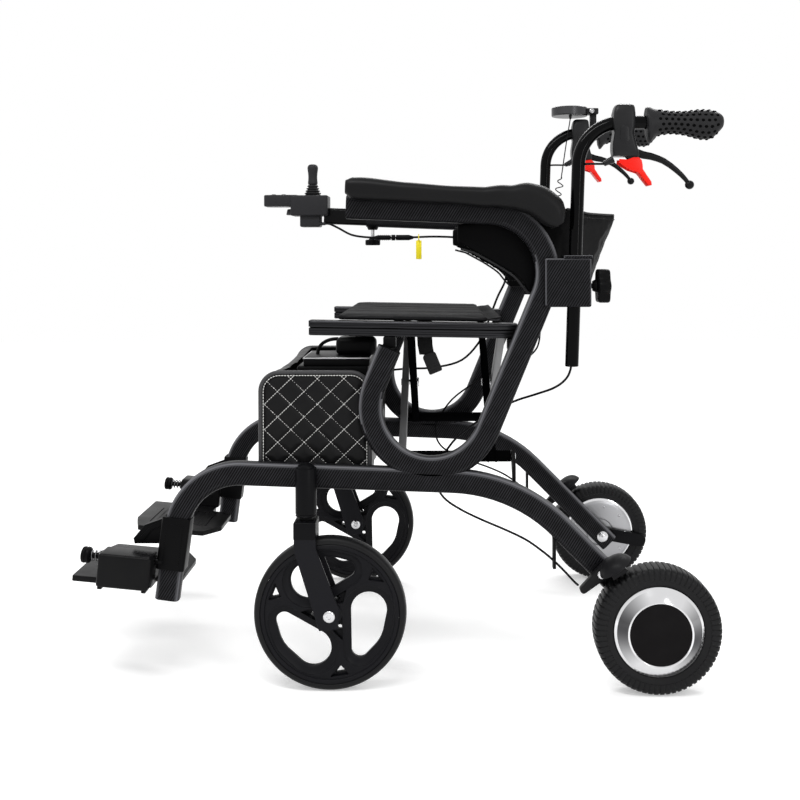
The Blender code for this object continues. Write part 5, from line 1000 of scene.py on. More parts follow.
def around_wheel(count, radius, y, centre, facing_out=True):
    """Spots round a wheel, facing out along the spokes or along the axle, with X along the axle."""
    spots = []
    for angle in angles(count):
        spoke = (cos(angle), 0.0, sin(angle))
        place = (centre[0] + spoke[0] * radius, y, centre[1] + spoke[2] * radius)
        spots.append((place, spoke, (0.0, 1.0, 0.0)) if facing_out else (place, (0.0, 1.0, 0.0), spoke))
    return spots


wheel_at = (REAR_AXLE[0], -REAR_WHEEL_Y, REAR_AXLE[1])
rear_profile = both_ways(mm((69.3, 18.8), (70, 20), (75, 21.6), (82, 22.8), (87, 23), (91.5, 21.8),
    (94.5, 18), (95.8, 12), (96.2, 6)))
rear_tyre = turned(rear_profile, wheel_at, TO_LEFT, 160, True)
rib_half = mm((22.4, -18.5), (23.5, -18), (23.8, -11), (23.1, -6), (20.5, -2.6), (16.5, -1), (11, -0.3))
rib_outline = [*rib_half, *[(-across, up) for across, up in reversed(rib_half)], (-0.0214, -0.0085),
    (-0.0185, -0.0045), (0, -0.0022), (0.0185, -0.0045), (0.0214, -0.0085)]
rib = plate(rib_outline, -0.003, 0.003, edge=0.0005)
ribs = repeated(rib, around_wheel(TREAD_RIBS, REAR_WHEEL_R, -REAR_WHEEL_Y, REAR_AXLE), rubber)
pair(together(rear_tyre, ribs), "ribbed_tyre", rubber, "rear_wheel", "rear_tyre")

chrome = finish("polished_shell", "bright_metal", (0.5, 0.5, 0.51), (0.1, 1.0), (0.13, 0.08, 0.000004, 400.0,
    0.0))
chrome_tree, chrome_shader = chrome.node_tree, chrome.node_tree.nodes["Principled BSDF"]
# The sloping ring's colour carries a painted reflection: bright and dark bands that follow the angle round
# the axle and turn with the wheel.
turned_at = node(chrome_tree, "SeparateXYZ", Vector=node(chrome_tree, "TexCoord").outputs["Object"])
spoke_x = maths(chrome_tree, "SUBTRACT", turned_at.outputs[0], REAR_AXLE[0] + MIDDLE_X)
spoke_z = maths(chrome_tree, "SUBTRACT", turned_at.outputs[2], REAR_AXLE[1])
spin = maths(chrome_tree, "ARCTAN2", spoke_z, spoke_x)
two_way = maths(chrome_tree, "COSINE", maths(chrome_tree, "ADD", maths(chrome_tree, "MULTIPLY", spin, 2.0),
    0.35))
painted_reflection = node(chrome_tree, "MapRange", Value=two_way, From_Min=-0.6, From_Max=1.0, To_Min=0.0, To_Max=1.0)
spoke_out = maths(chrome_tree, "POWER", maths(chrome_tree, "ADD", maths(chrome_tree, "MULTIPLY", spoke_x,
    spoke_x), maths(chrome_tree, "MULTIPLY", spoke_z, spoke_z)), 0.5)
inside = maths(chrome_tree, "LESS_THAN", spoke_out, 0.0645)
outside = maths(chrome_tree, "GREATER_THAN", spoke_out, 0.0497)
ring_painted_reflection = maths(chrome_tree, "MULTIPLY", maths(chrome_tree, "MULTIPLY", inside, outside), painted_reflection.outputs[0])
shell_colour_with_painted_reflection = mixed_colour(chrome_tree, ring_painted_reflection, (0.7, 0.7, 0.71), (0.06, 0.06, 0.063))
chrome_tree.links.new(shell_colour_with_painted_reflection, chrome_shader.inputs["Base Color"])
shell_profile = mm((47, 33.8), (48.5, 34.3), (50, 33.6), (60, 27), (66, 22.2), (68.2, 20.8), (69, 19.5),
    (69, -15), (68.5, -16), (64, -17.5), (47, -17.5))
pair(turned(shell_profile, wheel_at, TO_LEFT, 128, True), "motor_shell", chrome, "rear_wheel", "hub_motor",
    sharp=24)
disc = finish("motor_disc", "black_plastic", (0.0068, 0.0062, 0.0066), (0.5, 0.0, 0.03),
    (0.5, 0.08, 0.00002, 1200.0, 0.01))
pair(turned(mm((0, 35), (44, 35), (46.2, 34.6), (47.2, 33.2), (47.2, 30), (0, 30)), wheel_at, TO_LEFT, 128),
    "motor_disc", disc, "rear_wheel")
cover = finish("motor_cover", "bright_metal", (0.34, 0.34, 0.35), (0.34, 1.0), (0.36, 0.1, 0.00002, 1000.0,
    0.0))
cover_profile = mm((6.4, -19.5), (15, -19.5), (16, -18.2), (26, -18), (27.5, -19), (58.5, -19.5),
    (60.5, -18.8), (64, -17.6), (64, -14), (6.4, -14))
pair(turned(cover_profile, wheel_at, TO_LEFT, 96, True), "motor_cover", cover, "rear_wheel")
screw = turned(mm((0, 1.1), (1, 0.6), (1.6, 1.4), (2.2, 1), (2.4, 0), (0, 0)), (0, 0, 0), UP, 12)
cover_screws = repeated(screw, around_wheel(9, 0.052, -REAR_WHEEL_Y + 0.0193, REAR_AXLE, False), steel)
pair(cover_screws, "cover_screws", steel, "rear_wheel")


# Rear brakes
# A plate on each base tube holds the motor's fixed shaft and the pivot of a brake arm. The
# arm carries a moulded cap over the tyre, a shoe under it and the end of the brake cable.

PLATE_OUT = -TUBE_OUTER_Y - 0.0003
PLATE_IN = PLATE_OUT - 0.004
BRAKE_PIVOT = (0.306, 0.1767)
BRAKE_ARM_Y = 0.2685
BRAKE_ARM_DEEP = 0.014
BRAKE_CAP_AT = radians(124)
BRAKE_CAP_BASE = 0.112


def capsule(first, second, radius, second_radius=None, steps=12):
    first, second = Vector(first), Vector(second)
    heading = atan2(second.y - first.y, second.x - first.x)
    points = []
    for centre, reach, start in ((first, radius, heading + pi / 2), (second, second_radius or radius,
            heading - pi / 2)):
        for step in range(steps + 1):
            angle = start + pi * step / steps
            points.append((centre.x + reach * cos(angle), centre.y + reach * sin(angle)))
    return points


x1, z1 = REAR_AXLE
leg = plate(capsule(REAR_AXLE, BRAKE_PIVOT, 0.0165, 0.012), PLATE_IN, PLATE_OUT)
torque = plate(capsule(REAR_AXLE, (0.4687, 0.0825), 0.0125), PLATE_IN + 0.0001, PLATE_OUT - 0.0001)
pair(together(leg, torque), "torque_plate", coated, "frame", "axle_bracket")
washer = cross_rod(REAR_AXLE, PLATE_IN - 0.0015, PLATE_OUT, 0.0105, 6)
shaft = cross_rod(REAR_AXLE, -0.289, -TUBE_INNER_Y + 0.003, 0.006, 32)
dome = turned(mm((0, 6), (3.5, 5.7), (7, 4.5), (9.5, 2.6), (11, 0.8), (11, 0), (0, 0)),
    (x1, -TUBE_INNER_Y + 0.0003, z1), TO_RIGHT, 40)
pin = cross_rod(BRAKE_PIVOT, PLATE_OUT, -0.278, 0.0039, 24)
pin_head = turned(mm((6.8, 0), (6.8, 1), (5.6, 2.6), (3, 3), (2.4, 1.4), (0, 1.4), (0, 0)),
    (BRAKE_PIVOT[0], -0.2758, BRAKE_PIVOT[1]), TO_LEFT, 32)
pair(together(washer, shaft, dome, pin, pin_head), "axle_nuts", steel, "frame")

spoke = Vector((cos(BRAKE_CAP_AT), sin(BRAKE_CAP_AT)))
tangent = Vector((spoke.y, -spoke.x))
base = Vector(REAR_AXLE) + spoke * BRAKE_CAP_BASE
inner = -BRAKE_ARM_Y + BRAKE_ARM_DEEP / 2
outer = -BRAKE_ARM_Y - BRAKE_ARM_DEEP / 2
cap = turned(mm((0, 16), (7, 15.5), (13.7, 13.8), (19.5, 11), (24, 6.8), (26.8, 2.2), (27.5, -0.6),
    (26.2, -1.2), (0, -1.2)), (base.x, -REAR_WHEEL_Y, base.y), (spoke.x, 0, spoke.y), 56)
corners = []
for far, out in ((-0.013, 0.101), (0.013, 0.101), (0.011, 0.1135), (-0.011, 0.1135)):
    at = Vector(REAR_AXLE) + spoke * out + tangent * far
    corners.append((at.x, at.y))
shoe = plate(corners, -REAR_WHEEL_Y - 0.015, -REAR_WHEEL_Y + 0.015)
top = base + spoke * 0.006 - tangent * 0.004
link = plate(capsule(BRAKE_PIVOT, (top.x, top.y), 0.0095, 0.0075), outer, inner, edge=0.0012)
tail = plate(capsule(BRAKE_PIVOT, (0.2785, 0.1525), 0.0095, 0.0055), outer + 0.0004, inner - 0.0004,
    edge=0.0012)
tyre_room = cross_rod(REAR_AXLE, -0.3305, -0.2545, 0.1005, 96)
head_room = cross_rod(BRAKE_PIVOT, outer + 0.0005, outer - 0.05, 0.0078, 32)
cap_plastic = finish("brake_cap_plastic", "black_plastic", (0.007, 0.007, 0.008), (0.4, 0.0, 0.08),
    (0.4, 0.14, 0.00004, 900.0, 0.03))
pair(together(cut(cap, tyre_room), shoe, cut(link, head_room), tail), "brake_cap", cap_plastic, "brake_arm",
    "brake_arm")


# Clamp housings and handle posts
# A moulded block on each upper tube's bow clamps the handle's bent steel tube with a star knob.
# The tube is gloss black and plugged below; the right handle is set higher than the left.

POST_Y = 0.245
POST_R = 0.0105
POST_LOW_Z = 0.495
POST_BEND_Z = 0.8765
STAR_Z = 0.6205


def post_x(z):
    return POST_REF[0] + (z - POST_REF[1]) * POST_LEAN


def post_line(low_z=POST_LOW_Z, end_x=0.485):
    corner = (post_x(POST_BEND_Z), POST_BEND_Z, 0.068)
    return [(x, -POST_Y, z) for x, z in bend_path((post_x(low_z), low_z), (corner,), (end_x, POST_BEND_Z))]


housing = box((0.222, -0.2625, 0.588), (0.294, -0.2275, 0.664), 0.0032, 4)
lip = box((post_x(0.664) - 0.02, -0.2635, 0.6632), (0.296, -0.2265, 0.6685), 0.0014, 3)
bow_room = strip_tube(arm_path(), TUBE_TALL + 0.0004, TUBE_DEEP + 0.0004, TUBE_CORNER, -FRAME_Y)
post_room = tube_line(post_line(), POST_R + 0.0004, 40, 1, False)
split = box((0.232, -0.2635, 0.6255), (0.2945, -0.2622, 0.6268), 0)
housing = cut(together(housing, lip), bow_room, post_room, split)
pair(side_mapped(housing), "clamp_block", film, "frame", "clamp_housing")

gloss = finish("gloss_black_tube", "black_paint", (0.0008, 0.0008, 0.001), (0.14, 0.0, 0.05, 0.06, 0.05),
    (0.16, 0.08, 0.000006, 600.0, 0.001))
pair(tube_line(post_line(), POST_R, 32, 1, False), "handle_tube", gloss, "post", "handle_post")
pair(rise(post_x(POST_LOW_Z), -POST_Y, POST_LOW_Z - 0.0006, POST_LOW_Z + 0.004, POST_R - 0.0004), "tube_plug",
    moulded, "post")

star = []
for angle in angles(96):
    reach = 0.0265 + 0.0025 * cos(6 * angle)
    star.append((-POST_Y + reach * cos(angle), STAR_Z + reach * sin(angle)))
star_head = plate(star, 0.3045, 0.3235, across="X", edge=0.0034)
scoop = turned(mm((0, 4), (12, 4), (15, -2.2), (0, -2.2)), (0.3235, -POST_Y, STAR_Z), TO_REAR, 48)
star_head = cut(star_head, scoop)
hub = turned(mm((8, -19), (10.5, -20), (8, -25.5), (4, -25.5), (4, -30), (0, -30), (0, -19)),
    (0.3235, -POST_Y, STAR_Z), TO_REAR, 40)
button = turned(mm((0, 0), (5, -0.4), (6.2, -2.2), (0, -2.2)), (0.3235, -POST_Y, STAR_Z), TO_REAR, 40)
pair(together(star_head, hub, button), "star_handle", moulded, "star_knob", "star_knob")
pair(rod((0.2822, -POST_Y, STAR_Z), (0.3, -POST_Y, STAR_Z), 0.0038, 20), "star_screw", steel, "star_knob")


# Grips
# Soft rubber sleeves pushed over the tubes' ends: a flared collar in front, a hollow for the
# palm with rows of oval pads, and a rounded tail.

GRIP_SECTIONS = mm((382, 864, 899.5, 16.5), (383.5, 850, 900.3, 18.8), (386, 844, 900.5, 19.5),
    (389, 844.2, 900, 19.4), (392, 848, 898.4, 18.8), (396, 853, 897, 17.8), (402, 856, 896, 17),
    (412, 858.2, 894.2, 16), (422, 859, 893.2, 15.5), (433, 858.2, 892.8, 15.9), (444, 856.5, 893, 16.5),
    (454, 853.5, 894.4, 17.6), (464, 850.5, 895.5, 18.5), (474, 849.4, 895.6, 19), (482, 850, 895, 19),
    (489, 854, 893.6, 17.8), (495, 860, 891.5, 16), (499.5, 864.5, 888.8, 13), (502.2, 868, 886, 9.2),
    (503, 870, 884, 7))


def on_grip(x, angle, out=0.0):
    low, high, half = between_rows(GRIP_SECTIONS, x)
    return Vector((x, -POST_Y + (half + out) * cos(angle), (low + high) / 2 + ((high - low) / 2 + out)
        * sin(angle)))


grip_rings = [[tuple(on_grip(x, angle)) for angle in angles(40)] for x, *sizes in GRIP_SECTIONS]
grip = cut(skin(grip_rings), tube_line(post_line(), POST_R + 0.0002, 32, 1, False))
soft_rubber = finish("soft_rubber", "black_rubber", (0.015, 0.015, 0.016), (0.5, 0.0, 0.12),
    (0.5, 0.14, 0.00006, 1800.0, 0.02))
pad = turned(mm((0, 1), (1, 0.9), (1.8, 0.4), (2.2, -0.4), (0, -0.4)), (0, 0, 0), UP, 14)
pad.data.transform(Matrix.Diagonal((1.35, 1.15, 1.6, 1.0)))
pads = []
for row in range(14):
    angle = 2 * pi * (row + 0.5) / 14
    for column in range(10):
        x = 0.402 + 0.0094 * column + 0.0047 * (row % 2)
        here = on_grip(x, angle)
        ahead = (on_grip(x + 0.002, angle) - here).normalized()
        round_way = (on_grip(x, angle + 0.02) - here).normalized()
        pads.append((tuple(here), tuple(ahead.cross(round_way) * -1), tuple(ahead)))
pair(grip, "rubber_grip", soft_rubber, "post", "grip")
hole_rubber = finish("grip_pad_rubber", "black_rubber", (0.0006, 0.0006, 0.0007), (0.6, 0.0, 0.03),
    (0.6, 0.1, 0.00004, 1800.0, 0.0))
pair(repeated(pad, pads, hole_rubber), "grip_pads", hole_rubber, "post")


# Brake bodies and levers
# A moulded body clamps on each handle tube. It has a screwed cap on top, a waisted rubber
# middle with an oval insert, and cheeks that hold the brake lever and the red parking lever.

LEVER_PIVOT = (0.358, 0.8345)
PARK_PIVOT = (0.3655, 0.8155)
BODY_LEVELS = mm((823, 330, 370, 14), (824.5, 329, 370.5, 15.2), (832, 328, 368.5, 16.6), (841, 328, 366, 17),
    (850, 329.4, 363.6, 16.4), (859, 331, 362, 16), (864, 330.6, 362.6, 16.2), (870, 329.5, 363.8, 16.8),
    (876.5, 329, 364, 17), (890, 330, 364, 16.8), (899, 332.2, 363.2, 15.6), (902.5, 334, 362, 13.6),
    (904, 337, 359, 10.5))
levels = []
for z, front, rear, half in BODY_LEVELS:
    section = rounded_rectangle((rear - front) / 2, half, 0.006, 6)
    levels.append([((front + rear) / 2 + a, -POST_Y + b, z) for a, b in section])


def lever_slot():
    return box((LEVER_PIVOT[0] - 0.012, -POST_Y - 0.0051, 0.7855), (0.4, -POST_Y + 0.0051, 0.846), 0)


cheeks = plate(capsule((0.354, 0.8345), PARK_PIVOT, 0.01, 0.0072), -POST_Y - 0.0095, -POST_Y + 0.0095,
    edge=0.001)
cheeks = cut(cheeks, lever_slot())
body_shell = cut(skin(levels), tube_line(post_line(), POST_R + 0.0002, 40, 1, False), lever_slot())
for side in (-1, 1):
    turn_room = cross_rod(PARK_PIVOT, -POST_Y + side * 0.0098, -POST_Y + side * 0.0125, 0.0276, 64)
    body_shell = cut(body_shell, turn_room)
inserts = [plate(capsule((0.3465, 0.85), (0.3465, 0.864), 0.0075, 0.0065), -POST_Y + low,
    -POST_Y + low + 0.0022, edge=0.0007) for low in (-0.0172, 0.015)]
barrel = rod((0.316, -POST_Y, 0.8117), (0.331, -POST_Y, 0.819), 0.0042, 24, 0.0006, 0.006)
body_plastic = finish("brake_body_plastic", "black_plastic", (0.01, 0.01, 0.0108), (0.34, 0.0, 0.16),
    (0.34, 0.16, 0.00006, 900.0, 0.01))
pair(together(body_shell, cheeks, *inserts, barrel), "brake_body_shell", body_plastic, "post", "brake_body")
pins = [cross_rod(at, -POST_Y - 0.0098, -POST_Y + 0.0098, 0.0029, 20) for at in (LEVER_PIVOT, PARK_PIVOT)]
cap_screws = [rise(x, -POST_Y - 0.006, 0.903, 0.905, 0.0026, 0.0022, 16, 0.0003) for x in (0.343, 0.355)]
pair(together(*pins, *cap_screws), "brake_pins", steel, "post")

blade_line = mm((358, 834.5, 6.2), (368, 829, 6.3), (377.7, 825.5, 6.2), (390, 823.2, 5.7), (400, 820, 5.3),
    (409.2, 816.2, 5), (420, 809.2, 4.6), (430, 801, 4.2), (437.6, 794, 3.8), (444, 787, 3.4),
    (450.3, 778.5, 2.8))
blade_rings = []
for at, (x, z, half) in enumerate(blade_line):
    before, after = blade_line[max(at - 1, 0)], blade_line[min(at + 1, len(blade_line) - 1)]
    ahead = Vector((after[0] - before[0], after[1] - before[1])).normalized()
    deep = min(0.0036, half + 0.0006)
    ring = []
    for angle in angles(20):
        flat = copysign(abs(cos(angle)) ** 0.6, cos(angle))
        ring.append((x - ahead.y * half * sin(angle), -POST_Y + deep * flat, z + ahead.x * half * sin(angle)))
    blade_rings.append(ring)
boss = turned(both_ways(mm((3.2, 4), (7, 4), (7.8, 3.2))), (LEVER_PIVOT[0], -POST_Y, LEVER_PIVOT[1]),
    TO_RIGHT, 40, True)
arc = [pi * step / 12 for step in range(13)]
ball = turned([(0.0072 * sin(a), 0.0072 * cos(a)) for a in arc], (0.4503, -POST_Y, 0.7785), TO_RIGHT, 28)
lever_paint = finish("lever_paint", "black_paint", (0.0055, 0.0055, 0.006), (0.3, 0.0, 0.08, 0.06, 0.1),
    (0.3, 0.12, 0.00002))
pair(together(boss, skin(blade_rings), ball), "lever_blade", lever_paint, "brake_lever", "brake_lever")

red = finish("red_plastic", "red_plastic", (0.8, 0.01, 0.003), (0.34, 0.0, 0.2),
    (0.34, 0.12, 0.00002, 900.0, 0.0))
PARK_CHEEK = mm((-27, 3), (-13.9, 2), (-5, 5.6), (3, 5.6), (8, 1), (9.4, -7), (9.6, -13), (14.3, -19.9),
    (9, -24), (2, -18.3), (-11, -14), (-21, -8), (-27.5, -2.5))
PARK_TAIL = mm((9.6, -12.5), (14.3, -19.9), (23, -32.5), (23.6, -38), (18.5, -38.8), (11, -29.5), (2, -17.5))
park_cheek = [(PARK_PIVOT[0] + dx, PARK_PIVOT[1] + dz) for dx, dz in PARK_CHEEK]
park_tail = [(PARK_PIVOT[0] + dx, PARK_PIVOT[1] + dz) for dx, dz in PARK_TAIL]
park = together(plate(park_cheek, -POST_Y - 0.0122, -POST_Y - 0.0101, edge=0.0006),
    plate(park_cheek, -POST_Y + 0.0101, -POST_Y + 0.0122, edge=0.0006), plate(park_tail, -POST_Y - 0.0118,
    -POST_Y + 0.0118, edge=0.0012))
park_head = turned(both_ways(mm((3.2, 4), (5.6, 4), (6.2, 3.4))), (PARK_PIVOT[0], -POST_Y, PARK_PIVOT[1]),
    TO_RIGHT, 36, True)
pair(together(park, park_head), "parking_lever", red, "park_lever", "park_lever")


# Round device
# A brushed disc on a block that a band clamps to the right handle's bend, with a thin curly
# lead that goes down beside the post.

LIFT_X = RIGHT_HANDLE_LIFT * POST_LEAN
PUCK = (0.3255 + LIFT_X, POST_Y, 0.9105 + RIGHT_HANDLE_LIFT)
puck_profile = mm((0, 17.2), (24, 17.2), (24.8, 16.5), (25.6, 17.2), (33.5, 17.6), (35.2, 18), (36.5, 16.8),
    (36.5, 2.2), (35.2, 0.4), (12, 0), (0, 0))
brushed_colour = (0.075, 0.075, 0.078)
brushed, brushed_tree, brushed_shader = paint("brushed_disc", "black_plastic", brushed_colour, 0.32, 1.0)
brushed_uv = node(brushed_tree, "UVMap", {"uv_map": "UVMap"}).outputs[0]
lines_at = node(brushed_tree, "Mapping", Vector=brushed_uv, Scale=(6.0, 2600.0, 1.0))
lines = node(brushed_tree, "TexNoise", Vector=lines_at.outputs[0], Scale=1.0, Detail=3.0)
tone = mixed_colour(brushed_tree, lines.outputs["Fac"], (0.03, 0.03, 0.032), (0.085, 0.085, 0.088))
brushed_tree.links.new(tone, brushed_shader.inputs["Base Color"])
streak = node(brushed_tree, "MapRange", Value=lines.outputs["Fac"], To_Min=0.24, To_Max=0.46)
brushed_tree.links.new(streak.outputs[0], brushed_shader.inputs["Roughness"])
bumped(brushed_tree, brushed_shader.inputs["Normal"], lines.outputs["Fac"], 0.4, 0.00002)
piece(turned(puck_profile, PUCK, UP, 120), "device_disc", brushed, "post_right", "round_device", sharp=24)
device_block = box((0.3535 + LIFT_X, POST_Y - 0.014, 0.9165 + RIGHT_HANDLE_LIFT - 0.002),
    (0.383 + LIFT_X, POST_Y + 0.014, 0.9285 + RIGHT_HANDLE_LIFT - 0.002), 0.002, 3)
band_at = (0.3735 + LIFT_X, POST_Y, POST_BEND_Z + RIGHT_HANDLE_LIFT)
band = turned(both_ways(mm((10.7, 6.8), (14.2, 6.8), (15, 6))), band_at, TO_REAR, 56, True)
ears = box((band_at[0] - 0.0062, POST_Y - 0.0075, band_at[2] + 0.0125), (band_at[0] + 0.0062, POST_Y + 0.0075,
    0.917 + RIGHT_HANDLE_LIFT), 0.0012)
gland = rise(0.326, 0.2235, 0.903 + RIGHT_HANDLE_LIFT, 0.911 + RIGHT_HANDLE_LIFT, 0.0022, 0.0032, 24)
grey_plastic = finish("grey_plastic", "black_plastic", (0.01, 0.01, 0.011), (0.42, 0.0, 0.1),
    (0.42, 0.12, 0.00003, 900.0, 0.01))
piece(together(device_block, band, ears, gland), "device_block", grey_plastic, "post_right")
device_bolt = turned(mm((0, 3), (2.4, 3), (2.6, 1.4), (3.4, 3.4), (4.6, 2.8), (4.8, 0), (0, 0)),
    (0.369 + LIFT_X, POST_Y - 0.014, 0.9205 + RIGHT_HANDLE_LIFT), TO_LEFT, 32)
piece(device_bolt, "device_bolt", steel, "post_right")

CURLY_START = (0.326, 0.2235, 0.9442)
CURLY_TOP = (0.307, 0.219, 0.826)
CURLY_LOW = (0.283, 0.224, 0.706)
CURLY_END = (0.286, 0.231, 0.6752)
CURLY_TURNS = 7
CURLY_R = 0.0066


def curly_line():
    """A short straight lead, the wound length, and the straight end at the clamp block."""
    top, low = Vector(CURLY_TOP), Vector(CURLY_LOW)
    axis = (low - top).normalized()
    side = axis.cross(Vector((0, 1, 0))).normalized()
    other = axis.cross(side)
    points = [Vector(CURLY_START), (Vector(CURLY_START) + top) / 2 + Vector((0.001, 0, 0.01))]
    count = CURLY_TURNS * 16
    for step in range(count + 1):
        angle = 2 * pi * CURLY_TURNS * step / count
        grow = min(1.0, step / 10, (count - step) / 10)
        points.append(top + (low - top) * step / count + (side * cos(angle) + other * sin(angle)) * CURLY_R
            * grow)
    return [*points, (low + Vector(CURLY_END)) / 2 + Vector((-0.0008, 0, 0)), Vector(CURLY_END)]


curly = tube_line(curly_line(), 0.0011, 8, 2)
piece(curly, "curly_lead", sheath, ("right_frame", "post_right", (0.286, 0.231, 0.685),
    (0.286, 0.231, 0.826)), "curly_cord")


# Foot rests
# A moulded sleeve on each base tube's foot carries a hinge pin. A die-cast housing with a
# ribbed plate folds up about the pin, and a sprung push knob in front unlocks it.

FOOT_PITCH = radians(5.5)
FOOT_AXIS = (-0.43, 0.1955)
FOOT_AXIS_Y = 0.25
SPRING_SPAN = (-0.4898, -0.4712)
SPRING_R = 0.0075


def foot_rod(front, rear, *shape):
    """A round bar along the foot rest's own axis."""
    return rod((front, -FOOT_AXIS_Y, FOOT_AXIS[1]), (rear, -FOOT_AXIS_Y, FOOT_AXIS[1]), *shape)


def pitched(thing, angle=FOOT_PITCH, pivot=FOOT_AXIS):
    """The thing turned about a line across the object, which lifts its front end."""
    there = Matrix.Translation((pivot[0], 0, pivot[1]))
    thing.data.transform(there @ Matrix.Rotation(angle, 4, "Y") @ there.inverted())
    return thing


foot = Vector(BASE_FOOT)
upward = (Vector(BASE_ARCH[:2]) - foot).normalized()
sleeve_top = foot + upward * (0.259 - foot.y) / upward.y
sleeve_line = [tuple(sleeve_top - upward * 0.082), tuple(sleeve_top)]
sleeve = rounded(strip_tube(sleeve_line, TUBE_TALL + 0.007, TUBE_DEEP + 0.007, 0.0045, -FRAME_Y, 6), 0.001)
sleeve = cut(sleeve, strip_tube([tuple(foot - upward * 0.01), tuple(sleeve_top + upward * 0.01)],
    TUBE_TALL + 0.0003, TUBE_DEEP + 0.0003, TUBE_CORNER, -FRAME_Y))
panel_line = [tuple(sleeve_top - upward * 0.074), tuple(sleeve_top - upward * 0.01)]
panel = rounded(strip_tube(panel_line, 0.026, 0.001, 0.0004, -FRAME_Y - 0.0166, 3), 0.0003)
gusset = plate(mm((-372, 257), (-411, 243), (-429, 222), (-427, 213.5), (-376, 213.5)), -0.231, -0.2225,
    edge=0.0012)
web_rib = plate(mm((-376, 252), (-400, 243), (-418, 224), (-418, 217.5), (-412, 217.5), (-398, 236),
    (-376, 244)), -0.2325, -0.221, edge=0.0008)
pair(together(sleeve, panel, gusset, web_rib), "foot_sleeve", moulded, "frame", "foot_bracket")
pair(pitched(foot_rod(-0.45, -0.378, 0.005, 32)), "foot_pin", enamel, "frame")

tread_top = FOOT_AXIS[1] - 0.0365
tread_outline = eased(mm((-519, -244), (-519, -115), (-502, -60), (-380, -60), (-354, -105), (-354, -196),
    (-366, -208), (-393, -208), (-393, -244)), 0.004)
tread = plate(tread_outline, tread_top - 0.009, tread_top, across="Z", edge=0.0012)
groove_step = (0.165 - 0.06) / 3
for at in range(4):
    x = -0.489 + groove_step * at
    tread = cut(tread, box((x - 0.0012, -0.196, tread_top - 0.0015), (x + 0.0012, -0.095, tread_top + 0.01),
        0))
strips = []
for at in range(3):
    x = -0.489 + groove_step * (at + 0.5)
    strips += [box((x + shift - 0.001, -0.19, tread_top - 0.0002), (x + shift + 0.001, -0.1,
        tread_top + 0.0004), 0.0003, 1) for shift in (-0.009, 0.0, 0.009)]
under_ribs = [box((-0.505, y - 0.0012, tread_top - 0.0125), (-0.372, y + 0.0012, tread_top - 0.0085), 0.0005)
    for y in (-0.095, -0.125, -0.155, -0.185)]
housing = box((-0.47, -0.283, 0.157), (-0.3885, -0.238, 0.209), 0.0048, 5)
housing = cut(housing, foot_rod(-0.6, -0.3, 0.0054, 32))
collar = turned(mm((5.6, 0), (8.2, 0), (8.6, 0.6), (8.6, 1.2), (5.6, 1.2)), (-0.4712, -FOOT_AXIS_Y,
    FOOT_AXIS[1]), TO_REAR, 36, True)
lugs = [box((x - 0.0035, -0.28, 0.1535), (x + 0.0035, -0.262, 0.1575), 0.001) for x in (-0.464, -0.396)]
cast = finish("cast_housing", "black_plastic", (0.006, 0.006, 0.0064), (0.34, 0.0, 0.07),
    (0.34, 0.14, 0.00005, 1100.0, 0.008))
foot_plate = pitched(together(tread, *strips, *under_ribs, housing, collar, *lugs))
pair(foot_plate, "foot_tread", cast, "footrest", "footplate")

knob_profile = mm((0, 12), (5, 12), (8.2, 11.2), (9.6, 9.5), (9.8, 7), (9, 5.8), (9.8, 4.6), (9.8, 3),
    (9.2, 1.2), (7.5, 0.2), (0, 0))
knob = turned([(reach * 1.28, along * 1.25) for reach, along in knob_profile], (-0.504, -FOOT_AXIS_Y,
    FOOT_AXIS[1]), TO_REAR, 40)
stem = foot_rod(-0.492, -0.458, 0.0045, 32)
pair(pitched(knob), "push_knob", moulded, "plunger", "plunger")
pair(pitched(stem), "push_stem", enamel, "plunger")
wire = []
for step in range(3 * 28 + 1):
    angle = 2 * pi * step / 28
    x = SPRING_SPAN[0] + (SPRING_SPAN[1] - SPRING_SPAN[0]) * step / 84
    wire.append((x, -FOOT_AXIS_Y + SPRING_R * cos(angle), FOOT_AXIS[1] + SPRING_R * sin(angle)))
spring = pitched(tube_line(wire, 0.001, 10, 1, False))
spring_steel = finish("spring_steel", "bright_metal", (0.16, 0.16, 0.165), (0.3, 1.0),
    (0.3, 0.14, 0.00001, 700.0, 0.0))
pair(spring, "plunger_coil", spring_steel, "footrest", "plunger_spring")
for side, sign in (("left", -1), ("right", 1)):
    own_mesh(bpy.data.objects[f"plunger_coil_{side}"])


# Joystick controller
# A moulded box at the front of the right arm rest, on a bar that slides in the upper tube: a
# rounded nose, a deeper body, a rubber bellows and a waisted stick, and a clamp knob below.

CONTROL_Y = 0.242
STICK_X = -0.198
STICK_PIVOT_Z = 0.788
nose = eased(mm((-295, 222), (-284, 216.5), (-268, 215), (-250, 214.2), (-226, 214), (-226, 270),
    (-250, 269.8), (-268, 269), (-284, 267.5), (-295, 262)), 0.003)
control_shell = [plate(nose, 0.768, 0.7915, across="Z", edge=0.0026), box((-0.24, 0.2122, 0.749),
    (-0.165, 0.2718, 0.7905), 0.003, 4), rounded(turned([(0, 0.012), (0.02, 0.012), (0.0225, 0), (0, 0)],
    (-0.23, CONTROL_Y, 0.7512), UP, 64), 0.002),]
shell = together(*control_shell)
well = rise(STICK_X, CONTROL_Y, STICK_PIVOT_Z - 0.01, STICK_PIVOT_Z + 0.02, 0.0105)
bar_rooms = [strip_tube([(-0.196, arm_z(-0.196)), (-0.146, arm_z(-0.146))], 0.0336, 0.0222, 0.006, FRAME_Y)
    for part in ("shell", "lower")]
shell = cut(shell, well, bar_rooms[0])
lower = cut(box((-0.222, 0.22, 0.7265), (-0.181, 0.264, 0.752), 0.0034, 4), bar_rooms[1])
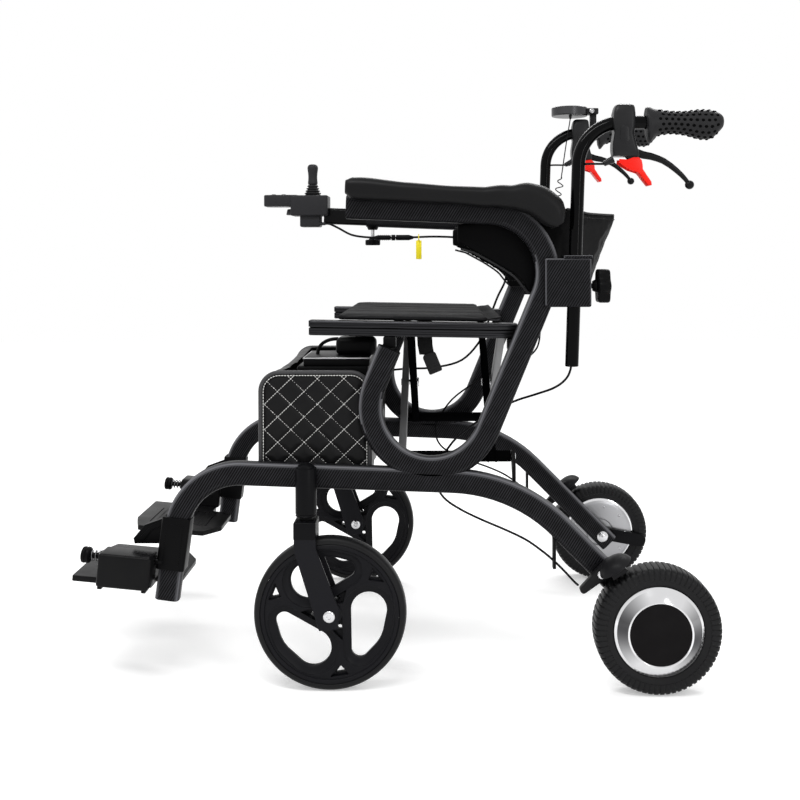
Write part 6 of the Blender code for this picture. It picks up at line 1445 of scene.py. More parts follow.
groove = turned(mm((12.8, 0.4), (15, 1), (17.2, 0.4), (17.2, -1), (12.8, -1)), (STICK_X, CONTROL_Y, 0.7905),
    UP, 56, True)
gland = turned(mm((2.4, 12.5), (3, 12.5), (3.4, 8.5), (3, 8), (3.6, 4.5), (3.2, 4), (3.8, 0.6), (3.8, -6),
    (2.4, -6)), (-0.183, 0.224, 0.733), TO_REAR, 24, True)
control_plastic = finish("control_plastic", "black_plastic", (0.02, 0.02, 0.022), (0.46, 0.0, 0.14),
    (0.46, 0.12, 0.00006, 1500.0, 0.004))
piece(together(shell, lower, groove, gland), "control_shell", control_plastic, "control", "control_body")
buttons = [turned(mm((0, 1.6), (4, 1.6), (4.8, 0.8), (5, -0.4), (0, -0.4)), (x, CONTROL_Y + side, 0.7915), UP,
    32) for x in (-0.276, -0.256) for side in (-0.011, 0.011)]
piece(together(*buttons), "control_buttons", soft_rubber, "control")
lamp_row = [box((-0.24 + 0.005 * at, CONTROL_Y - 0.006, 0.7912), (-0.2375 + 0.005 * at, CONTROL_Y + 0.006,
    0.792), 0.0002) for at in range(3)]
window = finish("lamp_window", "black_plastic", (0.16, 0.16, 0.17), (0.2,), (0.2, 0.06, 0.00001))
piece(together(*lamp_row), "lamp_windows", window, "control")
bar_line = [(-0.174, arm_z(-0.174)), (0.02, arm_z(0.02))]
piece(rounded(strip_tube(bar_line, 0.0332, 0.0218, 0.006, FRAME_Y), 0.0008), "slide_bar", enamel, "control",
    "control_bar")

bellows_profile = [(0.0086, 0.0245), (0.0098, 0.0242)]
for ring in range(4):
    share = ring / 4
    reach = 0.0098 + 0.0072 * share
    height = 0.0232 - 0.0193 * share
    bellows_profile += [(reach + 0.0004, height), (reach + 0.0016, height - 0.0011),
        (reach + 0.0013, height - 0.0022), (reach - 0.0004, height - 0.003), (reach - 0.0008, height - 0.004)]
bellows_profile += mm((16.4, 4.4), (15.8, 3.6), (9.5, 3.4), (9.5, -2), (6, -2), (6, 24.5))
bellows = turned(bellows_profile, (STICK_X, CONTROL_Y, STICK_PIVOT_Z), UP, 56, True)
piece(bellows, "stick_bellows", soft_rubber, ("control", "stick", (STICK_X, CONTROL_Y, 0.7915),
    (STICK_X, CONTROL_Y, 0.812)), "control_bellows")
stick_profile = mm((0, 67), (3.6, 66.9), (7, 66), (9.4, 64), (10.6, 61), (10.8, 58), (10.2, 53.5), (9.5, 48),
    (9.1, 42), (9.2, 36), (9.7, 31), (9.9, 28.5), (9.4, 26.2), (8.6, 25.2), (4.2, 25), (4.2, -6), (0, -6))
piece(turned(stick_profile, (STICK_X, CONTROL_Y, STICK_PIVOT_Z), UP, 56), "stick_knob", control_plastic,
    "stick", "control_stick")

wing = []
for angle in angles(72):
    reach = 0.0146 + 0.0006 * cos(12 * angle)
    wing.append((CLAMP_X + reach * cos(angle), FRAME_Y + reach * sin(angle)))
clamp_head = plate(wing, 0.689, 0.7005, across="Z", edge=0.0022)
clamp_neck = rise(CLAMP_X, FRAME_Y, 0.7, 0.7058, 0.009, 0.0052)
piece(together(clamp_head, clamp_neck), "bar_clamp_knob", moulded, "clamp_knob", "bar_knob")
piece(rise(CLAMP_X, FRAME_Y, 0.705, arm_z(CLAMP_X) - 0.017, 0.0039, steps=24), "bar_clamp_screw", steel,
    "clamp_knob")


# Folding braces and seat rails
# Two cross braces of flat bars fold the walker from side to side. Each turns on its lower
# tube, carries the other side's grooved seat rail and is pinned to its partner at the middle.

BRACE_BARS = {"brace_a": (-0.003, 0.142), "brace_b": (0.012, 0.157)}
BAR_HALF = 0.00625
BAR_WIDE = 0.02
RAIL_Y = 0.21
RAIL_X = (-0.149, 0.18)
RAIL_MIDDLE = (RAIL_X[0] + RAIL_X[1]) / 2
BRACE_LOW = Vector((-PIVOT_Y, PIVOT_Z))
BRACE_HIGH = Vector((RAIL_Y, 0.5435))
CROSS_Z = 0.43988


def flat_bar(x):
    """A flat bar from the left lower pivot up to the right seat rail, a little narrower on top."""
    along = (BRACE_HIGH - BRACE_LOW).normalized()
    across = Vector((-along.y, along.x)) * BAR_WIDE / 2
    outline = [BRACE_LOW - across, BRACE_HIGH - across * 0.6, BRACE_HIGH + across * 0.6, BRACE_LOW + across]
    return plate([tuple(spot) for spot in outline], x - BAR_HALF, x + BAR_HALF, across="X", edge=0.0014)


def seat_rail(y):
    """The extruded rail: a lower channel and a wider upper strip, grooved along both sides."""
    half = mm((10, -12.5), (11, -11.6), (11, -8.8), (9.8, -8), (9.8, -5.2), (11, -4.4), (11, -1.2),
        (10.1, -0.2), (7, -0.2), (7, 0.6), (12.2, 0.6), (13, 1.4), (13, 4), (11.8, 4.7), (11.8, 6.2),
        (12.9, 7), (12.6, 8.8), (11.4, 10.6), (9.8, 11.5), (6.2, 11.5), (5.4, 10.8))
    outline = half + [(-a, b) for a, b in reversed(half)]
    rings = [[(x, y + a, rail_z(RAIL_MIDDLE) + b) for a, b in outline] for x in RAIL_X]
    rail = rounded(skin(rings), 0.0004, 2)
    return pitched(rail, RAIL_SLOPE, (RAIL_MIDDLE, rail_z(RAIL_MIDDLE)))


def rail_cap(y, x):
    """The moulded plug that closes a rail's end."""
    return together(box((x - 0.001, y - 0.0104, rail_z(x) - 0.012), (x + 0.001, y + 0.0104,
        rail_z(x) - 0.0008), 0.0005), box((x - 0.001, y - 0.0124, rail_z(x) + 0.0012),
        (x + 0.001, y + 0.0124, rail_z(x) + 0.011), 0.0005))


def cross_pin(x, side):
    """A shouldered pin from one bar through the next, with a dished head on each end."""
    far = x + side * (0.015 + BAR_HALF)
    near = x - side * BAR_HALF
    shank = rod((x, 0, CROSS_Z), (far, 0, CROSS_Z), 0.0047, 32, 0.0002)
    dished = mm((0, 2.2), (3, 2.2), (3.6, 3.4), (7, 3.4), (8.3, 2.4), (8.3, 0.4), (5, 0.4), (0, 0.4))
    low_head = mm((0, 1.4), (5.2, 1.4), (6.6, 0.6), (6.6, 0), (0, 0))
    return together(shank, turned(dished, (far, 0, CROSS_Z), (side, 0, 0), 40), turned(low_head,
        (near, 0, CROSS_Z), (-side, 0, 0), 40))


rail_colour = (0.026, 0.026, 0.028)
rail_finish, rail_tree, rail_shader = paint("satin_rail", "bright_metal", rail_colour, 0.34, 1.0)
worn(rail_finish, rail_tree, rail_shader, rail_colour, 0.33, 0.12, 0.00001, 600.0, 0.0)
drawn_at = node(rail_tree, "Mapping", Vector=node(rail_tree, "TexCoord").outputs["Object"],
    Scale=(8.0, 1600.0, 1600.0))
drawn = node(rail_tree, "TexNoise", Vector=drawn_at.outputs[0], Scale=1.0, Detail=2.0)
bumped(rail_tree, rail_shader.inputs["Normal"], drawn.outputs["Fac"], 0.35, 0.00002)
silver = finish("satin_silver", "bright_metal", (0.5, 0.5, 0.505), (0.32, 1.0), (0.34, 0.14, 0.00001, 700.0,
    0.0))
zinc = finish("zinc_bar", "bright_metal", (0.2, 0.2, 0.205), (0.42, 0.3, 0.3), (0.42, 0.14, 0.00001, 700.0,
    0.0))
matt_paint = finish("matt_paint", "bright_metal", (0.0022, 0.0022, 0.0025), (0.55, 0.0, 0.0),
    (0.55, 0.12, 0.00002, 700.0, 0.0006))

for brace in BRACE_BARS:
    lower_tube = rod((LOWER_TUBE_X[0], -PIVOT_Y, PIVOT_Z), (LOWER_TUBE_X[1], -PIVOT_Y, PIVOT_Z), 0.009, 40,
        0.0008)
    bores = [rod((-0.1, -PIVOT_Y, PIVOT_Z), (0.3, -PIVOT_Y, PIVOT_Z), 0.0054, 32) for part in ("bar", "rest")]
    welds = [turned([(0.0088 + 0.0016 * cos(a), side * BAR_HALF + 0.0014 * sin(a)) for a in angles(8)],
        (x, -PIVOT_Y, PIVOT_Z), TO_REAR, 40, True) for x in BRACE_BARS[brace] for side in (-1, 1)]
    front_bar, rear_bar = [flat_bar(x) for x in BRACE_BARS[brace]]
    silver_bar, black_bar = (front_bar, rear_bar) if brace == "brace_a" else (rear_bar, front_bar)
    rest = together(black_bar, *welds)
    silver_bar = cut(silver_bar, bores[0])
    dark = cut(together(lower_tube, rest), bores[1])
    rail = seat_rail(RAIL_Y)
    caps = together(rail_cap(RAIL_Y, RAIL_X[0] - 0.0008), rail_cap(RAIL_Y, RAIL_X[1] + 0.0008))
    pins = together(*[cross_pin(x, 1) for x in BRACE_BARS[brace]]) if brace == "brace_a" else None
    if brace == "brace_b":
        for thing in (silver_bar, dark, rail, caps):
            thing.data.transform(Matrix.Diagonal((1, -1, 1, 1)))
            thing.data.flip_normals()
    piece(dark, f"{brace}_bars", matt_paint, brace, brace)
    piece(silver_bar, f"{brace}_silver_bar", zinc, brace)
    piece(rail, f"{brace}_rail", rail_finish, brace, sharp=24)
    piece(caps, f"{brace}_rail_caps", grey_plastic, brace)
    if pins:
        piece(pins, "brace_pins", steel, brace)


# Seat
# A firm foam seat in grey vinyl lies over both rails. It has four sewn
# channels, a gathered flap behind, and a pull strap with a ring and a rubber tab below.

SEAT_X = (-0.108, 0.137)
SEAT_HALF_WIDE = 0.209
SEAT_LOW = 0.0118
SEAT_EDGE = 0.0085
SEAT_CHANNELS = [SEAT_HALF_WIDE * share for share in (-0.5714, -0.1429, 0.1429, 0.5714)]
STRAP_X = 0.036
STRAP_Y = -0.15
seat_turns = ("brace_b", "brace_a", (0, -0.19, 0.56), (0, 0.19, 0.56))


def seat_form():
    """The seat as rings from left to right: flat below, crowned above and drawn in at its ends."""
    rings = []
    stops = [0, 0.0006, 0.0018, 0.0036, 0.0062]
    ends = [SEAT_HALF_WIDE - stop for stop in stops]
    ways = [-y for y in ends] + [SEAT_HALF_WIDE * share / 40 for share in range(-38,
        39)] + list(reversed(ends))
    for y in ways:
        share = 1 - abs(y) / SEAT_HALF_WIDE
        crown = 0.0012 * min(1.0, share * 3.2) ** 0.5
        inset = 0.0058 * (1 - min(1.0, (SEAT_HALF_WIDE - abs(y)) / 0.0062)) ** 2
        half = (SEAT_X[1] - SEAT_X[0]) / 2 - 0.0008 - inset
        middle = (SEAT_X[0] + SEAT_X[1]) / 2
        tall = SEAT_EDGE / 2 - inset * 0.7
        ring = []
        for a, b in rounded_rectangle(half, tall, min(0.0052, tall * 0.95), 6):
            x = middle + a
            lift = crown * max(0.0, 1 - (a / half) ** 4) ** 0.5 if b > 0 else 0
            ring.append((x, y, rail_z(x) + SEAT_LOW + SEAT_EDGE / 2 + b + lift))
        rings.append(ring)
    return skin(rings)


def smoothed(thing):
    smooth = thing.modifiers.new("Smooth", "SUBSURF")
    smooth.levels = smooth.render_levels = 1
    return baked(thing)


def padded_skin(thing, voxel, pressure, most, held):
    """The form as one even skin, swollen by a cloth simulation. Points that are held stay put."""
    change = thing.modifiers.new("Even skin", "REMESH")
    change.mode = "VOXEL"
    change.voxel_size = voxel
    thing = baked(thing)
    start = [vertex.co.copy() for vertex in thing.data.vertices]
    group = thing.vertex_groups.new(name="held")
    group.add([vertex.index for vertex in thing.data.vertices if held(vertex.co)], 1.0, "REPLACE")
    cloth = thing.modifiers.new("Swell", "CLOTH")
    cloth.settings.use_pressure = True
    cloth.settings.uniform_pressure_force = pressure
    cloth.settings.effector_weights.gravity = 0
    cloth.settings.vertex_group_mass = "held"
    for frame_at in range(1, 21):
        bpy.context.scene.frame_set(frame_at)
    graph = bpy.context.evaluated_depsgraph_get()
    swollen = [vertex.co.copy() for vertex in thing.evaluated_get(graph).data.vertices]
    thing.modifiers.remove(cloth)
    for vertex, before, after in zip(thing.data.vertices, start, swollen):
        way = after - before
        vertex.co = before + way * min(1.0, most / max(way.length, 1e-9))
    bpy.context.scene.frame_set(1)
    return smoothed(thing)


def stitch_pattern(long, wide, thick):
    """One stitch: a short thread, thicker in its middle, that lies along X."""
    rings = []
    for share in (-1.0, -0.75, -0.25, 0.25, 0.75, 1.0):
        swell = max(0.12, 1 - share ** 4)
        rings.append([(share * long / 2, wide * swell * cos(a), thick * swell * sin(a)) for a in angles(8)])
    return skin(rings)


def stitches_along(points, facings, pitch):
    """Spots for stitches at an even pitch along a line of points."""
    spots = []
    ahead = pitch / 2
    for (a, b), facing in zip(zip(points, points[1:]), facings):
        a, b = Vector(a), Vector(b)
        long = (b - a).length
        while ahead < long:
            spots.append((tuple(a.lerp(b, ahead / long)), facing, tuple((b - a).normalized())))
            ahead += pitch
        ahead -= long
    return spots


seat = seat_form()
seat = padded_skin(seat, 0.0036, 1.5, 0.0016, lambda p: p.z < rail_z(p.x) + SEAT_LOW + 0.003)
for vertex in seat.data.vertices:
    spot = vertex.co
    floor_z = rail_z(spot.x) + SEAT_LOW
    spot.z = max(spot.z, floor_z)
    if spot.z > floor_z + SEAT_EDGE * 0.6:
        sunk = sum(exp(-((spot.y - y) / 0.0042) ** 2) for y in SEAT_CHANNELS)
        ends_free = min(1.0, (spot.x - SEAT_X[0]) / 0.012, (SEAT_X[1] - spot.x) / 0.012)
        spot.z -= 0.002 * sunk * max(0.0, ends_free)
vinyl = finish("grey_vinyl", "black_cloth", (0.01, 0.01, 0.0106), (0.6, 0.0, 0.02),
    (0.6, 0.12, 0.00008, 1500.0, 0.004))
dark_thread = finish("dark_thread", "black_cloth", (0.012, 0.012, 0.0125), (0.6, 0.0, 0.2),
    (0.6, 0.1, 0.00003, 3000.0, 0.005))

flap_rings = []
for row in range(7):
    share = row / 6
    x = SEAT_X[1] - 0.003 + 0.0235 * share
    top = rail_z(x) + SEAT_LOW + 0.0045 + 0.004 * share
    upper, lower = [], []
    for column in range(81):
        y = -0.199 + 0.398 * column / 80
        pleat = 0.0011 * sin(column * 1.31) * sin(pi * min(1.0, share + 0.25))
        upper.append((x, y, top + pleat))
        lower.append((x, y, top + pleat - 0.002))
    flap_rings.append(upper + list(reversed(lower)))
flap = rounded(skin(flap_rings), 0.0004, 2, 50)
seat_piece = piece(together(seat, flap), "seat_cushion", vinyl, seat_turns, "seat_pad", sharp=60)

channel_spots = []
for y in SEAT_CHANNELS:
    line = [(x, y, rail_z(x) + SEAT_LOW + SEAT_EDGE + 0.0004) for x in (SEAT_X[0] + 0.014, 0.0, 0.06,
        SEAT_X[1] - 0.014)]
    channel_spots += stitches_along(line, [(0.0, 0.0, 1.0)] * 3, 0.0044)
piece(repeated(stitch_pattern(0.0036, 0.0005, 0.0004), channel_spots, dark_thread), "seat_stitches",
    dark_thread, seat_turns)

webbing_colour = (0.006, 0.006, 0.0064)
webbing, webbing_tree, webbing_shader = paint("webbing", "black_cloth", webbing_colour, 0.62, 0.0, 0.1,
    sheen=0.05)
worn(webbing, webbing_tree, webbing_shader, webbing_colour, 0.62, 0.1, 0.00005, 1200.0, 0.004)
weave = node(webbing_tree, "TexWave", {"wave_type": "BANDS", "bands_direction": "DIAGONAL"},
    Vector=node(webbing_tree, "TexCoord").outputs["Object"], Scale=420.0, Distortion=1.2)
bumped(webbing_tree, webbing_shader.inputs["Normal"], weave.outputs["Fac"], 0.8, 0.00015)
strap_line = [(STRAP_X - 0.003, STRAP_Y, 0.5615), (STRAP_X - 0.003, STRAP_Y - 0.0006, 0.54),
    (STRAP_X - 0.002, STRAP_Y - 0.0012, 0.52), (STRAP_X + 0.001, STRAP_Y - 0.0004, 0.504)]
strap_rings = []
for x, y, z in strap_line:
    strap_rings.append([(x + a, y + b, z) for a, b in rounded_rectangle(0.0125, 0.001, 0.0008, 3)])
strap = rounded(skin(strap_rings), 0.0003)
piece(strap, "pull_strap", webbing, seat_turns)
tab_outline = eased(mm((-11.5, -17), (11.5, -17), (11.5, 15), (5, 18.5), (-5, 18.5), (-11.5, 15)), 0.003)
tab = plate(tab_outline, -0.0035, 0.0035, edge=0.0014)
tab_grip = [box((-0.0085, -0.004, z - 0.001), (0.0085, 0.004, z + 0.001), 0.0004)
    for z in (-0.012, -0.007, -0.002)]
tab = together(tab, *tab_grip)
tab.data.transform(Matrix.Translation((0.046, STRAP_Y, 0.49)) @ Matrix.Rotation(radians(-22), 4, "Y"))
piece(tab, "pull_tab", soft_rubber, seat_turns)
ring_line = [(STRAP_X + 0.0022 + 0.0062 * cos(a), STRAP_Y, 0.5062 + 0.0062 * sin(a))
    for a in [*angles(32), 2 * pi]]
piece(tube_line(ring_line, 0.0011, 12, 1, False), "pull_ring", steel, seat_turns)


# Arm rests
# A moulded foam pad sits on each upper tube behind the front end and swells into a stop over
# the rear bend. Its soft skin has a fine grain.

PAD_Y = 0.243
PAD_HALF_WIDE = 0.031
PAD_LONG = 0.3153
PAD_LEAD = 0.0015
PAD_PROFILE = ((0.0, 0.04, 0.02), (0.035, 0.0445, 0.011), (0.09, 0.0452, 0.0107), (0.3, 0.04, 0.0107),
    (0.52, 0.037, 0.0107), (0.69, 0.0373, 0.0075), (0.78, 0.0444, 0.0093), (0.84, 0.0595, 0.013),
    (0.89, 0.0664, 0.017), (0.945, 0.067, 0.0193), (0.975, 0.06, 0.023), (1.0, 0.048, 0.031),)


def pad_line():
    """Places and outward directions along the tube, at even steps of the pad's length."""
    path = [Vector(point) for point in arm_path()]
    line = [path[0] + (path[0] - path[1]).normalized() * PAD_LEAD] + path[1:]
    lengths = run_lengths(line)
    headings = [(b - a).normalized() for a, b in zip(line, line[1:])]
    found = []
    steps = 84
    for step in range(steps + 1):
        share = step / steps
        target = PAD_LONG * share
        at = max(i for i in range(len(line) - 1) if lengths[i] <= target)
        t = (target - lengths[at]) / (lengths[at + 1] - lengths[at])
        before = (headings[max(at - 1, 0)] + headings[at]).normalized()
        after = (headings[at] + headings[min(at + 1, len(headings) - 1)]).normalized()
        way = headings[0] if at == 0 else before.lerp(after, t).normalized()
        found.append((share, line[at] + headings[at] * (target - lengths[at]), Vector((-way.y, way.x))))
    return found


def arm_pad_form(grow=0.0):
    rings = []
    for share, point, normal in pad_line():
        top, low = between_rows(PAD_PROFILE, share, 0.5)
        end = min(share, 1 - share) * PAD_LONG
        pinch = 1 - 0.16 * (1 - min(1.0, end / 0.012)) ** 2
        half = PAD_HALF_WIDE * pinch + grow
        mid, tall = (top + low) / 2, (top - low) / 2 + grow
        ring = []
        for a, b in rounded_rectangle(tall, half, min(tall, half) * 0.7, 7):
            crown = 0.002 * (1 - (b / half) ** 2) if a > 0 else 0
            spot = point + normal * (mid + a + crown)
            ring.append((spot.x, -PAD_Y + b, spot.y))
        rings.append(ring)
    return skin(rings)


pad_room = strip_tube([tuple(Vector(arm_path()[0]) + Vector((-0.02, 0.0008))), *arm_path()[1:]],
    TUBE_TALL + 0.0006, TUBE_DEEP + 0.0006, TUBE_CORNER, -FRAME_Y)
pad_skin = finish("pad_skin", "black_cloth", (0.005, 0.005, 0.0054), (0.46, 0.0, 0.12),
    (0.44, 0.12, 0.00007, 1500.0, 0.003))
pair(rounded(cut(rounded(arm_pad_form(), 0.0016, 3, 50), pad_room), 0.0004, 2, 60), "arm_rest", pad_skin,
    "frame", "arm_pad", sharp=50)


# Backrest
# A padded vinyl band that wraps behind the user. Its wings are held flat on the inner faces
# of the upper tubes, and its edges are piped.

BACK_Y = TUBE_INNER_Y - 0.0063
BACK_THICK = 0.012
BACK_CORNER = (0.26, 0.085)
BACK_REACH = 0.361


def back_line(steps=120):
    """Places along the band's top line in plan, with the outward direction at each."""
    half = bend_path((0.085, -BACK_Y), ((BACK_CORNER[0], -BACK_Y, BACK_CORNER[1]),), (BACK_REACH, -0.075))
    full = [*half, Vector((BACK_REACH + 0.001, 0.0))] + [Vector((point.x, -point.y))
        for point in reversed(half)]
    lengths = run_lengths(full)
    found = []
    for step in range(steps + 1):
        target = lengths[-1] * step / steps
        at = max(i for i in range(len(full) - 1) if lengths[i] <= target + 1e-9)
        way = (full[at + 1] - full[at]).normalized()
        found.append((full[at] + way * (target - lengths[at]), Vector((way.y, -way.x))))
    return found


def back_heights(point):
    """The band's top and lower height at a place along it, and how far it leans."""
    back = min(1.0, max(0.0, (point.x - 0.18) / 0.12))
    wing = min(1.0, max(0.0, (0.215 - point.x) / 0.13))
    return 0.752 - 0.01 * back - 0.032 * wing, 0.604 + 0.085 * wing ** 0.8, 0.38 * back


def on_back(place, out, share, face):
    """A point on the band: a share of its height, and a distance outward from its middle."""
    top, low, lean = back_heights(place)
    z = low + (top - low) * share
    spot = place - Vector(((top - z) * lean, 0)) + out * face
    return Vector((spot.x, spot.y, z))


band_rings = []
places = back_line()
for at, (place, out) in enumerate(places):
    end = min(at, len(places) - 1 - at) / 3
    thick = BACK_THICK / 2 * min(1.0, 0.35 + 0.65 * end)
    shares = [v / 12 for v in range(13)]
    ring = []
    for face, ways in ((1, shares), (-1, list(reversed(shares)))):
        for share in ways:
            swell = thick * (1 - 0.62 * abs(2 * share - 1) ** 8)
            ring.append(tuple(on_back(place, out, share, face * swell)))
    band_rings.append(ring)
band = padded_skin(skin(band_rings), 0.0042, 2.2, 0.0035, lambda p: abs(p.y) > 0.2238)
for vertex in band.data.vertices:
    vertex.co.y = min(max(vertex.co.y, -TUBE_INNER_Y + 0.0002), TUBE_INNER_Y - 0.0002)
near_pad = arm_pad_form(0.0008)
far_pad = mirrored(near_pad)
band = cut(band, near_pad, far_pad)
edge_tree = KDTree(len(band.data.vertices))
for at, vertex in enumerate(band.data.vertices):
    edge_tree.insert((vertex.co.x, vertex.co.y, 0), at)
edge_tree.balance()
edge_points = [vertex.co.copy() for vertex in band.data.vertices]
back_vinyl = finish("black_vinyl", "black_cloth", (0.0018, 0.0018, 0.002), (0.5, 0.0, 0.03),
    (0.52, 0.14, 0.00007, 1400.0, 0.002))
band = piece(band, "backrest_band", back_vinyl, "left_frame", "backrest", sharp=60)


def clear_of_pads(spot):
    """True where the band's edge isn't tucked behind an arm rest."""
    top = back_heights(Vector((spot.x, spot.y)))[0]
    return spot.z < arm_z(min(spot.x, 0.21)) - 0.01 or abs(spot.y) < 0.205 or spot.z < top - 0.03


trim_lines = []
for share, way in ((0.0, -1), (1.0, 1)):
    line = [on_back(place, out, share, 0.0) for place, out in places[1:-1]]
    heights = []
    for spot in line:
        near = [edge_points[at].z for _, at, _ in edge_tree.find_range((spot.x, spot.y, 0), 0.006)]
        heights.append(max(near, key=lambda z: way * z) if near else spot.z)
    for at, spot in enumerate(line):
        few = heights[max(at - 3, 0):at + 4]
        spot.z = sum(few) / len(few) - way * 0.0006
    runs = [[]]
    for spot in line:
        if clear_of_pads(spot):
            runs[-1].append(spot)
        elif runs[-1]:
            runs.append([])
    trim_lines += [run for run in runs if len(run) > 3]
trim = together(*[tube_line(line, 0.0019, 10, 1, False) for line in trim_lines])
trim = piece(trim, "backrest_piping", soft_rubber, "left_frame")
back_spots = []
for share in (0.09, 0.91):
    for face in (-1, 1):
        line = [on_back(place, out, share, face * (BACK_THICK / 2 + 0.0007)) for place, out in places[4:-4]]
        facings = [tuple(Vector((out.x, out.y, 0)) * face) for place, out in places[4:-4]]
        kept = [spot for spot in stitches_along(line, facings, 0.005) if clear_of_pads(Vector(spot[0]))]
        back_spots += [spot for spot in kept if abs(spot[0][1]) < TUBE_INNER_Y - 0.001]
back_stitches = repeated(stitch_pattern(0.0038, 0.0005, 0.0004), back_spots, dark_thread)
back_stitches = piece(back_stitches, "backrest_stitches", dark_thread, "left_frame")
for soft in (band, trim, back_stitches):
    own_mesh(soft)


# Bag
# A soft vinyl bag hangs between the side frames under the seat. Its side panels are quilted
# in stitched diamonds inside a grey piped border, and its top is open for the battery.

BAG_X = (-0.232, -0.05)
BAG_Z = (0.31, 0.487)
BAG_HALF_WIDE = TUBE_INNER_Y - 0.0003
BAG_CORNER = 0.034
BAG_BORDER = 0.0105
QUILT_AT = (-0.1797, 0.473)
QUILT_PITCH = (0.0424, 0.0405)
QUILT_DEEP = 0.0042


def bag_top(x, inset=0.0):
    """The height of the bag's outline at a place from front to back."""
    radius = BAG_CORNER - inset
    over = max(BAG_X[0] + BAG_CORNER - x, x - (BAG_X[1] - BAG_CORNER), 0.0)
    return BAG_Z[1] - BAG_CORNER + sqrt(max(radius * radius - over * over, 0.0))


def bag_outline(inset=0.0, steps=10):
    """The outline from its lower front corner over the top to its lower rear corner."""
    front, rear = BAG_X[0] + inset, BAG_X[1] - inset
    points = [(front, BAG_Z[0] + inset * 0.2)]
    points += [(front, BAG_Z[0] + (BAG_Z[1] - BAG_CORNER - BAG_Z[0]) * share / 6) for share in range(1, 6)]
    for centre_x, begin in ((BAG_X[0] + BAG_CORNER, 180), (BAG_X[1] - BAG_CORNER, 90)):
        for step in range(steps + 1):
            angle = radians(begin - 90 * step / steps)
            reach = BAG_CORNER - inset
            points.append((centre_x + reach * cos(angle), BAG_Z[1] - BAG_CORNER + reach * sin(angle)))
        if begin == 180:
            points += [(BAG_X[0] + BAG_CORNER + (BAG_X[1] - BAG_X[0] - 2 * BAG_CORNER) * share / 6,
                BAG_Z[1] - inset) for share in range(1, 6)]
    points += [(rear, BAG_Z[0] + (BAG_Z[1] - BAG_CORNER - BAG_Z[0]) * share / 6) for share in range(5, 0, -1)]
    return points + [(rear, BAG_Z[0] + inset * 0.2)]


def quilt(x, z):
    """How far the padding stands up between the stitched lines, from 0 on a line to 1."""
    a = (x - QUILT_AT[0]) / QUILT_PITCH[0]
    b = (z - QUILT_AT[1]) / QUILT_PITCH[1]
    near = min(abs(way - round(way)) for way in (a + b, a - b))
    border = min(x - BAG_X[0] - BAG_BORDER, BAG_X[1] - BAG_BORDER - x, bag_top(x, BAG_BORDER) - z) / 0.012
    return min(1.0, near / 0.3, max(0.0, border)) ** 0.55


def walled(thing, thickness):
    """The open form with a wall behind its outer face."""
    wall = thing.modifiers.new("Thick", "SOLIDIFY")
    wall.thickness = thickness
    wall.offset = -1
    return thing


def quilted_panel():
    """The left side panel, flush with the frame's inner face and stitched back into diamonds."""
    front, rear = BAG_X[0] + BAG_BORDER * 0.55, BAG_X[1] - BAG_BORDER * 0.55
    columns, rows = 96, 96
    grid = []
    for column in range(columns + 1):
        turn = pi * column / columns
        x = front + (rear - front) * (0.35 * (1 - cos(turn)) / 2 + 0.65 * column / columns)
        high = bag_top(x, BAG_BORDER * 0.55)
        line = []
        for row in range(rows + 1):
            z = BAG_Z[0] + 0.001 + (high - BAG_Z[0] - 0.001) * row / rows
            line.append((x, -BAG_HALF_WIDE + 0.0002 + QUILT_DEEP * (1 - quilt(x, z)), z))
        grid.append(line)
    return baked(walled(skin(grid, (False, False), False), 0.0015))


def bag_shell():
    """The front, top, rear and bottom, sagging between the side frames and open on top."""
    outline = bag_outline(0.0012, 8)
    low_run = [(BAG_X[1] + (BAG_X[0] - BAG_X[1]) * share / 10, BAG_Z[0] + 0.0012) for share in range(1, 10)]
    loop = outline + low_run
    form = bmesh.new()
    rows = []
    for step in range(73):
        y = -BAG_HALF_WIDE + 0.003 + 2 * (BAG_HALF_WIDE - 0.003) * step / 72
        slack = 1 - (y / BAG_HALF_WIDE) ** 2
        row = []
        for x, z in loop:
            high = min(1.0, max(0.0, (z - BAG_Z[0]) / 0.12))
            crease = sin(y * 61 + z * 23) * 0.0009 + sin(y * 137 - z * 41) * 0.0005
            droop = 0.0065 * slack * high ** 3
            pull = 0.006 * slack * sin(pi * min(1.0, (z - BAG_Z[0]) / (BAG_Z[1] - BAG_Z[0])))
            toward = 1 if x < sum(BAG_X) / 2 else -1
            side_share = 1 if min(x - BAG_X[0], BAG_X[1] - x) < 0.02 else 0
            row.append(form.verts.new((x + toward * side_share * (pull + crease * slack), y,
                z - droop + (crease * slack if z > BAG_Z[1] - 0.02 else 0))))
        rows.append(row)
    for row, after in zip(rows, rows[1:]):
        for at in range(len(loop)):
            step = (at + 1) % len(loop)
            middle_x = (loop[at][0] + loop[step][0]) / 2
            y = row[0].co.y
            mouth = -0.191 < middle_x < -0.056 and loop[at][1] > BAG_Z[1] - 0.01 and abs(y) < 0.2047
            if not mouth:
                form.faces.new((row[at], row[step], after[step], after[at]))
    bmesh.ops.recalc_face_normals(form, faces=form.faces)
    return smoothed(walled(shaped(form, "bag_shell"), 0.003))


bag_vinyl = finish("bag_vinyl", "black_cloth", (0.006, 0.006, 0.0064), (0.42, 0.0, 0.1),
    (0.44, 0.14, 0.00009, 1300.0, 0.003))
panel = quilted_panel()
bag_body = together(bag_shell(), mirrored(panel), panel)
bag_piece = piece(bag_body, "soft_bag", bag_vinyl, "left_frame", "bag", sharp=50)
border = tube_line([(x, -BAG_HALF_WIDE + 0.0034, z) for x, z in bag_outline(0.0036, 12)], 0.0032, 12, 1,
    False)
border_vinyl = finish("grey_piping", "black_cloth", (0.045, 0.045, 0.047), (0.42, 0.0, 0.2),
    (0.44, 0.12, 0.00005, 1500.0, 0.01))
borders = piece(together(mirrored(border), border), "bag_piping", border_vinyl, "left_frame")

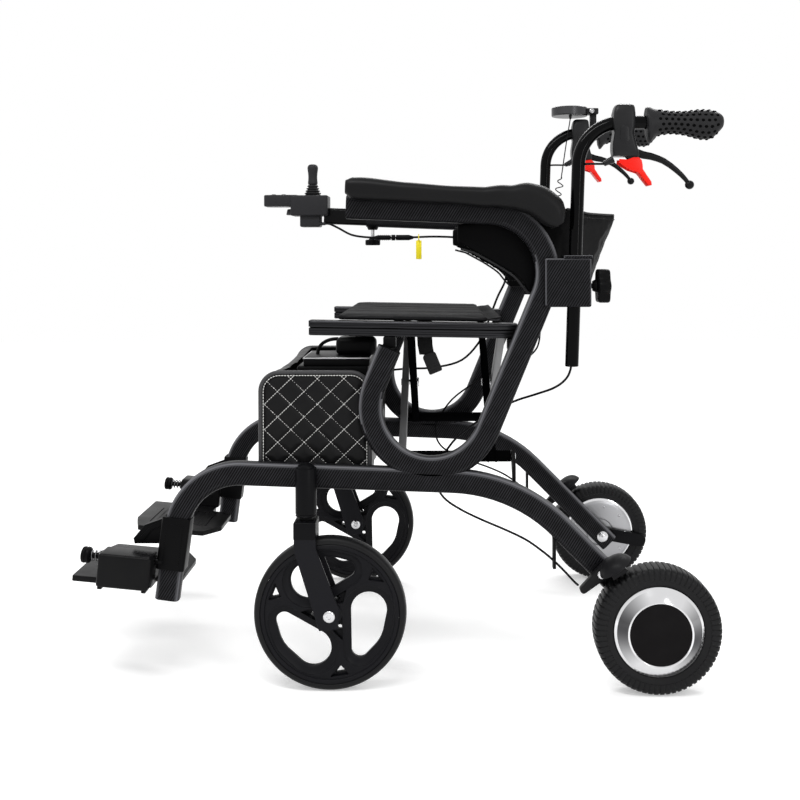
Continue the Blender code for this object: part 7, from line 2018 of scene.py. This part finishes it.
pale_thread = finish("pale_thread", "black_cloth", (0.62, 0.62, 0.6), (0.55,), (0.55, 0.1, 0.00004, 3000.0,
    0.0))
quilt_spots = []
for slope in (1, -1):
    way = Vector((QUILT_PITCH[0], 0, -slope * QUILT_PITCH[1])).normalized()
    for line_at in range(-12, 13):
        for step in range(-90, 91):
            start_x = QUILT_AT[0] + line_at * QUILT_PITCH[0]
            x, z = start_x + way.x * step * 0.0043, QUILT_AT[1] + way.z * step * 0.0043
            inside = BAG_X[0] + BAG_BORDER < x < BAG_X[1] - BAG_BORDER
            if inside and 0.316 < z < bag_top(x, BAG_BORDER):
                quilt_spots.append(((x, -BAG_HALF_WIDE + QUILT_DEEP - 0.0004, z), (0.0, -1.0, 0.0),
                    tuple(way)))
rim = [(x, -BAG_HALF_WIDE + 0.0016, z) for x, z in bag_outline(0.0086, 12)]
quilt_spots += stitches_along(rim, [(0.0, -1.0, 0.0)] * len(rim), 0.0046)
quilt_stitches = repeated(stitch_pattern(0.0039, 0.00075, 0.0006), quilt_spots, pale_thread)
quilt_stitches = piece(together(mirrored(quilt_stitches), quilt_stitches), "bag_stitches", pale_thread,
    "left_frame")
for soft in (bag_piece, borders, quilt_stitches):
    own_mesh(soft)


# Battery
# The battery stands in the bag. Its moulded case has a flat overhanging lid with a bright
# edge, a plug housing on top, and a carrying loop in front of it.

case = box((-0.1745, -0.1875, 0.3145), (-0.0585, -0.0705, 0.49), 0.004, 4)
side_panel = box((-0.165, -0.188, 0.335), (-0.068, -0.187, 0.46), 0.0004)
case_ribs = [box((x - 0.0015, -0.1882, 0.345), (x + 0.0015, -0.1868, 0.45), 0.0005)
    for x in (-0.15, -0.1165, -0.083)]
lid = box((-0.164, -0.188, 0.4885), (-0.056, -0.07, 0.504), 0.003, 4)
plug_house = box((-0.115, -0.15, 0.502), (-0.048, -0.108, 0.533), 0.01, 6)
loop_line = mm((-147, -129, 502), (-146.5, -129, 508), (-144, -129, 515), (-138.5, -129, 521.5),
    (-130, -129, 526.2), (-121, -129, 528.5), (-112, -129, 529))
loop = tube_line(loop_line, 0.003, 16, 4)
piece(together(case, side_panel, *case_ribs, lid, plug_house, loop), "battery_case", moulded, "left_frame",
    "battery")
edge_strip = box((-0.1646, -0.1886, 0.501), (-0.0554, -0.0694, 0.5032), 0.0006)
piece(edge_strip, "battery_lid_edge", silver, "left_frame")
